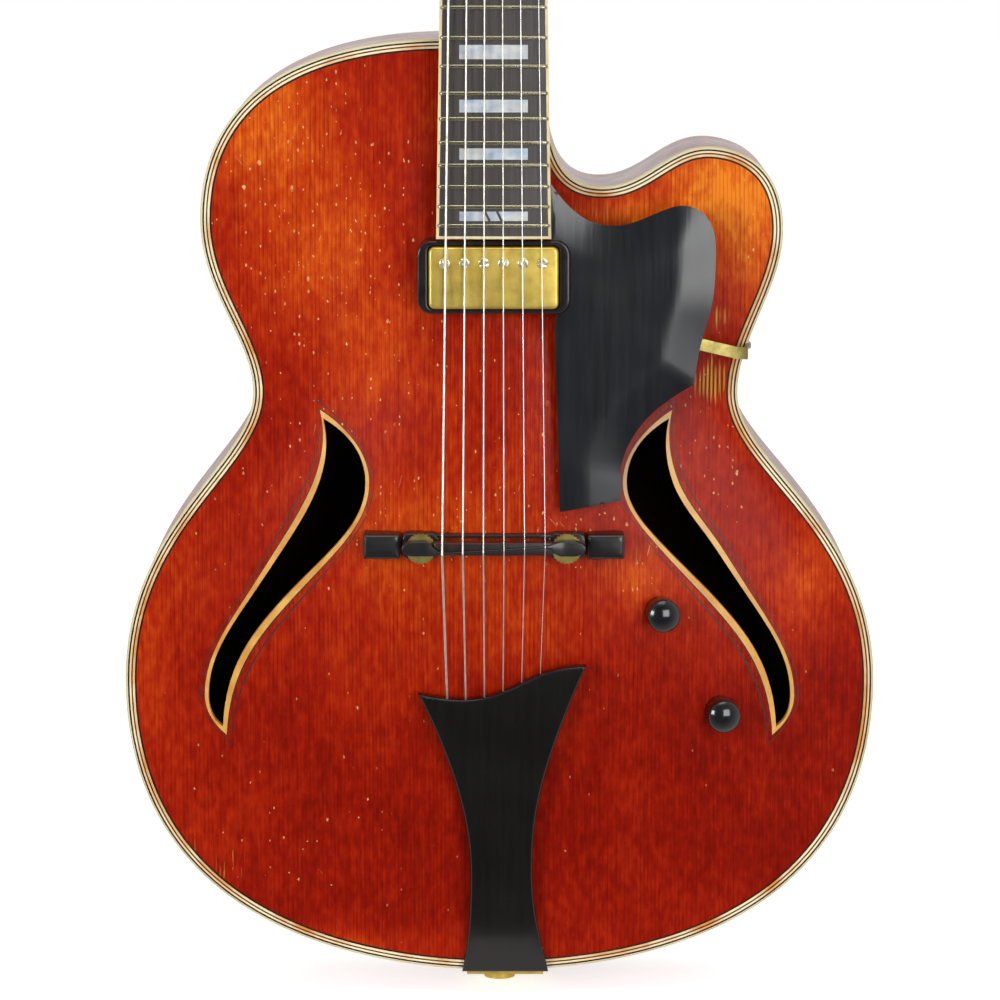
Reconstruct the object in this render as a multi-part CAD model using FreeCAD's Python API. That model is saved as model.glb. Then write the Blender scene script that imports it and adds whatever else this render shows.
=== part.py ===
import FreeCAD, Part
import math
import os

# Archtop guitar with a carved hollow body, one cutaway and a set neck. Sizes are in millimetres.
# It is laid out on its back: x to the treble side, y from the tail to the head, z out of the top.
# The last step stands it up on its tail, so that the top faces the row's -Y and the head is up.

V = FreeCAD.Vector
X_AXIS = V(1, 0, 0)
Y_AXIS = V(0, 1, 0)
Z_AXIS = V(0, 0, 1)
ORIGIN = V(0, 0, 0)

# Body outline: stations and the lengths of the handles that shape the curves between them. What lies
# along the body is a share of its length.
BODY_LENGTH = 477.5
LOWER_BOUT = 381.0
LOWER_BOUT_Y = 0.3162 * BODY_LENGTH
WAIST_Y = 0.6283 * BODY_LENGTH
WAIST_BASS_X = 124.2
WAIST_TREBLE_X = 119.9
UPPER_BOUT_X = 150.0
UPPER_BOUT_Y = 0.8105 * BODY_LENGTH
HORN_X = 142.2
HORN_Y = 0.8 * BODY_LENGTH
CREST_X = 104.2
CREST_Y = 0.8871 * BODY_LENGTH
VALLEY_X = 51.5
VALLEY_Y = 0.8452 * BODY_LENGTH
NECK_SIDE_X = 24.0
NECK_SIDE_RUN = 0.0471 * BODY_LENGTH
TAIL_HANDLE = 80.0
LOWER_HANDLE_TAIL = 0.2555 * BODY_LENGTH
LOWER_HANDLE_WAIST = 0.1738 * BODY_LENGTH
WAIST_HANDLE_TAIL = 0.0775 * BODY_LENGTH
WAIST_HANDLE_NECK = 0.0565 * BODY_LENGTH
UPPER_HANDLE_WAIST = 0.0775 * BODY_LENGTH
UPPER_HANDLE_NECK = 0.0942 * BODY_LENGTH
SHOULDER_HANDLE = 98.0
HORN_HANDLE_WAIST = 0.0607 * BODY_LENGTH
HORN_HANDLE_CREST = 0.0806 * BODY_LENGTH
CREST_HANDLE_OUT = 8.5
CREST_HANDLE_IN = 20.5
VALLEY_HANDLE_OUT = 21.5
VALLEY_HANDLE_IN = 24.0
NECK_SIDE_HANDLE = 0.0607 * BODY_LENGTH

# Body depth, plates and rim
RIM_DEPTH = 66.0
PLATE = 5.0
TOP_ARCH = 18.0
BACK_ARCH = 16.0
EDGE_FLAT = 12.0
ARCH_FULLNESS = 2.5
CUTAWAY_FADE = 70.0
RIM_WALL = 3.0
END_GRAFT_WIDTH = 24.0
LINING_WIDTH = 6.0
LINING_HEIGHT = 12.0
GLUE_LINE = 0.1
BINDING = 2.4
PURFLING = 2.6
NECK_BLOCK_LENGTH = 45.0
NECK_BLOCK_WIDTH = 70.0
TAIL_BLOCK_LENGTH = 25.0
TAIL_BLOCK_WIDTH = 80.0
TONE_BAR_X = 46.0
TONE_BAR_WIDTH = 8.0
TONE_BAR_TAIL = 0.21 * BODY_LENGTH
TONE_BAR_NECK = 0.7335 * BODY_LENGTH
TONE_BAR_DROP = 3.0

# Sound holes, placed from the bridge line
F_HOLE_TOP_X = 89.0
F_HOLE_TOP_Y = 0.1206 * BODY_LENGTH
F_HOLE_INNER_X = 67.5
F_HOLE_INNER_Y = 0.0547 * BODY_LENGTH
F_HOLE_OUTER_X = 148.3
F_HOLE_OUTER_Y = -0.1774 * BODY_LENGTH
F_HOLE_FOOT_X = 141.0
F_HOLE_FOOT_Y = -0.2124 * BODY_LENGTH
F_HOLE_BINDING = 1.8
F_HOLE_TIP_STRETCH = 2.2
F_HOLE_TIP_SPREAD = 0.8
F_HOLE_TOP_INNER_HANDLE = (4.0, -2.5)
F_HOLE_TOP_OUTER_HANDLE = (13.0, -0.1095 * BODY_LENGTH)
F_HOLE_INNER_UP_HANDLE = 0.0419 * BODY_LENGTH
F_HOLE_INNER_DOWN_HANDLE = 0.0867 * BODY_LENGTH
F_HOLE_OUTER_UP_HANDLE = 0.111 * BODY_LENGTH
F_HOLE_OUTER_DOWN_HANDLE = 0.0251 * BODY_LENGTH
F_HOLE_FOOT_INNER_HANDLE = (3.7, 0.1571 * BODY_LENGTH)
F_HOLE_FOOT_OUTER_HANDLE = (-2.0, 1.8)

# Neck, fingerboard and strings
SCALE_LENGTH = 630.0
FRET_COUNT = 24
JOINT_FRET = 16
JOINT_OVERHANG = 1.7
NECK_X = -2.9
NECK_ANGLE = 3.5
BOARD_ABOVE_EDGE = 22.6
BOARD_THICKNESS = 6.0
BOARD_RADIUS = 305.0
BOARD_WIDTH_NUT = 42.0
BOARD_WIDTH_END = 57.0
BOARD_PAST_LAST_FRET = 6.6
BOARD_BINDING = 1.4
FRET_WIDTH = 2.3
FRET_HEIGHT = 1.1
FRET_SHOULDER_SHARE = 0.45
FRET_CROWN_SHARE = 0.55
FRET_TANG_WIDTH = 0.5
FRET_TANG_DEPTH = 1.6
FRET_END_INSET = 0.4
INLAY_FRETS = (3, 5, 7, 9, 12, 15, 17, 19, 21, 24)
INLAY_WIDTH = 33.8
INLAY_SHARE = 0.5
INLAY_DEPTH = 1.2
NECK_DEPTH_NUT = 14.5
NECK_DEPTH_HEEL = 17.0
TONGUE_DEPTH = 7.0
TONGUE_INSET = 2.0
TONGUE_SHORT_OF_END = 8.0
HEEL_WIDTH_TOP = 52.0
HEEL_WIDTH_CAP = 34.0
HEEL_LENGTH_TOP = 25.5
HEEL_LENGTH_CAP = 14.0
HEEL_STEPS = 3
TENON_WIDTH = 30.0
TENON_LENGTH = 20.0
TENON_HEIGHT = 50.0
NUT_LENGTH = 4.5
NUT_SEAT_MARGIN = 2.0
NUT_SEAT_DEPTH = 10.0
NUT_STRING_HEIGHT = 1.7
NUT_SPREAD = 35.0
TRUSS_ROD_WIDTH = 6.0
TRUSS_ROD_DEPTH = 9.0
TRUSS_ROD_LENGTH = 0.635 * SCALE_LENGTH
TRUSS_NUT_RADIUS = 3.6
TRUSS_NUT_LENGTH = 14.0
TRUSS_NUT_CLEARANCE = 1.0
TRUSS_ACCESS_DEPTH = 7.8
SADDLE_SPREAD = 51.3
SADDLE_STRING_HEIGHT = 5.0
COMPENSATION_BASS = 6.0
COMPENSATION_TREBLE = 2.5
WOUND_STRINGS = (1.25, 1.0, 0.8, 0.6)
PLAIN_STRINGS = (0.45, 0.35)
STRING_BEND = 4.0
STRING_HOLE_SHARE = 0.4
STRING_CLEARANCE = 0.3
NUT_SLOT_CLEARANCE = 0.05
SADDLE_SLOT_CLEARANCE = 0.5

# Headstock and tuners
HEAD_ANGLE = 13.0
HEAD_STEP = 2.0
HEAD_LENGTH = 165.0
HEAD_WOOD = 13.0
VENEER = 1.5
HEAD_NECK_WIDTH = 43.0
HEAD_EAR_WIDTH = 72.0
HEAD_EAR_Q = 30.0
HEAD_TOP_WIDTH = 78.0
HEAD_TOP_Q = 145.0
HEAD_NECK_HANDLE = 15.0
HEAD_EAR_HANDLE_NECK = 16.5
HEAD_EAR_HANDLE_TOP = 30.0
HEAD_TOP_HANDLE = 43.5
HEAD_CORNER_HANDLE = (-15.0, 4.0)
HEAD_CROWN_HANDLE = 15.6
COVER_LENGTH = 32.0
COVER_WIDTH = 22.0
COVER_THICKNESS = 2.0
COVER_TIP = 3.6
COVER_WIDE_HANDLE = 14.4
COVER_TIP_HANDLE = 16.0
TUNER_X = 25.0
TUNER_FIRST_Q = 43.0
TUNER_PITCH = 42.0
POST_RADIUS = 3.0
POST_HEIGHT = 17.0
WAIST_RADIUS = 2.4
WAIST_LOW = 4.0
WAIST_HIGH = 9.0
WRAP_LOW = 5.0
WRAP_TURNS = 3
POST_HOLE_RADIUS = 0.8
BUSHING_RADIUS = 4.5
BUSHING_LENGTH = 11.0
BUSHING_FLANGE_RADIUS = 7.0
BUSHING_FLANGE = 2.0
RUNNING = 0.08
HOUSING_X = 8.0
HOUSING_WALL = 1.5
HOUSING_DEPTH = 10.5
WHEEL_TEETH = 14
WHEEL_PITCH_RADIUS = 4.5
WHEEL_THICKNESS = 3.0
WORM_ROOT = 2.0
WORM_PITCH_RADIUS = 2.8
WORM_TIP = 3.3
WORM_TURNS = 4
WORM_MESH_TURN = 90.0
TOOTH_GAP = 0.2
THREAD_HALF_ROOT = 0.42
THREAD_HALF_TIP = 0.22
TOOTH_HALF_ROOT = 0.5
TOOTH_HALF_TIP = 0.24
TOOTH_SEAT = 0.3
KEY_STEM = 13.0
BUTTON_LENGTH = 15.0
BUTTON_WIDTH = 19.0
BUTTON_NECK_WIDTH = 8.0
BUTTON_THICKNESS = 7.0
BUTTON_CHAMFER = 1.6
BUTTON_STEM_RUN = 4.5
BUTTON_SHOULDER_RUN = 5.25
BUTTON_TIP_RUN = 1.8
BUTTON_TIP_WIDTH = 11.8
BUTTON_TIP_HANDLE = 2.85

# Bridge
BASE_LENGTH = 131.0
BASE_WIDTH = 12.6
BASE_HEIGHT = 9.5
BASE_CROWN = 400.0
BASE_CORNER = 4.0
BASE_LOBE_RADIUS = 7.8
BRIDGE_POST_SPREAD = 73.0
BRIDGE_POST_RADIUS = 2.0
BRIDGE_POST_SEAT = 7.0
BRIDGE_POST_SHORT = 1.8
WHEEL_GAP = 2.0
THUMBWHEEL_RADIUS = 7.6
THUMBWHEEL = 3.0
THUMBWHEEL_NOTCHES = 24
THUMBWHEEL_NOTCH_RADIUS = 0.4
SADDLE_GAP = 0.3
SADDLE_LENGTH = 91.0
SADDLE_WIDTH = 9.0
SADDLE_CORNER = 3.6
SADDLE_SLAB = 6.0
SADDLE_LOBE_RADIUS = 7.0
SADDLE_BORE = 2.3
SADDLE_ROOF = 1.6
CREST_LENGTH = 61.0
CREST_WIDTH = 6.0

# Tailpiece and output jack. The second value of each point and handle of the tailpiece is a share of the
# way from the tail to the saddle.
TAILPIECE_BASS = (-41.1, 0.6532)
TAILPIECE_TREBLE = (43.6, 0.7167)
TAILPIECE_WAIST_BASS = (-14.8, 0.2351)
TAILPIECE_WAIST_TREBLE = (16.8, 0.2351)
TAILPIECE_FOOT_BASS_X = -19.2
TAILPIECE_FOOT_TREBLE_X = 25.0
TAILPIECE_BASS_EDGE_HANDLE = (48.0, -0.0518)
TAILPIECE_TREBLE_EDGE_HANDLE = (-38.0, -0.0035)
TAILPIECE_BASS_SIDE_HANDLE = (12.0, -0.1089)
TAILPIECE_TREBLE_SIDE_HANDLE = (-26.0, -0.27)
TAILPIECE_WAIST_BASS_HANDLE = (0, 0.1568)
TAILPIECE_WAIST_TREBLE_HANDLE = (0, 0.1132)
TAILPIECE_WAIST_FOOT_HANDLE = (0, -0.1045)
TAILPIECE_FOOT_BASS_HANDLE = (3.0, 0.0697)
TAILPIECE_FOOT_TREBLE_HANDLE = (-3.0, 0.0697)
TAILPIECE_TAIL_RISE = 4.0
TAILPIECE_STRING_RISE = 28.0
TAILPIECE_TAIL_THICKNESS = 3.4
TAILPIECE_STRING_THICKNESS = 8.0
TAILPIECE_SPREAD = 47.0
STRING_ANCHOR = 9.0
BRACKET = 2.0
BRACKET_DROP = 56.0
BRACKET_REACH = 12.0
BRACKET_INSET = 2.5
JACK_RADIUS = 6.0
JACK_BORE = 3.2
JACK_BORE_LENGTH = 43.0
JACK_INSIDE = 34.0
JACK_OUTSIDE = 13.0
JACK_HEAD_RADIUS = 8.0
JACK_HEAD = 4.0

# Pickup
RING_WIDTH = 75.8
RING_LENGTH = 36.4
RING_CORNER = 7.0
RING_HEIGHT = 26.0
RING_TO_BOARD = 1.2
COVER_GAP = 0.4
PICKUP_WIDTH = 64.5
PICKUP_LENGTH = 31.0
PICKUP_RISE = 29.5
PICKUP_HEIGHT = 20.0
PICKUP_WALL = 0.8
PICKUP_CORNER = 3.0
PICKUP_EDGE = 1.5
BOBBIN_HEIGHT = 11.0
BOBBIN_GAP = 1.0
MAGNET_WIDTH = 5.0
MAGNET_HEIGHT = 3.0
POLE_PITCH = 9.7
POLE_OFFSET = 7.5
POLE_HEAD_RADIUS = 2.4
POLE_HEAD = 1.1
POLE_SHANK_RADIUS = 1.5
POLE_SLOT = 0.6

# Controls
VOLUME_X = 81.0
VOLUME_Y = -0.0842 * BODY_LENGTH
TONE_X = 112.3
TONE_Y = -0.1937 * BODY_LENGTH
KNOB_RADIUS = 8.3
KNOB_HEIGHT = 15.0
KNOB_CLEARANCE = 0.8
KNOB_DOME = 3.0
KNOB_BORE_HEIGHT = 12.0
KNOB_POCKET_RADIUS = 6.6
KNOB_POCKET_DEPTH = 4.5
SHAFT_RADIUS = 3.0
POT_RADIUS = 8.5
POT_HEIGHT = 8.0
POT_SHAFT_DEPTH = 4.0
POT_BUSHING_RADIUS = 4.0
POT_BUSHING_RISE = 4.0
POT_NUT_RADIUS = 5.8
POT_NUT = 2.0
POT_CLEARANCE = 0.3
WIRE_RADIUS = 1.0
WIRE_DROP = V(0, 0, -24)
WIRE_TAB = V(4, 0, 0)
WIRE_PICKUP_X = 18.0
WIRE_BY_BAR = V(38, 0.6115 * BODY_LENGTH, 8)
WIRE_BY_BRIDGE = V(70, 0.4817 * BODY_LENGTH, 4)
WIRE_BY_RIM = V(70, 0.2031 * BODY_LENGTH, 2)
WIRE_BY_JACK = V(20, 0.1424 * BODY_LENGTH, 4)
WIRE_JACK_LEAD = V(0, 24, 0)

# Guard, placed from the end of the board; the y of its four lower points is a share of the way to the saddle
GUARD_THICKNESS = 3.0
GUARD_NECK = (25.5, 26.9)
GUARD_NECK_HANDLE = (13.8, -20.7)
GUARD_VALLEY = (57.2, 6.1)
GUARD_VALLEY_IN_HANDLE = 6.6
GUARD_VALLEY_OUT_HANDLE = 12.5
GUARD_CREST = (90.9, 16.0)
GUARD_CREST_IN_HANDLE = 10.1
GUARD_CREST_OUT_HANDLE = 3.0
GUARD_RIGHT = (107.4, -6.4)
GUARD_RIGHT_UP_HANDLE = 21.2
GUARD_RIGHT_DOWN_HANDLE = 40.0
GUARD_CORNER = (96.9, -0.4873)
GUARD_CORNER_UP_HANDLE = (5.0, 40.0)
GUARD_CORNER_IN_HANDLE = (-37.0, -16.0)
GUARD_INNER = (60.7, -0.7456)
GUARD_INNER_HANDLE = 30.5
GUARD_FOOT_RIGHT = (60.8, -0.8963)
GUARD_FOOT_LEFT = (30.3, -0.9116)
GUARD_RING_SIDE = (27.1, -37.8)
GUARD_RISE = 22.5
GUARD_GAP = 1.0
GUARD_NECK_GAP = 0.4
GUARD_BRACKET_Y = -58.5
GUARD_BRACKET_WIDTH = 6.0
GUARD_BRACKET = 1.4
GUARD_BRACKET_REACH = 20.0
GUARD_BRACKET_DROP = 22.0
GUARD_BRACKET_START_X = 86.0
GUARD_SCREW_EDGE = 2.0

# Small screws
SCREW_HEAD_RADIUS = 2.2
SCREW_HEAD = 1.2
SCREW_CROWN_SHARE = 0.6
SCREW_SHANK_RADIUS = 1.1
SCREW_LENGTH = 8.0

# How finely the offset curves and the carved plates are sampled, the share of a run that a bend may
# take, the tolerance for finding edges, and the reach of helper solids
OFFSET_SAMPLES = 14
PLATE_COLUMNS = 30
PLATE_ROWS = 38
PLATE_MARGIN = 8.0
BEND_SHARE = 0.45
SAME = 1e-6
AIR = 90.0

# Values that follow from the sizes above
HALF_BOUT = LOWER_BOUT / 2
HALF_DEPTH = RIM_DEPTH / 2
TOP_EDGE_Z = HALF_DEPTH + PLATE
BACK_EDGE_Z = -TOP_EDGE_Z
NECK_SIDE_Y = BODY_LENGTH - NECK_SIDE_RUN
NECK_COS = math.cos(math.radians(NECK_ANGLE))
NECK_SIN = math.sin(math.radians(NECK_ANGLE))


def fret_distance(fret):
    """Distance of a fret from the nut along the board."""
    return SCALE_LENGTH * (1 - 2 ** (-fret / 12))


JOINT_Y = BODY_LENGTH + JOINT_OVERHANG
JOINT_Z = TOP_EDGE_Z + BOARD_ABOVE_EDGE
NUT_Y = JOINT_Y + fret_distance(JOINT_FRET) * NECK_COS
NUT_Z = JOINT_Z - fret_distance(JOINT_FRET) * NECK_SIN
BOARD_LENGTH = fret_distance(FRET_COUNT) + BOARD_PAST_LAST_FRET
BOARD_END_Y = NUT_Y - BOARD_LENGTH * NECK_COS
SADDLE_LINE_Y = NUT_Y - SCALE_LENGTH * NECK_COS
SADDLE_STRING_Z = NUT_Z + SCALE_LENGTH * NECK_SIN + SADDLE_STRING_HEIGHT
BRIDGE_Y = SADDLE_LINE_Y - (COMPENSATION_BASS + COMPENSATION_TREBLE) / 2
TAILPIECE_LENGTH = TAILPIECE_TREBLE[1] * SADDLE_LINE_Y
STRINGS = WOUND_STRINGS + PLAIN_STRINGS
STRING_STEPS = len(STRINGS) - 1
HEAD_BACK = HEAD_WOOD + VENEER
WORM_LEAD = 2 * math.pi * WHEEL_PITCH_RADIUS / WHEEL_TEETH
WORM_DISTANCE = WHEEL_PITCH_RADIUS + WORM_PITCH_RADIUS
WORM_LENGTH = WORM_TURNS * WORM_LEAD
WHEEL_MIDDLE = -HEAD_BACK - HOUSING_DEPTH / 2
HOUSING_END = WORM_DISTANCE + WORM_TIP + HOUSING_WALL + TOOTH_GAP
KEY_INNER_END = -HOUSING_X + TOOTH_GAP
LUG_HALF = SCREW_HEAD_RADIUS + 1
CUTAWAY_X = (NECK_SIDE_X + CREST_X) / 2
CUTAWAY_Y = NECK_SIDE_Y
CUTAWAY_RADIUS = math.hypot(CREST_X - CUTAWAY_X, CUTAWAY_Y - CREST_Y) + 2 * EDGE_FLAT
NECK_PLACE = FreeCAD.Placement(V(NECK_X, NUT_Y, NUT_Z), FreeCAD.Rotation(X_AXIS, -NECK_ANGLE))
HEAD_PLACE = NECK_PLACE * FreeCAD.Placement(V(0, NUT_LENGTH, -HEAD_STEP),
                                            FreeCAD.Rotation(X_AXIS, -HEAD_ANGLE))


# Plane curves

def cubic_point(poles, t):
    """Point of a cubic with four poles."""
    a, b, c, d = poles
    s = 1 - t
    return tuple(s ** 3 * a[i] + 3 * s * s * t * b[i] + 3 * s * t * t * c[i] + t ** 3 * d[i] for i in (0, 1))


def cubic_slope(poles, t):
    """Unit direction of travel on a cubic with four poles."""
    a, b, c, d = poles
    s = 1 - t
    run = [s * s * (b[i] - a[i]) + 2 * s * t * (c[i] - b[i]) + t * t * (d[i] - c[i]) for i in (0, 1)]
    length = math.hypot(*run)
    return run[0] / length, run[1] / length


def cubic_meets(poles, axis, value):
    """Point of a cubic where one coordinate, which grows or falls all along it, has a value."""
    low, high = 0.0, 1.0
    rising = poles[3][axis] > poles[0][axis]
    for _ in range(40):
        middle = (low + high) / 2
        if (cubic_point(poles, middle)[axis] < value) == rising:
            low = middle
        else:
            high = middle
    return cubic_point(poles, low)


def cubic_edge(poles, inset=0.0):
    """Edge along a cubic, moved to the left of its travel by an inset."""
    if inset == 0:
        curve = Part.BezierCurve()
        curve.setPoles([V(*pole) for pole in poles])
        return curve.toShape()
    points = []
    for k in range(OFFSET_SAMPLES + 1):
        t = k / OFFSET_SAMPLES
        x, y = cubic_point(poles, t)
        dx, dy = cubic_slope(poles, t)
        points.append(V(x - inset * dy, y + inset * dx))
    curve = Part.BSplineCurve()
    curve.interpolate(Points=points, InitialTangent=V(*cubic_slope(poles, 0)),
                      FinalTangent=V(*cubic_slope(poles, 1)))
    return curve.toShape()


def line(a, b):
    """Straight edge between two points of the plane."""
    return Part.makeLine(V(*a), V(*b))


def closed(*edges):
    """Closed wire from edges given in order."""
    return Part.Wire(list(edges))


def polygon(*points):
    """Closed wire through points."""
    corners = [V(*point) for point in points]
    return Part.makePolygon(corners + corners[:1])


def rounded_box_wire(x0, y0, x1, y1, r):
    """Rectangle with four equal round corners."""
    k = r * (1 - math.sqrt(0.5))
    arcs = [((x1 - r, y0), (x1 - k, y0 + k), (x1, y0 + r)), ((x1, y1 - r), (x1 - k, y1 - k), (x1 - r, y1)),
            ((x0 + r, y1), (x0 + k, y1 - k), (x0, y1 - r)), ((x0, y0 + r), (x0 + k, y0 + k), (x0 + r, y0))]
    edges = []
    for i, arc in enumerate(arcs):
        edges.append(Part.Arc(*[V(*point) for point in arc]).toShape())
        edges.append(line(arc[2], arcs[(i + 1) % 4][0]))
    return closed(*edges)


def centred_box_wire(x, y, width, length, corner):
    """Rectangle with round corners about a centre."""
    return rounded_box_wire(x - width / 2, y - length / 2, x + width / 2, y + length / 2, corner)


# Solids

def prism(wires, low, high):
    """Upright solid between two heights on one outline, with any further outlines as holes."""
    face = Part.makeFace(wires, "Part::FaceMakerBullseye") if isinstance(wires, list) else Part.Face(wires)
    face.translate(V(0, 0, low))
    return face.extrude(V(0, 0, high - low))


def box(x0, y0, z0, x1, y1, z1):
    """Box between two corners."""
    return Part.makeBox(x1 - x0, y1 - y0, z1 - z0, V(x0, y0, z0))


def rod(radius, low, high, x=0.0, y=0.0):
    """Upright cylinder between two heights."""
    return Part.makeCylinder(radius, high - low, V(x, y, low))


def placed(shape, placement):
    """Copy of a shape at a placement."""
    copy = shape.copy()
    copy.Placement = placement.multiply(copy.Placement)
    return copy


def side_profile(points, x0, x1):
    """Solid with an outline in the y and z plane between two x values."""
    face = Part.Face(Part.makePolygon([V(x0, y, z) for y, z in points + points[:1]]))
    return face.extrude(V(x1 - x0, 0, 0))


def front_profile(points, y0, y1):
    """Solid with an outline in the x and z plane between two y values."""
    face = Part.Face(Part.makePolygon([V(x, y0, z) for x, z in points + points[:1]]))
    return face.extrude(V(0, y1 - y0, 0))


def joined(first, *others):
    """One solid from overlapping solids, with the seams between coplanar faces removed."""
    return first.multiFuse(list(others)).removeSplitter()


def tube(points, radius, largest_bend=None):
    """Round tube along straight runs joined by tangent arcs as large as the runs allow."""
    edges = []
    start = points[0]
    for i in range(1, len(points) - 1):
        before = points[i] - points[i - 1]
        after = points[i + 1] - points[i]
        half_turn = before.getAngle(after) / 2
        setback = BEND_SHARE * min(before.Length, after.Length)
        if largest_bend is not None:
            setback = min(setback, largest_bend * math.tan(half_turn))
        inward = V(before).normalize()
        outward = V(after).normalize()
        first = points[i] - inward * setback
        last = points[i] + outward * setback
        bend = setback / math.tan(half_turn)
        bisector = (outward - inward).normalize()
        middle = points[i] + bisector * (bend / math.cos(half_turn) - bend)
        edges.append(Part.makeLine(start, first))
        edges.append(Part.Arc(first, middle, last).toShape())
        start = last
    edges.append(Part.makeLine(start, points[-1]))
    path = Part.Wire(edges)
    section = Part.Wire(Part.makeCircle(radius, points[0], points[1] - points[0]))
    return path.makePipeShell([section], True, False)


def screw(length=SCREW_LENGTH):
    """Round-headed screw standing on z = 0 with its shank below."""
    head = Part.makeCone(SCREW_HEAD_RADIUS, SCREW_HEAD_RADIUS * SCREW_CROWN_SHARE, SCREW_HEAD)
    return joined(head, rod(SCREW_SHANK_RADIUS, -length, 0))


# Body outline and arching

def body_curves():
    """Cubics of the treble side from the tail to the neck, and of the bass side back to the tail."""
    tail = (0.0, 0.0)
    treble = [
        (tail, (TAIL_HANDLE, 0), (HALF_BOUT, LOWER_BOUT_Y - LOWER_HANDLE_TAIL), (HALF_BOUT, LOWER_BOUT_Y)),
        ((HALF_BOUT, LOWER_BOUT_Y), (HALF_BOUT, LOWER_BOUT_Y + LOWER_HANDLE_WAIST),
         (WAIST_TREBLE_X, WAIST_Y - WAIST_HANDLE_TAIL), (WAIST_TREBLE_X, WAIST_Y)),
        ((WAIST_TREBLE_X, WAIST_Y), (WAIST_TREBLE_X, WAIST_Y + WAIST_HANDLE_NECK),
         (HORN_X, HORN_Y - HORN_HANDLE_WAIST), (HORN_X, HORN_Y)),
        ((HORN_X, HORN_Y), (HORN_X, HORN_Y + HORN_HANDLE_CREST),
         (CREST_X + CREST_HANDLE_OUT, CREST_Y), (CREST_X, CREST_Y)),
        ((CREST_X, CREST_Y), (CREST_X - CREST_HANDLE_IN, CREST_Y),
         (VALLEY_X + VALLEY_HANDLE_OUT, VALLEY_Y), (VALLEY_X, VALLEY_Y)),
        ((VALLEY_X, VALLEY_Y), (VALLEY_X - VALLEY_HANDLE_IN, VALLEY_Y),
         (NECK_SIDE_X, NECK_SIDE_Y - NECK_SIDE_HANDLE), (NECK_SIDE_X, NECK_SIDE_Y)),
    ]
    bass = [
        ((-NECK_SIDE_X, BODY_LENGTH), (-NECK_SIDE_X - SHOULDER_HANDLE, BODY_LENGTH),
         (-UPPER_BOUT_X, UPPER_BOUT_Y + UPPER_HANDLE_NECK), (-UPPER_BOUT_X, UPPER_BOUT_Y)),
        ((-UPPER_BOUT_X, UPPER_BOUT_Y), (-UPPER_BOUT_X, UPPER_BOUT_Y - UPPER_HANDLE_WAIST),
         (-WAIST_BASS_X, WAIST_Y + WAIST_HANDLE_NECK), (-WAIST_BASS_X, WAIST_Y)),
        ((-WAIST_BASS_X, WAIST_Y), (-WAIST_BASS_X, WAIST_Y - WAIST_HANDLE_TAIL),
         (-HALF_BOUT, LOWER_BOUT_Y + LOWER_HANDLE_WAIST), (-HALF_BOUT, LOWER_BOUT_Y)),
        ((-HALF_BOUT, LOWER_BOUT_Y), (-HALF_BOUT, LOWER_BOUT_Y - LOWER_HANDLE_TAIL), (-TAIL_HANDLE, 0), tail),
    ]
    return treble, bass


TREBLE_CURVES, BASS_CURVES = body_curves()


def body_wire(inset=0.0):
    """Outline of the body, moved inwards by an inset."""
    side_x = NECK_SIDE_X - inset
    top_y = BODY_LENGTH - inset
    edges = [cubic_edge(poles, inset) for poles in TREBLE_CURVES]
    edges.append(line((side_x, NECK_SIDE_Y), (side_x, top_y)))
    edges.append(line((side_x, top_y), (-NECK_SIDE_X, top_y)))
    edges += [cubic_edge(poles, inset) for poles in BASS_CURVES]
    return closed(*edges)


def half_width(y):
    """Distance from the centre line to the bass side of the outline."""
    for poles in BASS_CURVES:
        if poles[3][1] <= y <= poles[0][1]:
            return -cubic_meets(poles, 1, y)[0]
    return 0.0


def arch_share(x, y):
    """Share of the full arch height at a point: 1 by the bridge, 0 with no slope along the edge."""
    across = half_width(y) - EDGE_FLAT
    if across <= abs(x):
        return 0.0
    reach = BODY_LENGTH - BRIDGE_Y if y > BRIDGE_Y else BRIDGE_Y
    along = abs(y - BRIDGE_Y) / (reach - EDGE_FLAT)
    if along >= 1:
        return 0.0
    fade = (math.hypot(x - CUTAWAY_X, y - CUTAWAY_Y) - CUTAWAY_RADIUS) / CUTAWAY_FADE
    fade = min(max(fade, 0.0), 1.0)
    crosswise = (1 - (x / across) ** 2) ** 2
    lengthwise = (1 - along ** ARCH_FULLNESS) ** 2
    return crosswise * lengthwise * fade * fade * (3 - 2 * fade)


def top_z(x, y):
    """Height of the outside of the top."""
    return TOP_EDGE_Z + TOP_ARCH * arch_share(x, y)


def top_normal(x, y):
    """Unit normal of the outside of the top."""
    step = 1.0
    slope_x = (top_z(x + step, y) - top_z(x - step, y)) / (2 * step)
    slope_y = (top_z(x, y + step) - top_z(x, y - step)) / (2 * step)
    return V(-slope_x, -slope_y, 1).normalize()


def arched_face(edge_z, arch):
    """Smooth sheet over the whole body at an edge height, with an arch."""
    width = HALF_BOUT + PLATE_MARGIN
    length = BODY_LENGTH + 2 * PLATE_MARGIN
    rows = []
    for i in range(PLATE_COLUMNS + 1):
        x = width * (2 * i / PLATE_COLUMNS - 1)
        ys = [length * j / PLATE_ROWS - PLATE_MARGIN for j in range(PLATE_ROWS + 1)]
        rows.append([V(x, y, edge_z + arch * arch_share(x, y)) for y in ys])
    sheet = Part.BSplineSurface()
    sheet.interpolate(rows)
    return sheet.toShape()


def raised(shape, height):
    """Solid swept by a sheet that is lifted, or lowered, by a height."""
    return shape.extrude(V(0, 0, height))


TOP_INSIDE = arched_face(HALF_DEPTH, TOP_ARCH)
TOP_OUTSIDE = arched_face(TOP_EDGE_Z, TOP_ARCH)
BACK_OUTSIDE = arched_face(BACK_EDGE_Z, -BACK_ARCH)
ABOVE_TOP = raised(TOP_OUTSIDE, AIR)
BELOW_TOP = raised(TOP_INSIDE, -AIR)


def beside(point, step):
    """Point at a step from another one in the plane."""
    return point[0] + step[0], point[1] + step[1]


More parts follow.
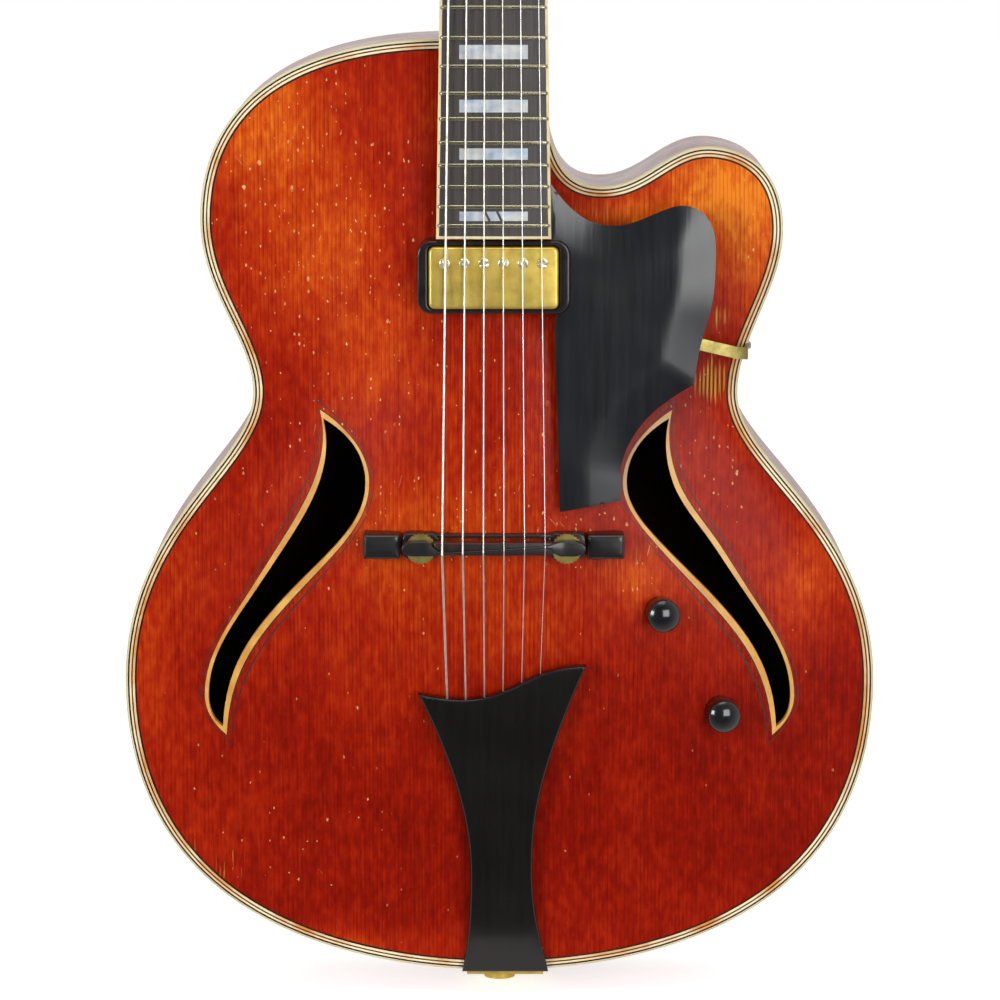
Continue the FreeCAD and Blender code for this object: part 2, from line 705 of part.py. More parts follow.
def f_hole_wire(grow=0.0):
    """Outline of the bass sound hole, or a like outline that is larger all round."""
    stretch = F_HOLE_TIP_STRETCH * grow
    top = (-F_HOLE_TOP_X - F_HOLE_TIP_SPREAD * grow, SADDLE_LINE_Y + F_HOLE_TOP_Y + stretch)
    inner = (-F_HOLE_INNER_X + grow, SADDLE_LINE_Y + F_HOLE_INNER_Y)
    outer = (-F_HOLE_OUTER_X - grow, SADDLE_LINE_Y + F_HOLE_OUTER_Y)
    foot = (-F_HOLE_FOOT_X + grow, SADDLE_LINE_Y + F_HOLE_FOOT_Y - stretch)
    return closed(
        cubic_edge((top, beside(top, F_HOLE_TOP_INNER_HANDLE),
                    beside(inner, (0, F_HOLE_INNER_UP_HANDLE)), inner)),
        cubic_edge((inner, beside(inner, (0, -F_HOLE_INNER_DOWN_HANDLE)),
                    beside(foot, F_HOLE_FOOT_INNER_HANDLE), foot)),
        cubic_edge((foot, beside(foot, F_HOLE_FOOT_OUTER_HANDLE),
                    beside(outer, (0, -F_HOLE_OUTER_DOWN_HANDLE)), outer)),
        cubic_edge((outer, beside(outer, (0, F_HOLE_OUTER_UP_HANDLE)),
                    beside(top, F_HOLE_TOP_OUTER_HANDLE), top)))


def mirrored(shape):
    """Mirror image of a shape across the centre line of the body."""
    return shape.mirror(ORIGIN, X_AXIS)


# Knob and potentiometer axes, square to the top

def control_place(x, y):
    """Placement on the outside of the top with z square to it."""
    y = SADDLE_LINE_Y + y
    return FreeCAD.Placement(V(x, y, top_z(x, y)), FreeCAD.Rotation(Z_AXIS, top_normal(x, y)))


CONTROL_PLACES = [control_place(VOLUME_X, VOLUME_Y), control_place(TONE_X, TONE_Y)]
PICKUP_Y = BOARD_END_Y - RING_TO_BOARD - RING_LENGTH / 2
PICKUP_TOP_Z = TOP_EDGE_Z + PICKUP_RISE


def pickup_box(grow, low, high, corner=PICKUP_CORNER):
    """Upright block on the pickup's outline, larger all round by a margin."""
    wire = centred_box_wire(NECK_X, PICKUP_Y, PICKUP_WIDTH + 2 * grow, PICKUP_LENGTH + 2 * grow, corner)
    return prism(wire, low, high)


# Body pieces

def soundboard():
    """Carved top with its sound holes, the pickup's hole and the holes of the controls."""
    plate = raised(TOP_INSIDE, PLATE).common(prism(body_wire(BINDING + PURFLING), 0, AIR))
    hole = prism(f_hole_wire(F_HOLE_BINDING), 0, AIR)
    cuts = [hole, mirrored(hole), pickup_box(COVER_GAP, 0, AIR)]
    for place in CONTROL_PLACES:
        cuts.append(placed(rod(POT_BUSHING_RADIUS, -2 * PLATE, PLATE), place))
    return plate.cut(cuts)


def f_hole_bindings():
    """Strips that line the two sound holes through the thickness of the top."""
    ring = prism([f_hole_wire(F_HOLE_BINDING), f_hole_wire()], 0, AIR)
    strip = ring.common(raised(TOP_INSIDE, PLATE))
    return Part.makeCompound([strip, mirrored(strip)])


def back_plate():
    """Carved back."""
    return raised(BACK_OUTSIDE, PLATE).common(prism(body_wire(BINDING), -AIR, 0))


def edge_ring(outer, inner, low, high):
    """Band between two insets of the outline and two heights."""
    return prism([body_wire(outer), body_wire(inner)], low, high)


def tenon():
    """Tongue of the heel that is let into the neck block."""
    x0 = NECK_X - TENON_WIDTH / 2
    y0 = BODY_LENGTH - RIM_WALL - TENON_LENGTH
    return box(x0, y0, HALF_DEPTH - TENON_HEIGHT, x0 + TENON_WIDTH, BODY_LENGTH, HALF_DEPTH - GLUE_LINE)


def jack_hole():
    """Bore through the tail for the output jack."""
    return Part.makeCylinder(JACK_RADIUS, 2 * AIR, V(0, -AIR, 0), Y_AXIS)


def end_graft_space():
    """Space between the ends of the two sides at the tail."""
    half = END_GRAFT_WIDTH / 2
    return box(-half, -AIR, -AIR, half, TAIL_BLOCK_LENGTH, AIR)


def rim_side(direction):
    """One bent side, from the end graft at the tail to the neck."""
    ring = edge_ring(0, RIM_WALL, -HALF_DEPTH, HALF_DEPTH).cut([tenon(), end_graft_space()])
    x0, x1 = (-HALF_BOUT - AIR, 0) if direction < 0 else (0, HALF_BOUT + AIR)
    return ring.common(box(x0, -AIR, -AIR, x1, BODY_LENGTH + AIR, AIR))


def end_graft():
    """Strip let in between the two sides at the tail, bored for the output jack."""
    ring = edge_ring(0, RIM_WALL, -HALF_DEPTH, HALF_DEPTH)
    return ring.common(end_graft_space()).cut(jack_hole())


def neck_block_space():
    """Space behind the heel that the neck block takes."""
    x1 = NECK_SIDE_X - RIM_WALL
    return box(x1 - NECK_BLOCK_WIDTH, BODY_LENGTH - RIM_WALL - NECK_BLOCK_LENGTH, -HALF_DEPTH,
               x1, BODY_LENGTH - RIM_WALL, HALF_DEPTH - GLUE_LINE)


def tail_block_space():
    """Space inside the tail that the tail block takes."""
    return box(-TAIL_BLOCK_WIDTH / 2, 0, -HALF_DEPTH, TAIL_BLOCK_WIDTH / 2, RIM_WALL + TAIL_BLOCK_LENGTH,
               HALF_DEPTH - GLUE_LINE)


def linings():
    """Strips inside the rim that the plates are glued to, between the two blocks, as solids."""
    inner = RIM_WALL + LINING_WIDTH
    blocks = [neck_block_space(), tail_block_space()]
    top = edge_ring(RIM_WALL, inner, HALF_DEPTH - LINING_HEIGHT, HALF_DEPTH - GLUE_LINE).cut(blocks)
    back = edge_ring(RIM_WALL, inner, GLUE_LINE - HALF_DEPTH, LINING_HEIGHT - HALF_DEPTH).cut(blocks)
    return [strip.cut(guard_screws()) for strip in top.Solids + back.Solids]


def inside_rim(shape):
    """Part of a shape that lies inside the rim."""
    return shape.common(prism(body_wire(RIM_WALL), -HALF_DEPTH + GLUE_LINE, AIR))


def tone_bars():
    """Two braces along the inside of the top, faired into it at both ends."""
    bars = []
    for side in (-1, 1):
        x0 = side * TONE_BAR_X - TONE_BAR_WIDTH / 2
        bar = box(x0, TONE_BAR_TAIL, HALF_DEPTH + TONE_BAR_DROP, x0 + TONE_BAR_WIDTH, TONE_BAR_NECK, AIR)
        bars += bar.common(BELOW_TOP).Solids
    return bars


# Neck and fingerboard, laid out from the nut with y towards the head and z square to the board

def in_neck(shape):
    """Copy of a shape of the neck's own layout, in its place on the body."""
    return placed(shape, NECK_PLACE)


def board_half_width(t):
    """Half the width of the board at a distance from the nut."""
    return (BOARD_WIDTH_NUT + (BOARD_WIDTH_END - BOARD_WIDTH_NUT) * t / BOARD_LENGTH) / 2


def board_plan(start, end, inset):
    """Tapered outline of the board between two distances from the nut, narrower by an inset."""
    a = board_half_width(start) - inset
    b = board_half_width(end) - inset
    return polygon((-a, -start), (-b, -end), (b, -end), (a, -start))


def board_crown(radius):
    """Long round bar whose upper side is the crown of the board."""
    length = BOARD_LENGTH + 2 * AIR
    return Part.makeCylinder(radius, length, V(0, AIR - length, -BOARD_RADIUS), Y_AXIS)


def across_board(points, half_span):
    """Solid turned across the board from an outline in y and z, to a half span each way."""
    turn = math.degrees(math.asin(half_span / BOARD_RADIUS))
    face = Part.Face(Part.makePolygon([V(0, y, z) for y, z in points + points[:1]]))
    axis_point = V(0, 0, -BOARD_RADIUS)
    face.rotate(axis_point, Y_AXIS, -turn)
    return face.revolve(axis_point, Y_AXIS, 2 * turn)


def tang(fret):
    """Tang of a fret, which fills its slot."""
    y = -fret_distance(fret)
    half = FRET_TANG_WIDTH / 2
    span = board_half_width(-y) - BOARD_BINDING
    low = -FRET_TANG_DEPTH
    return across_board([(y - half, 0), (y + half, 0), (y + half, low), (y - half, low)], span)


def fret_wire(fret):
    """One fret: a low rounded crown on a tang."""
    y = -fret_distance(fret)
    half = FRET_WIDTH / 2
    flat = FRET_CROWN_SHARE * half
    shoulder = FRET_SHOULDER_SHARE * FRET_HEIGHT
    crown = [(y - half, 0), (y + half, 0), (y + half, shoulder), (y + flat, FRET_HEIGHT),
             (y - flat, FRET_HEIGHT), (y - half, shoulder)]
    return joined(across_board(crown, board_half_width(-y) - FRET_END_INSET), tang(fret))


def inlay(fret):
    """Block inlay in the space before a fret."""
    near = fret_distance(fret - 1)
    far = fret_distance(fret)
    half = INLAY_SHARE * (far - near) / 2
    middle = -(near + far) / 2
    return across_board([(middle - half, 0), (middle + half, 0), (middle + half, -INLAY_DEPTH),
                         (middle - half, -INLAY_DEPTH)], INLAY_WIDTH / 2)


def board_solid(start, end, inset):
    """Crowned board between two distances from the nut."""
    blank = prism(board_plan(start, end, inset), -BOARD_THICKNESS, BOARD_THICKNESS)
    return blank.common(board_crown(BOARD_RADIUS))


def fingerboard():
    """Board with its fret slots and inlay pockets."""
    board = board_solid(0, BOARD_LENGTH - BOARD_BINDING, BOARD_BINDING)
    return board.cut([tang(n) for n in range(1, FRET_COUNT + 1)] + [inlay(n) for n in INLAY_FRETS])


def fingerboard_binding():
    """Strip round both sides and the end of the board."""
    core = prism(board_plan(-AIR, BOARD_LENGTH - BOARD_BINDING, BOARD_BINDING), -AIR, AIR)
    return board_solid(0, BOARD_LENGTH, 0).cut(core)


def d_section(t, depth):
    """Half-round section of the neck below the board at a distance from the nut."""
    half = board_half_width(t)
    low = -BOARD_THICKNESS
    flat = Part.makeLine(V(-half, -t, low), V(half, -t, low))
    round_back = Part.Arc(V(half, -t, low), V(0, -t, low - depth), V(-half, -t, low)).toShape()
    return Part.Wire([flat, round_back])


def heel_section(share):
    """Half-round section of the heel, from 0 at the cap to 1 under the board."""
    z = BACK_EDGE_Z + share * (JOINT_Z - BOARD_THICKNESS - NECK_DEPTH_HEEL / 2 - BACK_EDGE_Z)
    half = (HEEL_WIDTH_CAP + (HEEL_WIDTH_TOP - HEEL_WIDTH_CAP) * share) / 2
    reach = HEEL_LENGTH_CAP + (HEEL_LENGTH_TOP - HEEL_LENGTH_CAP) * share ** 2
    left = V(NECK_X - half, BODY_LENGTH, z)
    right = V(NECK_X + half, BODY_LENGTH, z)
    tip = V(NECK_X, BODY_LENGTH + reach, z)
    return Part.Wire([Part.makeLine(left, right), Part.Arc(right, tip, left).toShape()])


def head_outline():
    """Outline of the headstock, symmetrical, waisted above the nut and crowned at the top."""
    neck = HEAD_NECK_WIDTH / 2
    ear = HEAD_EAR_WIDTH / 2
    top = HEAD_TOP_WIDTH / 2
    corner = (top, HEAD_TOP_Q)
    right = [
        ((neck, 0), (neck, HEAD_NECK_HANDLE), (ear, HEAD_EAR_Q - HEAD_EAR_HANDLE_NECK), (ear, HEAD_EAR_Q)),
        ((ear, HEAD_EAR_Q), (ear, HEAD_EAR_Q + HEAD_EAR_HANDLE_TOP), beside(corner, (0, -HEAD_TOP_HANDLE)),
         corner),
        (corner, beside(corner, HEAD_CORNER_HANDLE), (HEAD_CROWN_HANDLE, HEAD_LENGTH), (0, HEAD_LENGTH)),
    ]
    left = [tuple((-x, y) for x, y in reversed(poles)) for poles in reversed(right)]
    edges = [cubic_edge(poles) for poles in right + left]
    edges.append(line((-neck, 0), (neck, 0)))
    return closed(*edges)


def tuner_spots():
    """Places of the six posts on the headstock, from the bass string to the treble string."""
    rows = [TUNER_FIRST_Q + TUNER_PITCH * k for k in range(3)]
    return [(-TUNER_X, q) for q in rows] + [(TUNER_X, q) for q in reversed(rows)]


TUNER_SPOTS = tuner_spots()


def tuner_placed(shape, spot):
    """Copy of a treble-side tuner piece at one post, mirrored for the bass side."""
    x, q = spot
    copy = shape.mirror(ORIGIN, X_AXIS) if x < 0 else shape.copy()
    copy.translate(V(x, q, 0))
    return placed(copy, HEAD_PLACE)


def bushing_holes():
    """Bores for the six tuner bushings, through the headstock."""
    return [placed(rod(BUSHING_RADIUS, -AIR, AIR, *spot), HEAD_PLACE) for spot in TUNER_SPOTS]


def truss_cavity():
    """Channel in the neck that the truss rod fills."""
    half = TRUSS_ROD_WIDTH / 2
    low = -BOARD_THICKNESS - TRUSS_ROD_DEPTH
    channel = box(-half, -TRUSS_ROD_LENGTH, low, half, 0, -BOARD_THICKNESS)
    return in_neck(channel)


def truss_nut(clearance):
    """Round adjusting nut at the head end of the truss rod, or the pocket that it turns in."""
    start = V(0, 0, -BOARD_THICKNESS - TRUSS_ROD_DEPTH / 2)
    nut = Part.makeCylinder(TRUSS_NUT_RADIUS + clearance, TRUSS_NUT_LENGTH + clearance, start, Y_AXIS)
    return in_neck(nut)


def truss_access():
    """Opening in the head's face above the truss rod's nut."""
    half = TRUSS_NUT_RADIUS + TRUSS_NUT_CLEARANCE
    opening = box(-half, 0, -TRUSS_ACCESS_DEPTH, half, TRUSS_NUT_LENGTH + NUT_LENGTH, VENEER)
    return placed(opening, HEAD_PLACE)


def cover_screw():
    """Screw at the tip of the truss rod cover."""
    spot = V(0, COVER_LENGTH - COVER_TIP, COVER_THICKNESS)
    return placed(screw(), HEAD_PLACE * FreeCAD.Placement(spot, FreeCAD.Rotation()))


def tuner_screws():
    """One screw in the lug of each tuner's housing, behind the head."""
    turned = screw()
    turned.rotate(ORIGIN, X_AXIS, 180)
    turned.translate(V(0, HOUSING_END + LUG_HALF, -HEAD_BACK - HOUSING_WALL))
    return [tuner_placed(turned, spot) for spot in TUNER_SPOTS]


def neck():
    """Neck in one piece: shaft, heel with its tenon, riser and tongue under the board, and headstock."""
    heel_start = fret_distance(JOINT_FRET) + JOINT_OVERHANG
    shaft = Part.makeLoft([d_section(0, NECK_DEPTH_NUT), d_section(heel_start, NECK_DEPTH_HEEL)], True, True)
    riser_plan = board_plan(heel_start, heel_start + NECK_BLOCK_LENGTH, TONGUE_INSET)
    tongue_end = BOARD_LENGTH - TONGUE_SHORT_OF_END
    tongue = prism(board_plan(heel_start, tongue_end, TONGUE_INSET), -BOARD_THICKNESS - TONGUE_DEPTH,
                   -BOARD_THICKNESS)
    riser = in_neck(prism(riser_plan, -AIR, -BOARD_THICKNESS)).common(ABOVE_TOP)
    inside_edge = box(-HALF_BOUT, 0, BACK_EDGE_Z, HALF_BOUT, BODY_LENGTH, TOP_EDGE_Z)
    heel = Part.makeLoft([heel_section(k / HEEL_STEPS) for k in range(HEEL_STEPS + 1)], True)
    head = prism(head_outline(), -HEAD_BACK, -VENEER)
    half = BOARD_WIDTH_NUT / 2
    nut_seat = box(-half, -NUT_SEAT_MARGIN, -BOARD_THICKNESS - NUT_SEAT_DEPTH,
                   half, NUT_LENGTH + NUT_SEAT_MARGIN, -BOARD_THICKNESS)
    wood = joined(in_neck(shaft).cut(inside_edge), riser, in_neck(tongue), heel, tenon(),
                  in_neck(nut_seat), placed(head, HEAD_PLACE))
    above_veneer = placed(box(-AIR, 0, -VENEER, AIR, HEAD_LENGTH + AIR, AIR), HEAD_PLACE)
    cuts = [above_veneer, truss_cavity(), truss_nut(TRUSS_NUT_CLEARANCE), truss_access(), nut_block(),
            cover_screw()]
    return wood.cut(cuts + bushing_holes() + tuner_screws())


def nut_block():
    """Nut before its slots are cut, crowned like the board."""
    half = BOARD_WIDTH_NUT / 2
    block = box(-half, 0, -BOARD_THICKNESS, half, NUT_LENGTH, BOARD_THICKNESS)
    return in_neck(block.common(board_crown(BOARD_RADIUS + NUT_STRING_HEIGHT)))


def headstock_veneer():
    """Thin dark face of the headstock."""
    sheet = placed(prism(head_outline(), -VENEER, 0), HEAD_PLACE)
    return sheet.cut(bushing_holes() + [truss_access(), nut_block(), cover_screw()])


def truss_rod():
    """Square rod in the neck with its round nut."""
    return joined(truss_cavity(), truss_nut(0))


def truss_rod_cover():
    """Plate over the truss rod's nut, narrowing towards the top of the head."""
    half = COVER_WIDTH / 2
    tip = (COVER_TIP, COVER_LENGTH)
    right = ((half, 0), (half, COVER_WIDE_HANDLE), beside(tip, (0, -COVER_TIP_HANDLE)), tip)
    left = tuple((-x, y) for x, y in reversed(right))
    edges = [cubic_edge(right), line(right[3], left[0]), cubic_edge(left), line(left[3], right[0])]
    plate = placed(prism(closed(*edges), 0, COVER_THICKNESS), HEAD_PLACE)
    return plate.cut(cover_screw())


# Strings

def tailpiece_curve(start, start_handle, end_handle, end):
    """Poles of a curve of the tailpiece, in millimetres, from two points and their handles."""
    poles = (start, beside(start, start_handle), beside(end, end_handle), end)
    return tuple((x, share * SADDLE_LINE_Y) for x, share in poles)


def tailpiece_edge():
    """Curve of the tailpiece's string end, from the bass corner to the treble corner."""
    return tailpiece_curve(TAILPIECE_BASS, TAILPIECE_BASS_EDGE_HANDLE,
                           TAILPIECE_TREBLE_EDGE_HANDLE, TAILPIECE_TREBLE)


def tailpiece_top(y):
    """Height of the upper face of the tailpiece."""
    share = y / TAILPIECE_LENGTH
    return TOP_EDGE_Z + TAILPIECE_TAIL_RISE + (TAILPIECE_STRING_RISE - TAILPIECE_TAIL_RISE) * share


def tailpiece_thickness(y):
    """Thickness of the tailpiece."""
    share = y / TAILPIECE_LENGTH
    return TAILPIECE_TAIL_THICKNESS + (TAILPIECE_STRING_THICKNESS - TAILPIECE_TAIL_THICKNESS) * share


def spread_x(index, spread):
    """Distance of a string from the middle of a row of six."""
    return spread * (index / STRING_STEPS - 0.5)


def saddle_contact(index):
    """Point where the middle of a string crosses the saddle."""
    x = spread_x(index, SADDLE_SPREAD)
    share = index / STRING_STEPS
    y = SADDLE_LINE_Y - COMPENSATION_BASS + (COMPENSATION_BASS - COMPENSATION_TREBLE) * share
    return V(NECK_X + x, y, SADDLE_STRING_Z - x * x / (2 * BOARD_RADIUS))


def string_path(index):
    """Corner points of a string: anchor, saddle, nut and the start of its turns on the post."""
    saddle = saddle_contact(index)
    tail_x = NECK_X + spread_x(index, TAILPIECE_SPREAD)
    edge_y = cubic_meets(tailpiece_edge(), 0, tail_x)[1]
    edge = V(tail_x, edge_y, tailpiece_top(edge_y) - tailpiece_thickness(edge_y) * STRING_HOLE_SHARE)
    anchor = edge + (edge - saddle).normalize() * STRING_ANCHOR
    nut_x = spread_x(index, NUT_SPREAD)
    nut = NECK_PLACE.multVec(V(nut_x, NUT_LENGTH / 2, NUT_STRING_HEIGHT - nut_x * nut_x / (2 * BOARD_RADIUS)))
    diameter = STRINGS[index]
    post_x, post_q = TUNER_SPOTS[index]
    side = math.copysign(1, post_x)
    outside = WAIST_RADIUS + diameter + STRING_CLEARANCE
    stop = math.sqrt(outside ** 2 - WAIST_RADIUS ** 2)
    end = V(post_x - side * (WAIST_RADIUS + diameter / 2), post_q - stop,
            WRAP_LOW + diameter * (WRAP_TURNS - 0.5))
    return [anchor, saddle, nut, HEAD_PLACE.multVec(end)]


def string(index, clearance=0.0):
    """One string, or the space round it."""
    return tube(string_path(index), STRINGS[index] / 2 + clearance, STRING_BEND)


def string_spaces(clearance):
    """Spaces round all the strings, as grooves and holes for them."""
    return [string(i, clearance) for i in range(len(STRINGS))]


def saddle_slots():
    """Spaces above the strings at the saddle."""
    slots = []
    for i, diameter in enumerate(STRINGS):
        anchor, saddle, nut_end = string_path(i)[:3]
        tail = saddle + (anchor - saddle).normalize() * CREST_WIDTH
        head = saddle + (nut_end - saddle).normalize() * CREST_WIDTH
        half = diameter / 2 + SADDLE_SLOT_CLEARANCE
        high = 2 * AIR
        sides = [(tail.y, tail.z), (saddle.y, saddle.z), (head.y, head.z), (head.y, high), (tail.y, high)]
        slots.append(side_profile(sides, saddle.x - half, saddle.x + half))
    return slots


def nut():
    """Slotted nut at the head end of the board."""
    return nut_block().cut(string_spaces(NUT_SLOT_CLEARANCE))


# Tuners, laid out at one treble-side post with x outwards, y up the head and z out of its face

def tuner_housing():
    """Closed case behind the head that carries the key's shaft and covers the worm and the wheel."""
    wheel_space = WHEEL_PITCH_RADIUS + WORM_TIP - WORM_PITCH_RADIUS + 2 * TOOTH_GAP
    low = -HEAD_BACK - HOUSING_DEPTH
    start = -wheel_space - HOUSING_WALL
    plan = rounded_box_wire(-HOUSING_X, start, HOUSING_X, HOUSING_END, 2 * HOUSING_WALL)
    outer = prism(plan, low, -HEAD_BACK)
    lug = box(-LUG_HALF, 0, -HEAD_BACK - HOUSING_WALL, LUG_HALF, HOUSING_END + 2 * LUG_HALF, -HEAD_BACK)
    space = HOUSING_X - HOUSING_WALL
    cavity = box(-space, -wheel_space, low + HOUSING_WALL, space, HOUSING_END - HOUSING_WALL, -HEAD_BACK)
    bore_start = V(-HOUSING_X, WORM_DISTANCE, WHEEL_MIDDLE)
    bore = Part.makeCylinder(WORM_ROOT + RUNNING, 2 * AIR, bore_start, X_AXIS)
    return joined(outer, lug).cut([cavity, bore])


def tuner_bushing():
    """Flanged bush in the head that the post turns in."""
    bush = joined(rod(BUSHING_RADIUS, -BUSHING_LENGTH, 0), rod(BUSHING_FLANGE_RADIUS, 0, BUSHING_FLANGE))
    return bush.cut(rod(POST_RADIUS + RUNNING, -AIR, AIR))


def worm_thread():
    """Helical thread of the key's worm about z, starting at z = 0."""
    inner = WORM_ROOT - TOOTH_SEAT / 2
    helix = Part.makeHelix(WORM_LEAD, WORM_LENGTH, WORM_PITCH_RADIUS)
    section = Part.makePolygon([V(inner, 0, -THREAD_HALF_ROOT), V(WORM_TIP, 0, -THREAD_HALF_TIP),
                                V(WORM_TIP, 0, THREAD_HALF_TIP), V(inner, 0, THREAD_HALF_ROOT),
                                V(inner, 0, -THREAD_HALF_ROOT)])
    return Part.Wire(helix).makePipeShell([section], True, True)


def button_solid():
    """Flat finger button, narrow at its stem."""
    start = HOUSING_X + KEY_STEM
    end = start + BUTTON_LENGTH
    wide = BUTTON_WIDTH / 2
    slim = BUTTON_NECK_WIDTH / 2
    low = -BUTTON_THICKNESS / 2
    corner = (end - BUTTON_TIP_RUN, BUTTON_TIP_WIDTH / 2)
    upper = ((start, slim), (start + BUTTON_STEM_RUN, wide), (end - BUTTON_SHOULDER_RUN, wide), corner)
    lower = tuple((x, -y) for x, y in reversed(upper))
    tip = (corner, (end, BUTTON_TIP_HANDLE), (end, -BUTTON_TIP_HANDLE), lower[0])
    wire = closed(cubic_edge(upper), cubic_edge(tip), cubic_edge(lower), line((start, -slim), (start, slim)))
    block = prism(wire, low, -low)
    rims = [edge for edge in block.Edges if abs(abs(edge.CenterOfMass.z) + low) < SAME]
    return block.makeChamfer(BUTTON_CHAMFER, rims)


def tuner_key():
    """Worm, shaft and button in one piece, turned so that the thread stands in mesh."""
    worm = worm_thread()
    worm.translate(V(0, 0, -WORM_LENGTH / 2))
    worm.rotate(ORIGIN, Y_AXIS, 90)
    worm.rotate(ORIGIN, X_AXIS, WORM_MESH_TURN)
    stem_end = HOUSING_X + KEY_STEM + BUTTON_STEM_RUN
    shaft = Part.makeCylinder(WORM_ROOT, stem_end - KEY_INNER_END, V(KEY_INNER_END, 0, 0), X_AXIS)
    key = shaft.fuse(worm).fuse(button_solid())
    key.translate(V(0, WORM_DISTANCE, WHEEL_MIDDLE))
    return key


def worm_wheel():
    """Toothed wheel at the foot of a post."""
    low = WHEEL_MIDDLE - WHEEL_THICKNESS / 2
    tip = WORM_DISTANCE - WORM_ROOT - TOOTH_GAP
    root = WORM_DISTANCE - WORM_TIP - TOOTH_GAP
    seat = root - TOOTH_SEAT
    tooth = prism(polygon((seat, -TOOTH_HALF_ROOT), (tip, -TOOTH_HALF_TIP), (tip, TOOTH_HALF_TIP),
                          (seat, TOOTH_HALF_ROOT)), low, low + WHEEL_THICKNESS)
    teeth = []
    for k in range(WHEEL_TEETH):
        copy = tooth.copy()
        copy.rotate(ORIGIN, Z_AXIS, 90 + 360 * k / WHEEL_TEETH)
        teeth.append(copy)
    return rod(root, low, low + WHEEL_THICKNESS).multiFuse(teeth)


def tuner_post(diameter):
    """Post with its wheel, its waist and string hole, and the sleeve that the string's turns fill."""
    foot = -HEAD_BACK - HOUSING_DEPTH + HOUSING_WALL + STRING_CLEARANCE
    post = joined(rod(POST_RADIUS, foot, WAIST_LOW), rod(WAIST_RADIUS, WAIST_LOW, WAIST_HIGH),
                  rod(POST_RADIUS, WAIST_HIGH, POST_HEIGHT))
    post = post.fuse(worm_wheel())
    hole_z = WRAP_LOW + diameter * WRAP_TURNS / 2
    hole = Part.makeCylinder(POST_HOLE_RADIUS, 4 * POST_RADIUS, V(-2 * POST_RADIUS, 0, hole_z), X_AXIS)
    high = WRAP_LOW + diameter * WRAP_TURNS
    turns = rod(WAIST_RADIUS + diameter, WRAP_LOW, high).cut(rod(WAIST_RADIUS, WRAP_LOW, high))
    return Part.makeCompound([post.cut(hole), turns])


# Bridge

CROWN_Z = top_z(NECK_X, BRIDGE_Y)
BASE_TOP_Z = CROWN_Z + BASE_HEIGHT
WHEEL_LOW_Z = BASE_TOP_Z + WHEEL_GAP
SADDLE_LOW_Z = WHEEL_LOW_Z + THUMBWHEEL + SADDLE_GAP
BRIDGE_POST_XS = [NECK_X - BRIDGE_POST_SPREAD / 2, NECK_X + BRIDGE_POST_SPREAD / 2]


def bar_with_lobes(length, width, corner, lobe, low, high):
    """Upright bar across the body at the bridge, with a round lobe at each post."""
    bar = prism(centred_box_wire(NECK_X, BRIDGE_Y, length, width, corner), low, high)
    return joined(bar, *[rod(lobe, low, high, x, BRIDGE_Y) for x in BRIDGE_POST_XS])


def bridge_posts():
    """Two threaded posts that stand in the base."""
    high = SADDLE_LOW_Z + SADDLE_SLAB - SADDLE_ROOF - BRIDGE_POST_SHORT
    low = BASE_TOP_Z - BRIDGE_POST_SEAT
    return [rod(BRIDGE_POST_RADIUS, low, high, x, BRIDGE_Y) for x in BRIDGE_POST_XS]


def bridge_base():
    """Foot of the bridge, carved to the top and crowned towards its ends."""
    bar = bar_with_lobes(BASE_LENGTH, BASE_WIDTH, BASE_CORNER, BASE_LOBE_RADIUS, 0, AIR).common(ABOVE_TOP)
    crown = Part.makeCylinder(BASE_CROWN, 2 * AIR, V(NECK_X, BRIDGE_Y - AIR, BASE_TOP_Z - BASE_CROWN), Y_AXIS)
    return bar.common(crown).cut(bridge_posts())


def thumbwheel(x):
    """Knurled wheel on a post, under the saddle."""
    high = WHEEL_LOW_Z + THUMBWHEEL
    cuts = [rod(BRIDGE_POST_RADIUS + RUNNING, WHEEL_LOW_Z, high, x, BRIDGE_Y)]
    for k in range(THUMBWHEEL_NOTCHES):
        turn = 2 * math.pi * k / THUMBWHEEL_NOTCHES
        cuts.append(rod(THUMBWHEEL_NOTCH_RADIUS, WHEEL_LOW_Z, high, x + THUMBWHEEL_RADIUS * math.cos(turn),
                        BRIDGE_Y + THUMBWHEEL_RADIUS * math.sin(turn)))
    return rod(THUMBWHEEL_RADIUS, WHEEL_LOW_Z, high, x, BRIDGE_Y).cut(cuts)


def bridge_saddle():
    """Saddle with bored lobes over the posts and a slotted crest under the strings."""
    slab_top = SADDLE_LOW_Z + SADDLE_SLAB
    slab = bar_with_lobes(SADDLE_LENGTH, SADDLE_WIDTH, SADDLE_CORNER, SADDLE_LOBE_RADIUS,
                          SADDLE_LOW_Z, slab_top)
    half = CREST_LENGTH / 2
    bass = saddle_contact(0).y
    treble = saddle_contact(STRING_STEPS).y
    ridge = prism(polygon((NECK_X - half, bass - CREST_WIDTH / 2), (NECK_X + half, treble - CREST_WIDTH / 2),
                          (NECK_X + half, treble + CREST_WIDTH / 2), (NECK_X - half, bass + CREST_WIDTH / 2)),
                  SADDLE_LOW_Z, SADDLE_STRING_Z)
    crown_start = V(NECK_X, BRIDGE_Y - AIR, SADDLE_STRING_Z - BOARD_RADIUS)
    crown = Part.makeCylinder(BOARD_RADIUS, 2 * AIR, crown_start, Y_AXIS)
    bores = [rod(SADDLE_BORE, SADDLE_LOW_Z, slab_top - SADDLE_ROOF, x, BRIDGE_Y) for x in BRIDGE_POST_XS]
    bored = joined(slab, ridge.common(crown)).cut(bores)
    return bored.cut(saddle_slots()).cut(string_spaces(STRING_CLEARANCE))


# Tailpiece and output jack

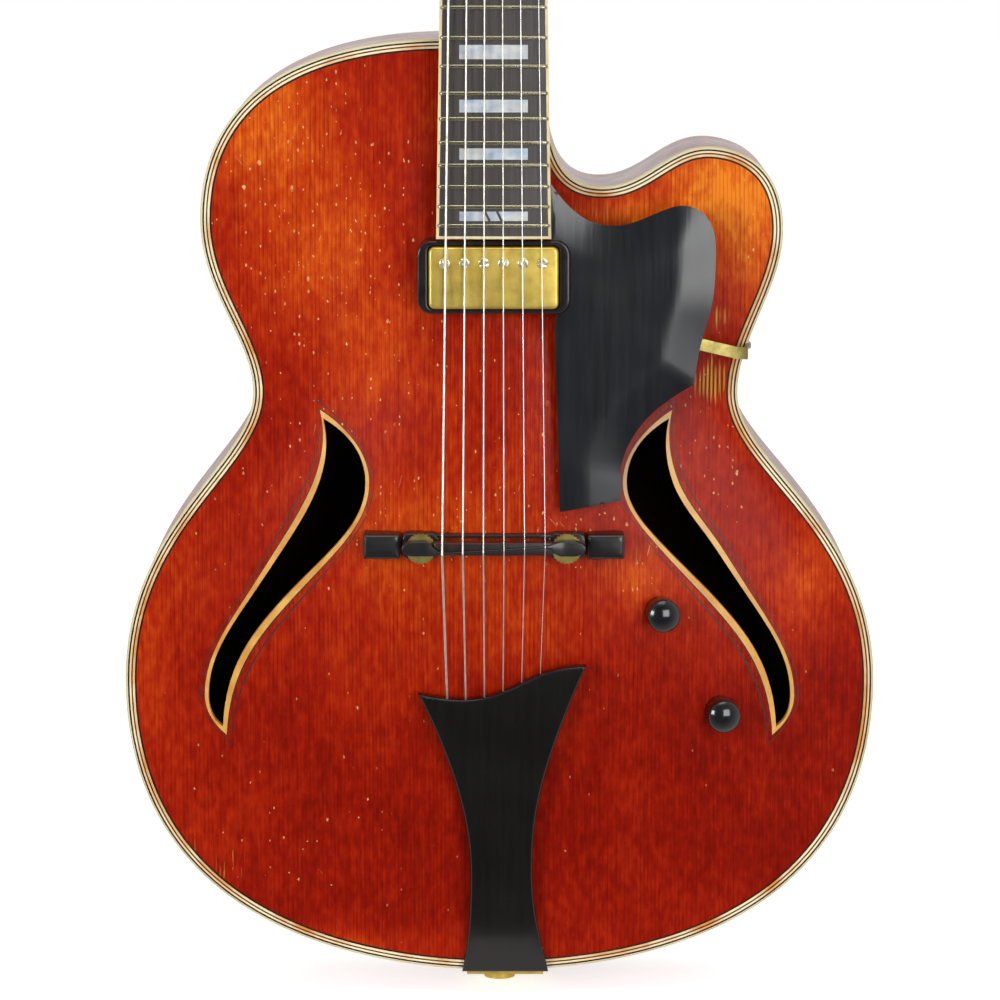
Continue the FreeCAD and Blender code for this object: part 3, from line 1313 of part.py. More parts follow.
def tailpiece_blank():
    """Tailpiece before its string holes are drilled."""
    foot_bass = (TAILPIECE_FOOT_BASS_X, 0)
    foot_treble = (TAILPIECE_FOOT_TREBLE_X, 0)
    wire = closed(
        cubic_edge(tailpiece_edge()),
        cubic_edge(tailpiece_curve(TAILPIECE_TREBLE, TAILPIECE_TREBLE_SIDE_HANDLE,
                                   TAILPIECE_WAIST_TREBLE_HANDLE, TAILPIECE_WAIST_TREBLE)),
        cubic_edge(tailpiece_curve(TAILPIECE_WAIST_TREBLE, TAILPIECE_WAIST_FOOT_HANDLE,
                                   TAILPIECE_FOOT_TREBLE_HANDLE, foot_treble)),
        line(foot_treble, foot_bass),
        cubic_edge(tailpiece_curve(foot_bass, TAILPIECE_FOOT_BASS_HANDLE,
                                   TAILPIECE_WAIST_FOOT_HANDLE, TAILPIECE_WAIST_BASS)),
        cubic_edge(tailpiece_curve(TAILPIECE_WAIST_BASS, TAILPIECE_WAIST_BASS_HANDLE,
                                   TAILPIECE_BASS_SIDE_HANDLE, TAILPIECE_BASS)))
    far = TAILPIECE_LENGTH + AIR
    slab = side_profile([(-AIR, tailpiece_top(-AIR)), (far, tailpiece_top(far)),
                         (far, tailpiece_top(far) - tailpiece_thickness(far)),
                         (0, tailpiece_top(0) - tailpiece_thickness(0)),
                         (-AIR, tailpiece_top(-AIR) - tailpiece_thickness(0))], -AIR, AIR)
    return prism(wire, 0, 2 * AIR).common(slab)


def tailpiece():
    """Ebony tailpiece with a hole for each string in its end."""
    return tailpiece_blank().cut(string_spaces(STRING_CLEARANCE))


def tailpiece_bracket():
    """Brass angle under the tailpiece that is bent down over the tail and held by the jack."""
    x0 = TAILPIECE_FOOT_BASS_X + BRACKET_INSET
    x1 = TAILPIECE_FOOT_TREBLE_X - BRACKET_INSET
    floor = tailpiece_top(0) - tailpiece_thickness(0)
    rise = tailpiece_top(BRACKET_REACH) - tailpiece_thickness(BRACKET_REACH)
    low = TOP_EDGE_Z - BRACKET_DROP
    angle = side_profile([(-BRACKET, low), (BRACKET_REACH, low), (BRACKET_REACH, rise), (0, floor),
                          (-BRACKET, floor)], x0, x1)
    body = prism(body_wire(), BACK_EDGE_Z, TOP_EDGE_Z)
    return angle.cut([body, jack_hole()])


def output_jack():
    """End-pin jack: a sleeve through the tail with a strap button on its outer end."""
    sleeve = Part.makeCylinder(JACK_RADIUS, JACK_INSIDE + JACK_OUTSIDE, V(0, -JACK_OUTSIDE, 0), Y_AXIS)
    head = Part.makeCylinder(JACK_HEAD_RADIUS, JACK_HEAD, V(0, -JACK_OUTSIDE, 0), Y_AXIS)
    collar = Part.makeCylinder(JACK_HEAD_RADIUS, JACK_HEAD / 2, V(0, -BRACKET - JACK_HEAD / 2, 0), Y_AXIS)
    bore = Part.makeCylinder(JACK_BORE, JACK_BORE_LENGTH, V(0, -JACK_OUTSIDE, 0), Y_AXIS)
    return joined(sleeve, head, collar).cut(bore)


# Pickup

def pickup_ring():
    """Raised frame round the pickup, fitted to the top."""
    wire = centred_box_wire(NECK_X, PICKUP_Y, RING_WIDTH, RING_LENGTH, RING_CORNER)
    frame = prism(wire, 0, TOP_EDGE_Z + RING_HEIGHT).common(ABOVE_TOP)
    return frame.cut(pickup_box(COVER_GAP, 0, AIR))


def pole_places():
    """Places of the six pole screws in plan."""
    y = PICKUP_Y + POLE_OFFSET
    return [(NECK_X + spread_x(i, POLE_PITCH * STRING_STEPS), y) for i in range(len(STRINGS))]


def pickup_cover():
    """Drawn metal cover with six holes along its neck side."""
    low = PICKUP_TOP_Z - PICKUP_HEIGHT
    shell = pickup_box(0, low, PICKUP_TOP_Z)
    rims = [edge for edge in shell.Edges if abs(edge.CenterOfMass.z - PICKUP_TOP_Z) < SAME]
    shell = shell.makeFillet(PICKUP_EDGE, rims)
    holes = [rod(POLE_SHANK_RADIUS, low, PICKUP_TOP_Z + 1, x, y) for x, y in pole_places()]
    return shell.cut([pickup_box(-PICKUP_WALL, low - 1, PICKUP_TOP_Z - PICKUP_WALL, PICKUP_EDGE)] + holes)


def pickup_inside(z0, z1, y0, y1):
    """Block inside the cover between two heights and two distances from its middle."""
    half = PICKUP_WIDTH / 2 - 2 * PICKUP_WALL
    return box(NECK_X - half, PICKUP_Y + y0, z0, NECK_X + half, PICKUP_Y + y1, z1)


BOBBIN_TOP_Z = PICKUP_TOP_Z - PICKUP_WALL - GLUE_LINE
MAGNET_TOP_Z = BOBBIN_TOP_Z - BOBBIN_HEIGHT


def pole_screws():
    """Six domed screws with a cross slot, set through the cover into one bobbin."""
    screws = []
    for x, y in pole_places():
        low = MAGNET_TOP_Z + GLUE_LINE
        head = Part.makeSphere(2 * POLE_HEAD_RADIUS, V(x, y, PICKUP_TOP_Z + POLE_HEAD - 2 * POLE_HEAD_RADIUS))
        head = head.common(rod(POLE_HEAD_RADIUS, PICKUP_TOP_Z, PICKUP_TOP_Z + POLE_HEAD, x, y))
        body = joined(head, rod(POLE_SHANK_RADIUS, low, PICKUP_TOP_Z + POLE_HEAD / 4, x, y))
        floor = PICKUP_TOP_Z + POLE_HEAD / 2
        reach = 2 * POLE_HEAD_RADIUS
        half = POLE_SLOT / 2
        slots = [box(x - reach, y - half, floor, x + reach, y + half, floor + reach),
                 box(x - half, y - reach, floor, x + half, y + reach, floor + reach)]
        screws.append(body.cut(slots))
    return screws


def pickup_bobbins():
    """Two wound bobbins side by side under the cover."""
    outer = PICKUP_LENGTH / 2 - 2 * PICKUP_WALL
    holes = [rod(POLE_SHANK_RADIUS, MAGNET_TOP_Z, BOBBIN_TOP_Z, x, y) for x, y in pole_places()]
    screw_bobbin = pickup_inside(MAGNET_TOP_Z, BOBBIN_TOP_Z, BOBBIN_GAP / 2, outer).cut(holes)
    slug_bobbin = pickup_inside(MAGNET_TOP_Z, BOBBIN_TOP_Z, -outer, -BOBBIN_GAP / 2)
    return Part.makeCompound([screw_bobbin, slug_bobbin])


def pickup_magnet():
    """Bar magnet below the two bobbins."""
    return pickup_inside(MAGNET_TOP_Z - MAGNET_HEIGHT, MAGNET_TOP_Z, -MAGNET_WIDTH, MAGNET_WIDTH)


def pickup_base_plate():
    """Plate that closes the cover from below."""
    low = PICKUP_TOP_Z - PICKUP_HEIGHT
    return pickup_box(-PICKUP_WALL, low, MAGNET_TOP_Z - MAGNET_HEIGHT, PICKUP_EDGE)


# Controls

def knob():
    """Domed knob on z = 0 with a bore for its shaft and a pocket over the nut."""
    low = KNOB_CLEARANCE
    high = low + KNOB_HEIGHT
    ball = (KNOB_RADIUS ** 2 + KNOB_DOME ** 2) / (2 * KNOB_DOME)
    body = rod(KNOB_RADIUS, low, high).common(Part.makeSphere(ball, V(0, 0, high - ball)))
    pocket = rod(KNOB_POCKET_RADIUS, 0, low + KNOB_POCKET_DEPTH)
    return body.cut([rod(SHAFT_RADIUS, 0, KNOB_BORE_HEIGHT), pocket])


POT_TOP = -PLATE - POT_CLEARANCE


def shaft():
    """Shaft from inside the potentiometer into the knob."""
    return rod(SHAFT_RADIUS, POT_TOP - POT_SHAFT_DEPTH + GLUE_LINE, KNOB_BORE_HEIGHT)


def potentiometer():
    """Round case under the top with a threaded bush up through it."""
    case = rod(POT_RADIUS, POT_TOP - POT_HEIGHT, POT_TOP)
    bush = rod(POT_BUSHING_RADIUS, POT_TOP, POT_BUSHING_RISE)
    return joined(case, bush).cut(rod(SHAFT_RADIUS + RUNNING, POT_TOP - POT_SHAFT_DEPTH, AIR))


def pot_nut():
    """Six-sided nut on the bush, on the outside of the top."""
    corners = [(POT_NUT_RADIUS * math.cos(math.pi * k / 3), POT_NUT_RADIUS * math.sin(math.pi * k / 3))
               for k in range(6)]
    block = prism(polygon(*corners), POT_CLEARANCE, POT_CLEARANCE + POT_NUT)
    return block.cut(rod(POT_BUSHING_RADIUS, 0, AIR))


def wiring():
    """Leads from the pickup to the volume control, on to the tone control and to the jack."""
    volume, tone = [place.multVec(V(0, 0, POT_TOP - POT_HEIGHT)) for place in CONTROL_PLACES]
    pickup = V(NECK_X + WIRE_PICKUP_X, PICKUP_Y, PICKUP_TOP_Z - PICKUP_HEIGHT)
    jack = V(0, JACK_INSIDE, 0)
    first = [pickup, pickup + WIRE_DROP, WIRE_BY_BAR, WIRE_BY_BRIDGE, volume - WIRE_TAB + WIRE_DROP,
             volume - WIRE_TAB]
    second = [volume + WIRE_TAB, volume + WIRE_TAB + WIRE_DROP, tone + WIRE_TAB + WIRE_DROP, tone + WIRE_TAB]
    third = [tone - WIRE_TAB, tone - WIRE_TAB + WIRE_DROP, WIRE_BY_RIM, WIRE_BY_JACK, jack + WIRE_JACK_LEAD,
             jack]
    cases = [placed(potentiometer(), place) for place in CONTROL_PLACES]
    leads = [tube(route, WIRE_RADIUS).cut(cases).Solids[0] for route in (first, second, third)]
    return Part.makeCompound(leads)


# Guard

GUARD_LOW_Z = TOP_EDGE_Z + GUARD_RISE
GUARD_HIGH_Z = GUARD_LOW_Z + GUARD_THICKNESS


def pickguard():
    """Guard beside the strings, notched round the pickup's ring and set against the board's side."""
    end = (0, BOARD_END_Y)
    to_saddle = BOARD_END_Y - SADDLE_LINE_Y
    edge, valley, crest, right, ring_side = [
        beside(end, point) for point in (GUARD_NECK, GUARD_VALLEY, GUARD_CREST, GUARD_RIGHT, GUARD_RING_SIDE)]
    corner, inner, foot_right, foot_left = [
        beside(end, (x, share * to_saddle))
        for x, share in (GUARD_CORNER, GUARD_INNER, GUARD_FOOT_RIGHT, GUARD_FOOT_LEFT)]
    neck_end = (NECK_X, edge[1])
    neck_ring = (NECK_X, ring_side[1])
    wire = closed(
        line(neck_end, edge),
        cubic_edge((edge, beside(edge, GUARD_NECK_HANDLE),
                    beside(valley, (-GUARD_VALLEY_IN_HANDLE, 0)), valley)),
        cubic_edge((valley, beside(valley, (GUARD_VALLEY_OUT_HANDLE, 0)),
                    beside(crest, (-GUARD_CREST_IN_HANDLE, 0)), crest)),
        cubic_edge((crest, beside(crest, (GUARD_CREST_OUT_HANDLE, 0)),
                    beside(right, (0, GUARD_RIGHT_UP_HANDLE)), right)),
        cubic_edge((right, beside(right, (0, -GUARD_RIGHT_DOWN_HANDLE)),
                    beside(corner, GUARD_CORNER_UP_HANDLE), corner)),
        cubic_edge((corner, beside(corner, GUARD_CORNER_IN_HANDLE),
                    beside(inner, (0, GUARD_INNER_HANDLE)), inner)),
        line(inner, foot_right), line(foot_right, foot_left), line(foot_left, ring_side),
        line(ring_side, neck_ring), line(neck_ring, neck_end))
    notch = prism(centred_box_wire(NECK_X, PICKUP_Y, RING_WIDTH + 2 * GUARD_GAP, RING_LENGTH + 2 * GUARD_GAP,
                                   RING_CORNER), 0, AIR)
    board = in_neck(prism(board_plan(0, BOARD_LENGTH + RING_LENGTH / 2, -GUARD_NECK_GAP), -AIR, AIR))
    return prism(wire, GUARD_LOW_Z, GUARD_HIGH_Z).cut([notch, board]).Solids[0].cut(guard_screws())


def guard_bracket_line():
    """Inner corner points, in x and z, of the bracket from under the guard down the side of the rim."""
    y = BOARD_END_Y + GUARD_BRACKET_Y
    poles = TREBLE_CURVES[2] if y > WAIST_Y else TREBLE_CURVES[1]
    rim_x = cubic_meets(poles, 1, y - GUARD_BRACKET_WIDTH / 2)[0]
    rim_x = max(rim_x, cubic_meets(poles, 1, y + GUARD_BRACKET_WIDTH / 2)[0])
    start = GUARD_BRACKET_START_X
    under = GUARD_LOW_Z - GUARD_BRACKET
    return y, [(start, under), (start + GUARD_BRACKET_REACH, under), (rim_x, TOP_EDGE_Z),
               (rim_x, TOP_EDGE_Z - GUARD_BRACKET_DROP)]


def guard_bracket():
    """Brass strip bent from under the guard, over the edge and down the side."""
    y, points = guard_bracket_line()
    (x0, z0), (x1, z1), (x2, z2), (x3, z3) = points
    thick = GUARD_BRACKET
    outer = [(x3 + thick, z3), (x2 + thick, z2 + thick), (x1 + thick / 2, z1 + thick), (x0, z0 + thick)]
    strip = front_profile(points + outer, y - GUARD_BRACKET_WIDTH / 2, y + GUARD_BRACKET_WIDTH / 2)
    return strip.cut(guard_screws())


def guard_screws():
    """Screws of the guard's bracket: one up into the guard and one into the side."""
    y, points = guard_bracket_line()
    up = screw(GUARD_THICKNESS)
    up.rotate(ORIGIN, X_AXIS, 180)
    from_end = SCREW_HEAD_RADIUS + GUARD_SCREW_EDGE
    up.translate(V(points[0][0] + from_end, y, GUARD_LOW_Z - GUARD_BRACKET))
    side = screw(RIM_WALL + GUARD_BRACKET)
    side.rotate(ORIGIN, Y_AXIS, 90)
    side.translate(V(points[3][0] + GUARD_BRACKET, y, points[3][1] + from_end))
    return [up, side]


def fasteners():
    """Nuts of the controls and all the small screws."""
    nuts = [placed(pot_nut(), place) for place in CONTROL_PLACES]
    return Part.makeCompound(nuts + [cover_screw()] + tuner_screws() + guard_screws())


# Nodes of the finished guitar

def build_nodes():
    """Every node of the guitar by its name."""
    nodes = {
        "soundboard": soundboard(),
        "back_plate": back_plate(),
        "rim_bass": rim_side(-1),
        "rim_treble": rim_side(1).cut(guard_screws()),
        "end_graft": end_graft(),
        "linings_and_bars": Part.makeCompound(linings() + tone_bars()),
        "neck_block": inside_rim(neck_block_space()).cut(tenon()),
        "tail_block": inside_rim(tail_block_space()).cut(jack_hole()),
        "top_binding": edge_ring(0, BINDING, HALF_DEPTH, TOP_EDGE_Z),
        "top_purfling": edge_ring(BINDING, BINDING + PURFLING, HALF_DEPTH, TOP_EDGE_Z),
        "back_binding": edge_ring(0, BINDING, BACK_EDGE_Z, -HALF_DEPTH),
        "f_hole_bindings": f_hole_bindings(),
        "neck": neck(),
        "headstock_veneer": headstock_veneer(),
        "fingerboard": in_neck(fingerboard()),
        "fingerboard_binding": in_neck(fingerboard_binding()),
        "frets": in_neck(Part.makeCompound([fret_wire(n) for n in range(1, FRET_COUNT + 1)])),
        "position_inlays": in_neck(Part.makeCompound([inlay(n) for n in INLAY_FRETS])),
        "nut": nut(),
        "truss_rod": truss_rod(),
        "truss_rod_cover": truss_rod_cover(),
        "wound_strings": Part.makeCompound([string(i) for i in range(len(WOUND_STRINGS))]),
        "plain_strings": Part.makeCompound([string(i) for i in range(len(WOUND_STRINGS), len(STRINGS))]),
        "bridge_base": bridge_base(),
        "bridge_posts": Part.makeCompound(bridge_posts()),
        "bridge_saddle": bridge_saddle(),
        "thumbwheel_bass": thumbwheel(BRIDGE_POST_XS[0]),
        "thumbwheel_treble": thumbwheel(BRIDGE_POST_XS[1]),
        "tailpiece": tailpiece(),
        "tailpiece_bracket": tailpiece_bracket(),
        "output_jack": output_jack(),
        "pickup_ring": pickup_ring(),
        "pickup_cover": pickup_cover(),
        "pickup_bobbins": pickup_bobbins(),
        "pickup_magnet": pickup_magnet(),
        "pickup_base_plate": pickup_base_plate(),
        "pole_screws": Part.makeCompound(pole_screws()),
        "potentiometers": Part.makeCompound([placed(potentiometer(), place) for place in CONTROL_PLACES]),
        "volume_shaft": placed(shaft(), CONTROL_PLACES[0]),
        "volume_knob": placed(knob(), CONTROL_PLACES[0]),
        "tone_shaft": placed(shaft(), CONTROL_PLACES[1]),
        "tone_knob": placed(knob(), CONTROL_PLACES[1]),
        "wiring": wiring(),
        "pickguard": pickguard(),
        "guard_bracket": guard_bracket(),
        "fasteners": fasteners(),
    }
    housing = tuner_housing()
    screws = tuner_screws()
    housings = [tuner_placed(housing, spot).cut(screws) for spot in TUNER_SPOTS]
    nodes["tuner_housings"] = Part.makeCompound(housings)
    bushing = tuner_bushing()
    nodes["tuner_bushings"] = Part.makeCompound([tuner_placed(bushing, spot) for spot in TUNER_SPOTS])
    key = tuner_key()
    for i, spot in enumerate(TUNER_SPOTS):
        number = len(STRINGS) - i
        nodes[f"tuner_key_{number}"] = tuner_placed(key, spot)
        nodes[f"tuner_post_{number}"] = tuner_placed(tuner_post(STRINGS[i]), spot)
    return nodes


def stand_up(shape):
    """Copy of a shape with the guitar stood on its tail and its top to the front."""
    copy = shape.copy()
    copy.rotate(ORIGIN, X_AXIS, 90)
    return copy


os.makedirs("parts", exist_ok=True)
for name, shape in build_nodes().items():
    upright = stand_up(shape)
    upright.exportStep(f"parts/{name}.step")
    sound = all(solid.isValid() for solid in upright.Solids)
    print(f"{name}: {len(upright.Solids)} solids, {upright.Volume:.0f} mm3, valid {sound}")
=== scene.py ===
"""Looks of the archtop guitar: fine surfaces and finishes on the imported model.

Surfaces are laid out in millimetres on a bench, where x runs to the treble side, y from the tail to the head
and z out of the carved top. to_row turns them into the metres of the frame.
"""

import logging
import math
from dataclasses import dataclass, field
from enum import Enum
from typing import Callable, Optional, Sequence, Union

import bmesh
import bpy
import numpy as np
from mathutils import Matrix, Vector, geometry


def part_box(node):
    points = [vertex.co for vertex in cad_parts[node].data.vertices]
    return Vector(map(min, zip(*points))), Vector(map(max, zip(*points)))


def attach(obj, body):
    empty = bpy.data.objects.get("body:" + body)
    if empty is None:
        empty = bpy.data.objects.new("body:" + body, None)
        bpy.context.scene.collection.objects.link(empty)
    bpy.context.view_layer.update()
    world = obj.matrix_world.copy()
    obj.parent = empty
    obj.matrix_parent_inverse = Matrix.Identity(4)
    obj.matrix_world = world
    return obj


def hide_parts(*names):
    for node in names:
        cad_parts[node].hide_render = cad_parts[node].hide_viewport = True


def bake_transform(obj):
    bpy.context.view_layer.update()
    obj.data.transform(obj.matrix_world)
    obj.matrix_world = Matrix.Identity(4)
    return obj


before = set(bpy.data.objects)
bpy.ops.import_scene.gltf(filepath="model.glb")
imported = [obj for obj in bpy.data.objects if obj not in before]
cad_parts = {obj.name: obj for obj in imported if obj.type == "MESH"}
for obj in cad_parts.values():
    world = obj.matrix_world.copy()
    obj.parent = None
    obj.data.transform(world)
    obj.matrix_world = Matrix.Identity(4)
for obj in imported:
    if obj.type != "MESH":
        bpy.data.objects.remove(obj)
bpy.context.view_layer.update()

Array = np.ndarray
Point = tuple[float, float]
Height = Callable[[Array, Array], Array]
Mark = Callable[[Array, Array, Array], Array]
ROOT = "body_and_neck"
log = logging.getLogger("archtop")


class Side(Enum):
    """Side of the guitar, with the sign of its x."""

    BASS = -1
    TREBLE = 1


# Plane curves

def cubic(poles: Sequence[Point], count: int = 24) -> Array:
    """Points of a cubic with four poles, by its Bernstein weights, without the last one.

    Args:
        poles: the four poles.
        count: how many points.

    Returns:
        Array of points, one to a row.
    """
    t = np.linspace(0, 1, count, endpoint=False)[:, None]
    a, b, c, d = np.array(poles, float)
    s = 1 - t
    return s ** 3 * a + 3 * s * s * t * b + 3 * s * t * t * c + t ** 3 * d


def straight(start: Point, end: Point, count: int = 2) -> Array:
    """Points of a straight run, without the last one."""
    t = np.linspace(0, 1, count, endpoint=False)[:, None]
    return (1 - t) * np.array(start, float) + t * np.array(end, float)


def beside(point: Point, step: Point) -> Point:
    """Point at a step from another one."""
    return point[0] + step[0], point[1] + step[1]


def circle(angle: Array) -> Array:
    """Points of the unit circle: (cos a, sin a)."""
    return np.stack([np.cos(angle), np.sin(angle)], -1)


def full_turn(count: int) -> Array:
    """Angles of a full turn, without the last one."""
    return np.linspace(0, 2 * math.pi, count, endpoint=False)


def unit(vectors: Array) -> Array:
    """Vectors brought to a length of 1."""
    return vectors / np.maximum(np.linalg.norm(vectors, axis=-1, keepdims=True), 1e-9)


def turned_left(loop: Array) -> Array:
    """The loop with its inside on the left of its travel, by the sign of its area.

    Args:
        loop: points of a closed loop.

    Returns:
        The loop or its reverse.
    """
    x, y = loop.T
    area = np.sum(x * np.roll(y, -1) - np.roll(x, -1) * y)
    return loop if area > 0 else loop[::-1]


def away(points: Array, loop: Array) -> Array:
    """Distance of points from a closed loop: the least of their distances from its edges.

    Args:
        points: points of the plane.
        loop: points of the closed loop.

    Returns:
        One distance to a point.
    """
    run = np.roll(loop, -1, 0) - loop
    reach = points[:, None] - loop
    share = np.clip(np.sum(reach * run, 2) / np.maximum(np.sum(run * run, 1), 1e-12), 0, 1)
    return np.min(np.linalg.norm(reach - share[..., None] * run, axis=2), 1)


def inset(loop: Array, step: float) -> Array:
    """Loop moved to the left of its travel, with mitred corners.

    Each point moves along the bisector of its two edges' normals, by the step over the cosine of half the
    turn. A point that comes too near to another part of the loop falls back on the next one that is clear.

    Args:
        loop: points of a closed loop.
        step: distance to the left.

    Returns:
        Moved points, as many as before.
    """
    least_cosine, clear_share = 0.2, 0.99
    run = unit(np.roll(loop, -1, 0) - loop)
    after = np.stack([-run[:, 1], run[:, 0]], 1)
    bisector = unit(after + np.roll(after, 1, 0))
    cosine = np.maximum(np.sum(bisector * after, 1, keepdims=True), least_cosine)
    moved = loop + step * bisector / cosine
    clear = np.flatnonzero(away(moved, loop) >= clear_share * abs(step))
    gap = np.abs(np.arange(len(loop))[:, None] - clear)
    return moved[clear[np.argmin(np.minimum(gap, len(loop) - gap), 1)]]


def rounded_box(x: float, y: float, width: float, length: float, corner: float, steps: int = 8) -> Array:
    """Rectangle with round corners about a centre, counter-clockwise.

    Args:
        x: centre across.
        y: centre along.
        width: size across.
        length: size along.
        corner: radius of the corners.
        steps: steps of each corner and each side.

    Returns:
        Points of the loop.
    """
    arc = corner * circle(np.linspace(0, math.pi / 2, steps + 1))
    half = np.array([width / 2 - corner, length / 2 - corner])
    corners = []
    for signs in ((1, 1), (-1, 1), (-1, -1), (1, -1)):
        corners.append(np.array([x, y]) + half * np.array(signs) + arc)
        arc = np.stack([-arc[:, 1], arc[:, 0]], 1)
    sides = [straight(a[-1], b[0], steps)[1:] for a, b in zip(corners, corners[1:] + corners[:1])]
    return np.concatenate([run for pair in zip(corners, sides) for run in pair])


def smooth(share: Array) -> Array:
    """Smoothstep of a share, held between 0 and 1."""
    share = np.clip(share, 0, 1)
    return share * share * (3 - 2 * share)


def within(points: Array, loops: Sequence[Array]) -> Array:
    """Whether points lie inside loops: a ray up from the point crosses an odd number of edges.

    Args:
        points: points of the plane.
        loops: closed loops, the holes among them.

    Returns:
        One truth value to a point.
    """
    a = np.concatenate(loops)
    b = np.concatenate([np.roll(loop, -1, 0) for loop in loops])
    run = np.where(b[:, 0] == a[:, 0], 1, b[:, 0] - a[:, 0])
    odd = np.zeros(len(points), bool)
    for part in np.array_split(np.arange(len(points)), len(points) // 4000 + 1):
        x, y = points[part, :1], points[part, 1:]
        spans = (a[:, 0] > x) != (b[:, 0] > x)
        at = a[:, 1] + (x - a[:, 0]) * (b[:, 1] - a[:, 1]) / run
        odd[part] = np.sum(spans & (at > y), 1) % 2 == 1
    return odd


def filled(loops: Sequence[Array], inner: Optional[Array] = None) -> tuple[Array, Array]:
    """Delaunay triangles between an outer loop and hole loops.

    Args:
        loops: the outer loop and the loops of any holes.
        inner: further points to use inside.

    Returns:
        The loops' points and then the inner ones, and the corner numbers of the triangles.
    """
    sets = list(loops) if inner is None else [*loops, inner]
    starts = np.cumsum([0] + [len(loop) for loop in loops])
    edges = [start + np.stack([np.arange(len(loop)), np.roll(np.arange(len(loop)), -1)], 1)
             for start, loop in zip(starts, loops)]
    points = np.concatenate(sets)
    plan = [Vector(point) for point in points.tolist()]
    found = geometry.delaunay_2d_cdt(plan, np.concatenate(edges).tolist(), [], 0, 1e-7)
    first = np.array([numbers[0] for numbers in found[3]])
    corners = first[np.array(found[2])]
    return points, corners[within(points[corners].mean(1), loops)]


# Surfaces

def to_row(points: Array) -> Array:
    """Bench millimetres in the frame's metres: (x, y, z) becomes (x, -z, y) / 1000."""
    return np.stack([points[:, 0], -points[:, 2], points[:, 1]], 1) / 1000


def grid_faces(rows: int, columns: int, wrap_rows: bool, wrap_columns: bool) -> Array:
    """Corner numbers of the four-sided faces of a grid of points.

    Args:
        rows: points along the first parameter.
        columns: points along the second one.
        wrap_rows: whether the last row joins the first.
        wrap_columns: whether the last column joins the first.

    Returns:
        Four corner numbers to a row.
    """
    last_row, last_column = rows - (not wrap_rows), columns - (not wrap_columns)
    i, j = np.meshgrid(np.arange(last_row), np.arange(last_column), indexing="ij")
    i, j = i.ravel(), j.ravel()
    here, below = i * columns, (i + 1) % rows * columns
    beyond = (j + 1) % columns
    return np.stack([here + j, here + beyond, below + beyond, below + j], 1)


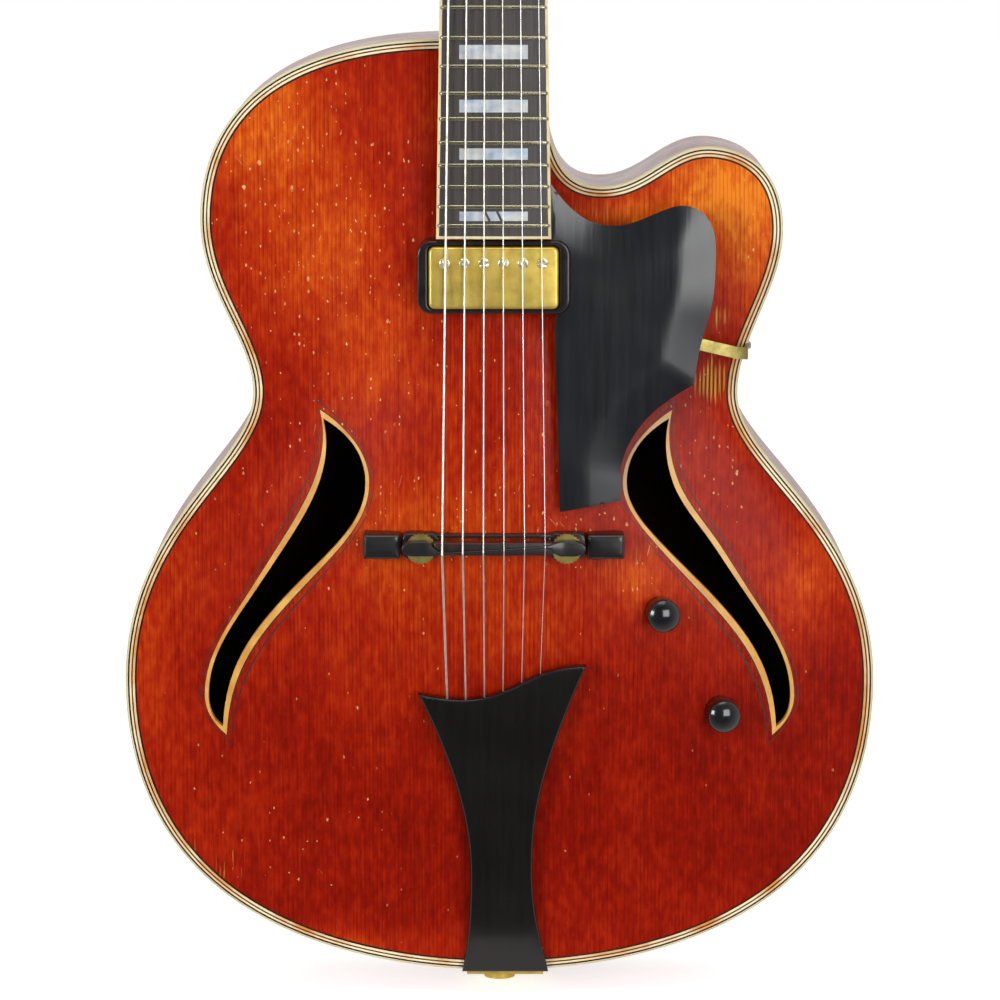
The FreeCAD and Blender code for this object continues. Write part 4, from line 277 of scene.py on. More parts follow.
@dataclass
class Shell:
    """Closed surfaces of one piece on the bench, each turned to face outwards as it is added."""

    points: list[Array] = field(default_factory=list)
    faces: list[list[int]] = field(default_factory=list)
    marks: dict[str, list[Array]] = field(default_factory=dict)
    size: int = 0

    def add(self, points: Array, faces: Sequence[Array], **marks: Array) -> None:
        """Add a closed surface, turned by the sign of its volume.

        Args:
            points: its points.
            faces: arrays of corner numbers, with three or four to a face.
            marks: one number to a point for each named attribute.
        """
        fans = [part[:, [0, k, k + 1]] for part in faces for k in range(1, part.shape[1] - 1)]
        a, b, c = np.moveaxis(points[np.concatenate(fans)], 1, 0)
        outwards = np.sum(a * np.cross(b, c)) > 0
        for part in faces:
            self.faces += (self.size + (part if outwards else part[:, ::-1])).tolist()
        for name, values in marks.items():
            self.marks.setdefault(name, []).append(values)
        self.points.append(points)
        self.size += len(points)

    def sweep(self, rings: Array, ring: bool = False, **marks: Array) -> None:
        """Add a surface through closed sections, with a fan over each end.

        Args:
            rings: sections by points by x, y and z.
            ring: whether the last section joins the first, so that there are no ends.
            marks: one number to a point of the sections for each named attribute.
        """
        count, around = rings.shape[:2]
        points = rings.reshape(-1, 3)
        faces = [grid_faces(count, around, ring, True)]
        if not ring:
            ends = np.stack([rings[0].mean(0), rings[-1].mean(0)])
            numbers = np.arange(around)
            after = np.roll(numbers, -1)
            hub = len(points)
            last = hub - around
            faces.append(np.stack([after, numbers, np.full(around, hub)], 1))
            faces.append(np.stack([last + numbers, last + after, np.full(around, hub + 1)], 1))
            points = np.concatenate([points, ends])
            marks = {name: np.append(values, [values[0], values[-1]]) for name, values in marks.items()}
        self.add(points, faces, **marks)

    def plate(self, loops: Sequence[Array], spacing: float, top: Height, bottom: Height,
              **marks: Mark) -> None:
        """Add a plate between two heights over a plan with holes, on a lattice of points.

        Args:
            loops: the outer loop and the loops of any holes.
            spacing: distance between the points of the lattice.
            top: height of the upper side over x and y.
            bottom: height of the lower side.
            marks: number at x, y and z for each named attribute.
        """
        loops = [turned_left(loops[0])] + [turned_left(loop)[::-1] for loop in loops[1:]]
        low, high = loops[0].min(0), loops[0].max(0)
        x, y = np.meshgrid(np.arange(low[0], high[0], spacing), np.arange(low[1], high[1], spacing))
        lattice = np.stack([x.ravel(), y.ravel()], 1)
        lattice = lattice[within(lattice, loops)]
        rim = np.concatenate(loops)
        near = [np.min(np.hypot(*np.moveaxis(part[:, None] - rim, 2, 0)), 1) < spacing / 2
                for part in np.array_split(lattice, len(lattice) // 2000 + 1)]
        plan, corners = filled(loops, lattice[~np.concatenate(near)])
        x, y = plan.T
        points = np.concatenate([np.stack([x, y, top(x, y)], 1), np.stack([x, y, bottom(x, y)], 1)])
        count = len(plan)
        faces = [self.turned(plan, corners, 1), self.turned(plan, corners, -1) + count]
        start = 0
        for loop in loops:
            numbers = start + np.arange(len(loop))
            after = np.roll(numbers, -1)
            faces.append(np.stack([after, numbers, numbers + count, after + count], 1))
            start += len(loop)
        values = {name: mark(*points.T) for name, mark in marks.items()}
        self.add(points, faces, **values)

    @staticmethod
    def turned(plan: Array, corners: Array, sign: int) -> Array:
        """Triangles turned counter-clockwise in the plan, or clockwise where the sign is -1.

        Args:
            plan: points of the plane.
            corners: corner numbers of the triangles.
            sign: 1 or -1.

        Returns:
            Corner numbers in their new order.
        """
        a, b, c = np.moveaxis(plan[corners], 1, 0)
        area = (b - a)[:, 0] * (c - a)[:, 1] - (b - a)[:, 1] * (c - a)[:, 0]
        return np.where((area * sign > 0)[:, None], corners, corners[:, ::-1])

    def slab(self, loops: Sequence[Array], low: Height, high: Height, edge: float, under: float = 0.0,
             steps: int = 4, wide: Optional[float] = None) -> None:
        """Add a slab on an outline with holes, with its edges rounded by quarter ellipses.

        At an angle a of an edge of depth d and width w, the outline is moved inwards by w (1 - cos a) and
        lies d (1 - sin a) within the face.

        Args:
            loops: the outer loop and the loops of any holes.
            low: height of the lower face over x and y.
            high: height of the upper face.
            edge: depth of the upper edges' rounding.
            under: radius of the lower edges.
            steps: steps of each quarter ellipse.
            wide: width of the upper edges' rounding, or None where it is as wide as deep.
        """
        angle = np.linspace(0, math.pi / 2, steps + 1)
        width = edge if wide is None else wide
        inwards = np.concatenate([under * (1 - np.cos(angle[::-1])), width * (1 - np.cos(angle))])
        fall = np.concatenate([under * (1 - np.sin(angle[::-1])), edge * (1 - np.sin(angle))])
        outer = turned_left(loops[0])
        runs = [outer] + [turned_left(loop)[::-1] for loop in loops[1:]]
        points, faces, bases, caps = [], [], [], []
        size = 0
        for run in runs:
            rows = []
            for k, (step, drop) in enumerate(zip(inwards, fall)):
                loop = inset(run, step)
                x, y = loop.T
                z = low(x, y) + drop if k <= steps else high(x, y) - drop
                rows.append(np.stack([x, y, z], 1))
            rows = np.stack(rows)
            points.append(rows.reshape(-1, 3))
            faces.append(size + grid_faces(len(rows), len(run), False, True))
            bases.append(rows[0, :, :2])
            caps.append(rows[-1, :, :2])
            size += rows.shape[0] * len(run)
        starts = np.cumsum([0] + [len(rows) for rows in points])
        for flats, first in ((bases, True), (caps, False)):
            _, corners = filled(flats)
            numbers = [start + (0 if first else len(rows) - len(run)) + np.arange(len(run))
                       for start, rows, run in zip(starts, points, runs)]
            turned = self.turned(np.concatenate(flats), corners, -1 if first else 1)
            faces.append(np.concatenate(numbers)[turned])
        self.add(np.concatenate(points), faces)

    def lathe(self, profile: Array, place: Callable[[Array], Array], around: int = 48,
              wave: float = 0.0, waves: int = 0) -> None:
        """Add a turned surface: (r cos a, r sin a, z) over a profile of r and z, with optional flutes.

        Args:
            profile: radius and height of each ring, from one end to the other.
            place: turns the surface's points into bench points.
            around: points around.
            wave: depth of the flutes as a share of the radius.
            waves: how many flutes.
        """
        angle = full_turn(around)
        swell = 1 + wave * np.cos(waves * angle)
        r, z = profile.T
        rings = np.stack([np.outer(r, swell * np.cos(angle)), np.outer(r, swell * np.sin(angle)),
                          np.repeat(z[:, None], around, 1)], 2)
        self.sweep(place(rings))

    def tube(self, path: Array, radius: float, around: int = 10) -> None:
        """Add a round tube along a path, with a frame kept square to the path.

        Args:
            path: points along the middle.
            radius: radius of the tube.
            around: points around.
        """
        aside = np.array([1.0, 0.0, 0.001])
        run = unit(np.gradient(path, axis=0))
        up = unit(np.cross(run, aside))
        across = np.cross(up, run)
        angle = full_turn(around)[None, :, None]
        self.sweep(path[:, None] + radius * (np.cos(angle) * across[:, None] + np.sin(angle) * up[:, None]))

    def piece(self, name: str, finish: "Finish", body: Optional[str], nodes: Sequence[str] = (),
              sharp: float = 35.0) -> bpy.types.Object:
        """Make the object of this piece, welded, smooth and with its finish.

        Args:
            name: name of the object.
            finish: the finish on it.
            body: body that it rides on, or None where it rides on none.
            nodes: nodes of the model that it stands in for.
            sharp: angle in degrees beyond which an edge stays sharp.

        Returns:
            The new object.
        """
        mesh = bpy.data.meshes.new(name)
        mesh.from_pydata(to_row(np.concatenate(self.points)).tolist(), [], self.faces)
        for mark, values in self.marks.items():
            layer = mesh.attributes.new(mark, "FLOAT", "POINT")
            layer.data.foreach_set("value", np.concatenate(values).astype(np.float32))
        welder = bmesh.new()
        welder.from_mesh(mesh)
        bmesh.ops.remove_doubles(welder, verts=welder.verts, dist=1e-6)
        welder.to_mesh(mesh)
        welder.free()
        mesh.shade_smooth()
        mesh.set_sharp_from_angle(angle=math.radians(sharp))
        obj = bpy.data.objects.new(name, mesh)
        bpy.context.scene.collection.objects.link(obj)
        obj.data.materials.append(finish.material())
        if body is not None:
            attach(obj, body)
        if nodes:
            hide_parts(*nodes)
        log.info("piece %s: %d points, %d faces", name, len(mesh.vertices), len(mesh.polygons))
        return obj


# Shape of the guitar

@dataclass(frozen=True)
class BodyShape:
    """Outline and arching of the body, with the same values as the model."""

    length: float = 477.5
    half_bout: float = 190.5
    waist_bass: float = 124.2
    waist_treble: float = 119.9
    upper_bout: float = 150.0
    horn: float = 142.2
    crest: float = 104.2
    valley: float = 51.5
    neck_side: float = 24.0
    half_depth: float = 33.0
    plate: float = 5.0
    top_arch: float = 18.0
    back_arch: float = 16.0
    edge_flat: float = 12.0
    fullness: float = 2.5
    cutaway_fade: float = 70.0
    rim_wall: float = 3.0
    bridge_y: float = 225.4

    @property
    def neck_side_y(self) -> float:
        """Where the straight side beside the neck begins."""
        return self.length * (1 - 0.0471)

    @property
    def crest_y(self) -> float:
        """Where the horn is highest."""
        return self.length * 0.8871

    @property
    def bout_y(self) -> float:
        """Where the lower bout is widest."""
        return self.length * 0.3162

    @property
    def waist_y(self) -> float:
        """Where the waist is narrowest."""
        return self.length * 0.6283

    def treble(self) -> list[tuple[Point, ...]]:
        """Poles of the treble side's cubics from the tail to the neck.

        Returns:
            Four poles to a cubic.
        """
        size = self.length
        bout, waist, horn = self.bout_y, self.waist_y, 0.8 * size
        crest, valley = self.crest_y, 0.8452 * size
        half, low, tip = self.half_bout, self.waist_treble, self.horn
        return [
            ((0, 0), (80, 0), (half, bout - 0.2555 * size), (half, bout)),
            ((half, bout), (half, bout + 0.1738 * size), (low, waist - 0.0775 * size), (low, waist)),
            ((low, waist), (low, waist + 0.0565 * size), (tip, horn - 0.0607 * size), (tip, horn)),
            ((tip, horn), (tip, horn + 0.0806 * size), (self.crest + 8.5, crest), (self.crest, crest)),
            ((self.crest, crest), (self.crest - 20.5, crest),
             (self.valley + 21.5, valley), (self.valley, valley)),
            ((self.valley, valley), (self.valley - 24, valley),
             (self.neck_side, self.neck_side_y - 0.0607 * size), (self.neck_side, self.neck_side_y)),
        ]

    def bass(self) -> list[tuple[Point, ...]]:
        """Poles of the bass side's cubics from the neck back to the tail.

        Returns:
            Four poles to a cubic.
        """
        size = self.length
        bout, waist, upper = self.bout_y, self.waist_y, 0.8105 * size
        half, low, shoulder = -self.half_bout, -self.waist_bass, -self.upper_bout
        return [
            ((-self.neck_side, size), (-self.neck_side - 98, size),
             (shoulder, upper + 0.0942 * size), (shoulder, upper)),
            ((shoulder, upper), (shoulder, upper - 0.0775 * size),
             (low, waist + 0.0565 * size), (low, waist)),
            ((low, waist), (low, waist - 0.0775 * size), (half, bout + 0.1738 * size), (half, bout)),
            ((half, bout), (half, bout - 0.2555 * size), (-80, 0), (0, 0)),
        ]

    def outline(self, step: float = 0.0) -> Array:
        """Loop of the body's outline from the tail up the treble side, moved inwards by a step.

        Args:
            step: distance inwards.

        Returns:
            Points of the loop.
        """
        side, top = self.neck_side, self.length
        runs = [cubic(poles, 40) for poles in self.treble()]
        runs.append(straight((side, self.neck_side_y), (side, top), 8))
        runs.append(straight((side, top), (-side, top), 14))
        runs += [cubic(poles, 48) for poles in self.bass()]
        return inset(np.concatenate(runs), step)

    def half_width(self, y: Array) -> Array:
        """Distance from the centre line to the bass side, looked up along its cubics."""
        side = np.concatenate([cubic(poles, 200) for poles in self.bass()] + [np.array([[0.0, 0.0]])])[::-1]
        return np.interp(y, side[:, 1], -side[:, 0], left=0, right=0)

    def share(self, x: Array, y: Array) -> Array:
        """Share of the arch: (1 - u^2)^2 (1 - v^2.5)^2, faded out by the cutaway.

        u is x over the half width inside the flat edge, and v is the distance from the bridge along the body
        over the length to its end inside the flat edge.

        Args:
            x: places across.
            y: places along.

        Returns:
            Share of the full height at each place.
        """
        across = np.maximum(self.half_width(y) - self.edge_flat, 1e-6)
        reach = np.where(y > self.bridge_y, self.length - self.bridge_y, self.bridge_y) - self.edge_flat
        u = np.minimum(np.abs(x) / across, 1)
        v = np.minimum(np.abs(y - self.bridge_y) / reach, 1)
        centre = (self.neck_side + self.crest) / 2
        radius = math.hypot(self.crest - centre, self.neck_side_y - self.crest_y) + 2 * self.edge_flat
        fade = smooth((np.hypot(x - centre, y - self.neck_side_y) - radius) / self.cutaway_fade)
        return (1 - u * u) ** 2 * (1 - v ** self.fullness) ** 2 * fade

    def top(self, x: Array, y: Array) -> Array:
        """Height of the outside of the top."""
        return self.half_depth + self.plate + self.top_arch * self.share(x, y)

    def back(self, x: Array, y: Array) -> Array:
        """Height of the outside of the back."""
        return -self.half_depth - self.plate - self.back_arch * self.share(x, y)


@dataclass(frozen=True)
class NeckShape:
    """Lines of the neck, the board, the strings and the head, with the same values as the model."""

    scale: float = 630.0
    frets: int = 24
    joint_fret: int = 16
    joint_y: float = 479.2
    joint_z: float = 60.6
    x: float = -2.9
    angle: float = math.radians(3.5)
    head_angle: float = math.radians(13.0)
    board: float = 6.0
    crown: float = 305.0
    nut_width: float = 42.0
    end_width: float = 57.0
    past_last_fret: float = 6.6
    binding: float = 1.4
    nut_length: float = 4.5
    head_step: float = 2.0

    def fret(self, number: float) -> float:
        """Distance of a fret from the nut: scale (1 - 2^(-n/12))."""
        return self.scale * (1 - 2 ** (-number / 12))

    @property
    def nut(self) -> Array:
        """Middle of the board's face at the nut."""
        reach = self.fret(self.joint_fret)
        return np.array([self.x, self.joint_y + reach * math.cos(self.angle),
                         self.joint_z - reach * math.sin(self.angle)])

    @property
    def board_length(self) -> float:
        """Length of the board from the nut."""
        return self.fret(self.frets) + self.past_last_fret

    @property
    def board_end_y(self) -> float:
        """Where the board ends over the body."""
        return self.nut[1] - self.board_length * math.cos(self.angle)

    @property
    def saddle_y(self) -> float:
        """Where the scale ends."""
        return self.nut[1] - self.scale * math.cos(self.angle)

    def half_width(self, distance: Array) -> Array:
        """Half the board's width at a distance from the nut."""
        return (self.nut_width + (self.end_width - self.nut_width) * distance / self.board_length) / 2

    def face(self, y: Array) -> Array:
        """Height of the board's face in the middle, at a y of the bench."""
        return self.joint_z - (y - self.joint_y) * math.tan(self.angle)

    def place(self, points: Array) -> Array:
        """Points laid out from the nut, with y to the head and z out of the board, on the bench.

        Args:
            points: x, y and z of the points, along the last axis.

        Returns:
            The points on the bench.
        """
        x, y, z = np.moveaxis(points, -1, 0)
        c, s = math.cos(self.angle), math.sin(self.angle)
        return self.nut + np.stack([x, y * c + z * s, z * c - y * s], -1)

    def head(self, points: Array) -> Array:
        """Points laid out on the head's face, with y up the head and z out of it, on the bench.

        Args:
            points: x, y and z of the points, along the last axis.

        Returns:
            The points on the bench.
        """
        x, y, z = np.moveaxis(points, -1, 0)
        c, s = math.cos(self.head_angle), math.sin(self.head_angle)
        return self.place(np.stack([x, self.nut_length + y * c + z * s, -self.head_step + z * c - y * s], -1))


BODY = BodyShape()
NECK = NeckShape()


def level(height: float) -> Height:
    """The same height everywhere."""
    return lambda x, y: np.full(np.shape(x), float(height))


def over_top(step: float) -> Height:
    """Height at a step over the outside of the top."""
    return lambda x, y: BODY.top(x, y) + step


# Finishes

Stop = tuple[float, str]
Size = tuple[float, float, float]
Value = Union[bpy.types.Node, bpy.types.NodeSocket, float, tuple]
MATHS = (0, 1)


class Kind(Enum):
    """Shader nodes in use, each with its type name, its settings and the inputs that its values go to."""

    ADD = ("ShaderNodeMath", {"operation": "ADD"}, MATHS)
    AMOUNT = ("ShaderNodeMath", {"operation": "ABSOLUTE"}, MATHS)
    ATTRIBUTE = ("ShaderNodeAttribute", {}, ())
    BUMP = ("ShaderNodeBump", {}, ("Height", "Distance"))
    COORDINATES = ("ShaderNodeTexCoord", {}, ())
    FRACTION = ("ShaderNodeMath", {"operation": "FRACT"}, MATHS)
    JOIN = ("ShaderNodeCombineXYZ", {}, ("X", "Y"))
    LIGHT_PATH = ("ShaderNodeLightPath", {}, ())
    MAPPING = ("ShaderNodeMapping", {"vector_type": "TEXTURE"}, ("Vector", "Rotation", "Scale"))
    MIX = ("ShaderNodeMix", {"data_type": "RGBA"}, (0, 6, 7))
    MORE = ("ShaderNodeMath", {"operation": "MAXIMUM"}, MATHS)
    MULTIPLY = ("ShaderNodeMath", {"operation": "MULTIPLY"}, MATHS)
    NOISE = ("ShaderNodeTexNoise", {}, ("Vector", "Scale", "Detail"))
    POWER = ("ShaderNodeMath", {"operation": "POWER"}, MATHS)
    RAMP = ("ShaderNodeValToRGB", {}, ("Fac",))
    RANGE = ("ShaderNodeMapRange", {}, ("Value", "From Min", "From Max", "To Min", "To Max"))
    SINE = ("ShaderNodeMath", {"operation": "SINE"}, MATHS)
    SPLIT = ("ShaderNodeSeparateXYZ", {}, ("Vector",))
    SPOTS = ("ShaderNodeTexVoronoi", {"voronoi_dimensions": "2D"}, ("Vector", "Scale"))
    SUBTRACT = ("ShaderNodeMath", {"operation": "SUBTRACT"}, MATHS)


def linear(colour: str) -> tuple[float, float, float, float]:
    """Linear colour of an sRGB hex: c / 12.92 near black, ((c + 0.055) / 1.055)^2.4 above."""
    parts = [int(colour[k:k + 2], 16) / 255 for k in (1, 3, 5)]
    return (*[c / 12.92 if c <= 0.04045 else ((c + 0.055) / 1.055) ** 2.4 for c in parts], 1.0)


def set_inputs(tree: bpy.types.NodeTree, node: bpy.types.Node, inputs: dict[Union[str, int], Value]) -> None:
    """Set or link a node's inputs; a node given as a value is linked by its first output in use.

    Args:
        tree: the node tree.
        node: the node.
        inputs: value, socket or node for each input, by name or number.
    """
    for name, value in inputs.items():
        if isinstance(value, bpy.types.Node):
            value = next(socket for socket in value.outputs if socket.enabled)
        if isinstance(value, bpy.types.NodeSocket):
            tree.links.new(value, node.inputs[name])
        else:
            node.inputs[name].default_value = value


@dataclass
class Finish:
    """A finish: one material, made the first time that it is asked for."""

    name: str
    made: Optional[bpy.types.Material] = field(default=None, init=False)
    tree: Optional[bpy.types.NodeTree] = field(default=None, init=False)

    def material(self) -> bpy.types.Material:
        """The finish's material.

        Returns:
            The material, which is made once.
        """
        if self.made is None:
            self.made = bpy.data.materials.new(self.name)
            self.made.use_nodes = True
            self.tree = self.made.node_tree
            self.paint()
        return self.made

    def paint(self) -> None:
        """Build the nodes of this finish."""
        raise NotImplementedError

    def add(self, kind: Kind, *values: Value, stops: Sequence[Stop] = (),
            **settings: object) -> bpy.types.Node:
        """Add a node with its settings and links.

        Args:
            kind: which node.
            values: value, socket or node for each of the kind's inputs, in their order.
            stops: position and colour of each stop, where the node has them.
            settings: further options of the node.

        Returns:
            The new node.
        """
        type_name, options, sockets = kind.value
        node = self.tree.nodes.new(type_name)
        for name, value in {**options, **settings}.items():
            setattr(node, name, value)
        for count, (position, colour) in enumerate(stops):
            there = node.color_ramp.elements
            stop = there[count] if count < len(there) else there.new(position)
            stop.position = position
            stop.color = linear(colour)
        set_inputs(self.tree, node, dict(zip(sockets, values)))
        return node

    def surface(self, inputs: dict[str, Value]) -> None:
        """Set or link inputs of the shader."""
        set_inputs(self.tree, self.tree.nodes["Principled BSDF"], inputs)

    def pattern(self, across: float, deep: float, along: float, turn: float = 0.0) -> bpy.types.Node:
        """Coordinates of the object in which one unit is a size in millimetres.

        Args:
            across: size along X.
            deep: size along Y.
            along: size along Z.
            turn: turn about Y.

        Returns:
            Node with the coordinates.
        """
        size = (across / 1000, deep / 1000, along / 1000)
        place = self.add(Kind.COORDINATES).outputs["Object"]
        return self.add(Kind.MAPPING, place, (0, turn, 0), size)

    def cloud(self, size: Size, low: float, high: float, detail: float = 3.0) -> bpy.types.Node:
        """Number that drifts from a low to a high value in clouds.

        Args:
            size: size of a cloud along X, Y and Z in millimetres.
            low: the low value.
            high: the high value.
            detail: how fine the clouds break up.

        Returns:
            Node with the number.
        """
        noise = self.add(Kind.NOISE, self.pattern(*size), 1.0, detail)
        return self.add(Kind.RANGE, noise, 0.3, 0.7, low, high)


@dataclass
class VarnishedSpruce(Finish):
    """Carved spruce under a thin red varnish that is worn, chipped and scratched."""

    name: str = "spruce, carved, under a hand-rubbed red spirit varnish"
    ring: float = 2.1
    reds: tuple[Stop, ...] = (
        (0.0, "#740c02"), (0.2, "#8c1404"), (0.4, "#a32206"), (0.55, "#b43409"), (0.7, "#c4470e"),
        (0.85, "#d66015"), (1.0, "#e8801e"))
    late_wood: str = "#560c02"
    bare_wood: str = "#c8963f"
    chip_wood: str = "#e0b878"
    dirt: str = "#2c0703"
    mottles: tuple[tuple[Size, float, float], ...] = (
        ((38, 60, 55), 0.1, 3.0), ((0.9, 40, 26), 0.07, 2.0), ((3, 30, 7), 0.13, 4.0))
    flakes: tuple[tuple[Size, float, Point, float], ...] = (
        ((2.4, 30, 4.4), 0.17, (0.08, 0.24), 0.0), ((8, 30, 11), 0.05, (0.06, 0.14), 0.0),
        ((1.3, 30, 16), 0.008, (0.1, 0.3), 0.25), ((1.3, 30, 14), 0.008, (0.1, 0.3), -0.7))
    dents: tuple[Size, float, Point, float] = ((15, 30, 17), 0.06, (0.03, 0.07), 0.4)
    dent_depth: float = 0.75
    relief: float = 0.06

    def flecks(self, cell: Size, share: float, reach: Point, turn: float) -> bpy.types.Node:
        """Mask of scattered flecks, with one in each of some cells.

        Args:
            cell: size of a cell along X, Y and Z in millimetres.
            share: share of the cells with a fleck where the mesh's chip number is 1.
            reach: least and greatest reach of a fleck as a share of its cell.
            turn: turn of the cells about Y.

        Returns:
            Node that gives 1 inside a fleck.
        """
        place = self.add(Kind.SPLIT, self.pattern(*cell, turn)).outputs
        spots = self.add(Kind.SPOTS, self.add(Kind.JOIN, place["X"], place["Z"]), 1.0).outputs
        chance = self.add(Kind.SPLIT, spots["Color"]).outputs
        chip = self.add(Kind.ATTRIBUTE, attribute_name="chip").outputs["Fac"]
        often = self.add(Kind.SUBTRACT, self.add(Kind.MULTIPLY, chip, share), chance["X"])
        often = self.add(Kind.RANGE, often, 0, 0.01)
        ragged = self.cloud((cell[0] / 2.5, cell[1], cell[2] / 3), -0.1, 0.16, 4.0)
        ragged = self.add(Kind.ADD, spots["Distance"], ragged)
        size = self.add(Kind.RANGE, chance["Y"], 0, 1, *reach)
        inside = self.add(Kind.RANGE, self.add(Kind.SUBTRACT, size, ragged), 0, 0.06)
        return self.add(Kind.MULTIPLY, often, inside)

    def paint(self) -> None:
        """Red that warms to orange where the varnish is thin and where light is painted in, with growth
        lines, wear and a soft gloss.
        """
        # Growth rings 2.1 mm apart that drift a little; the late wood of each shows as a fine dark line.
        across = self.add(Kind.SPLIT, self.pattern(self.ring, 1, 1)).outputs["X"]
        phase = self.add(Kind.ADD, across, self.cloud((70, 70, 500), -1.2, 1.2))
        late = self.add(Kind.POWER, self.add(Kind.FRACTION, phase), 4.0)
        late = self.add(Kind.MULTIPLY, late, self.cloud((6, 60, 50), 0.15, 0.75))
        # Broad blotches, silky fibres and small mottles shift the red to orange and back. Real fibres are too
        # fine to show, so they are drawn a millimetre wide.
        # The mesh's warm number is partly thin varnish and partly painted light: painted brighter orange
        # where light falls on the arch, darker red where shade falls.
        warm = self.add(Kind.ATTRIBUTE, attribute_name="warm").outputs["Fac"]
        for size, reach, detail in self.mottles:
            warm = self.add(Kind.ADD, warm, self.cloud(size, -reach, reach, detail))
        colour = self.add(Kind.RAMP, warm, stops=self.reds)
        colour = self.add(Kind.MIX, late, colour, linear(self.late_wood))
        # Rubbed-through places follow the soft early wood between the growth lines, so they read as wear.
        soft = self.add(Kind.SINE, self.add(Kind.MULTIPLY, phase, 2 * math.pi))
        soft = self.add(Kind.RANGE, soft, -0.4, 0.5)
        bare = self.add(Kind.ATTRIBUTE, attribute_name="bare").outputs["Fac"]
        rubbed = self.add(Kind.ADD, bare, self.cloud((1.6, 20, 22), -0.5, 0.3, 4.0))
        rubbed = self.add(Kind.MULTIPLY, self.add(Kind.RANGE, rubbed, 0.35, 0.75), soft)
        colour = self.add(Kind.MIX, rubbed, colour, linear(self.bare_wood))
        # Flakes of varnish of half a millimetre to two are missing, and nails have left short scratches.
        gone, *others = [self.flecks(*flake) for flake in self.flakes]
        for mask in others:
            gone = self.add(Kind.MORE, gone, mask)
        shown = self.add(Kind.MULTIPLY, gone, self.cloud((9, 30, 9), 0.35, 0.95))
        colour = self.add(Kind.MIX, shown, colour, linear(self.chip_wood))
        # A few dents have filled with dark dirt.
        soiled = self.add(Kind.MULTIPLY, self.flecks(*self.dents), self.dent_depth)
        colour = self.add(Kind.MIX, soiled, colour, linear(self.dirt))
        matt = self.add(Kind.RANGE, rubbed, 0, 1, 0.3, 0.5)
        height = self.add(Kind.ADD, self.add(Kind.MULTIPLY, late, 0.5), self.cloud((1.2, 9, 5), 0, 0.6))
        bump = self.add(Kind.BUMP, self.add(Kind.SUBTRACT, height, gone), self.relief / 1000)
        self.surface({"Base Color": colour, "Roughness": matt, "IOR": 1.5, "Specular IOR Level": 0.06,
                      "Normal": bump, "Coat Weight": 0.02, "Coat Roughness": 0.14})


@dataclass
class VarnishedMaple(Finish):
    """Flamed maple of the back, sides and neck under the same red varnish.

    The wood runs along the number that the mesh carries under the name in attribute, or along the object's Z.
    The bars of its curl fall away from the middle by slant, as in a back that is joined from two halves.
    """

    name: str = "flamed maple, planed and scraped, under red spirit varnish"
    attribute: Optional[str] = None
    slant: float = 0.0
    bar: float = 13.0
    deep: str = "#5c1003"
    bright: str = "#a93a0a"
    grain: str = "#3c0c04"
    inside_painted_shade: str = "#1c110a"
    drifts: tuple[tuple[Size, float], ...] = (((110, 90, 60), 1.1), ((26, 60, 30), 0.22))
    relief: float = 0.03

    def paint(self) -> None:
        """Curl across the grain catches the light in soft bars, so the red turns to amber and back."""
        place = self.add(Kind.SPLIT, self.pattern(self.bar, self.bar, self.bar)).outputs
        along = place["Z"]
        if self.attribute is not None:
            length = self.add(Kind.ATTRIBUTE, attribute_name=self.attribute).outputs["Fac"]
            along = self.add(Kind.MULTIPLY, length, 1 / self.bar)
        aside = self.add(Kind.MULTIPLY, self.add(Kind.AMOUNT, place["X"]), self.slant)
        phase = self.add(Kind.SUBTRACT, along, aside)
        for size, reach in self.drifts:
            phase = self.add(Kind.ADD, phase, self.cloud(size, -reach, reach, 1.0))
        wave = self.add(Kind.SINE, self.add(Kind.MULTIPLY, phase, 2 * math.pi))
        flame = self.add(Kind.MULTIPLY, wave, self.cloud((50, 50, 34), 0.08, 0.42))
        flame = self.add(Kind.ADD, flame, self.cloud((60, 60, 60), 0.3, 0.65))
        colour = self.add(Kind.MIX, flame, linear(self.deep), linear(self.bright))
        # Pores are too fine to show, so they are drawn as flecks a millimetre wide.
        fibre = self.cloud((1.1, 1.1, 22), 0.0, 0.3, 2.0)
        colour = self.add(Kind.MIX, fibre, colour, linear(self.grain))
        # The unvarnished inside is dark with age and dust.
        # The inside of the back, seen through the sound holes, is painted near black as shade.
        inside = self.add(Kind.ATTRIBUTE, attribute_name="inside").outputs["Fac"]
        colour = self.add(Kind.MIX, inside, colour, linear(self.inside_painted_shade))
        self.surface({"Base Color": colour, "Roughness": self.cloud((30, 30, 30), 0.22, 0.32), "IOR": 1.5,
                      "Specular IOR Level": 0.25, "Coat Weight": 0.08, "Coat Roughness": 0.1,
                      "Normal": self.add(Kind.BUMP, flame, self.relief / 1000)})


@dataclass
class Ebony(Finish):
    """Ebony with brown-grey streaks along its length."""

    dark: str
    pale: str
    rough: Point
    coat: float
    grain: Size
    relief: float = 0.02

    def paint(self) -> None:
        """Nearly black with streaks that only show in the light, and fine open pores."""
        # Pores of a tenth of a millimetre are too fine to show, so they are drawn as wide as the streaks.
        streak = self.cloud(self.grain, 0.0, 1.0, 4.0)
        self.surface({"Base Color": self.add(Kind.MIX, streak, linear(self.dark), linear(self.pale)),
                      "Roughness": self.cloud((25, 25, 25), *self.rough), "IOR": 1.5,
                      "Specular IOR Level": 0.5, "Coat Weight": self.coat, "Coat Roughness": 0.06,
                      "Normal": self.add(Kind.BUMP, streak, self.relief / 1000)})


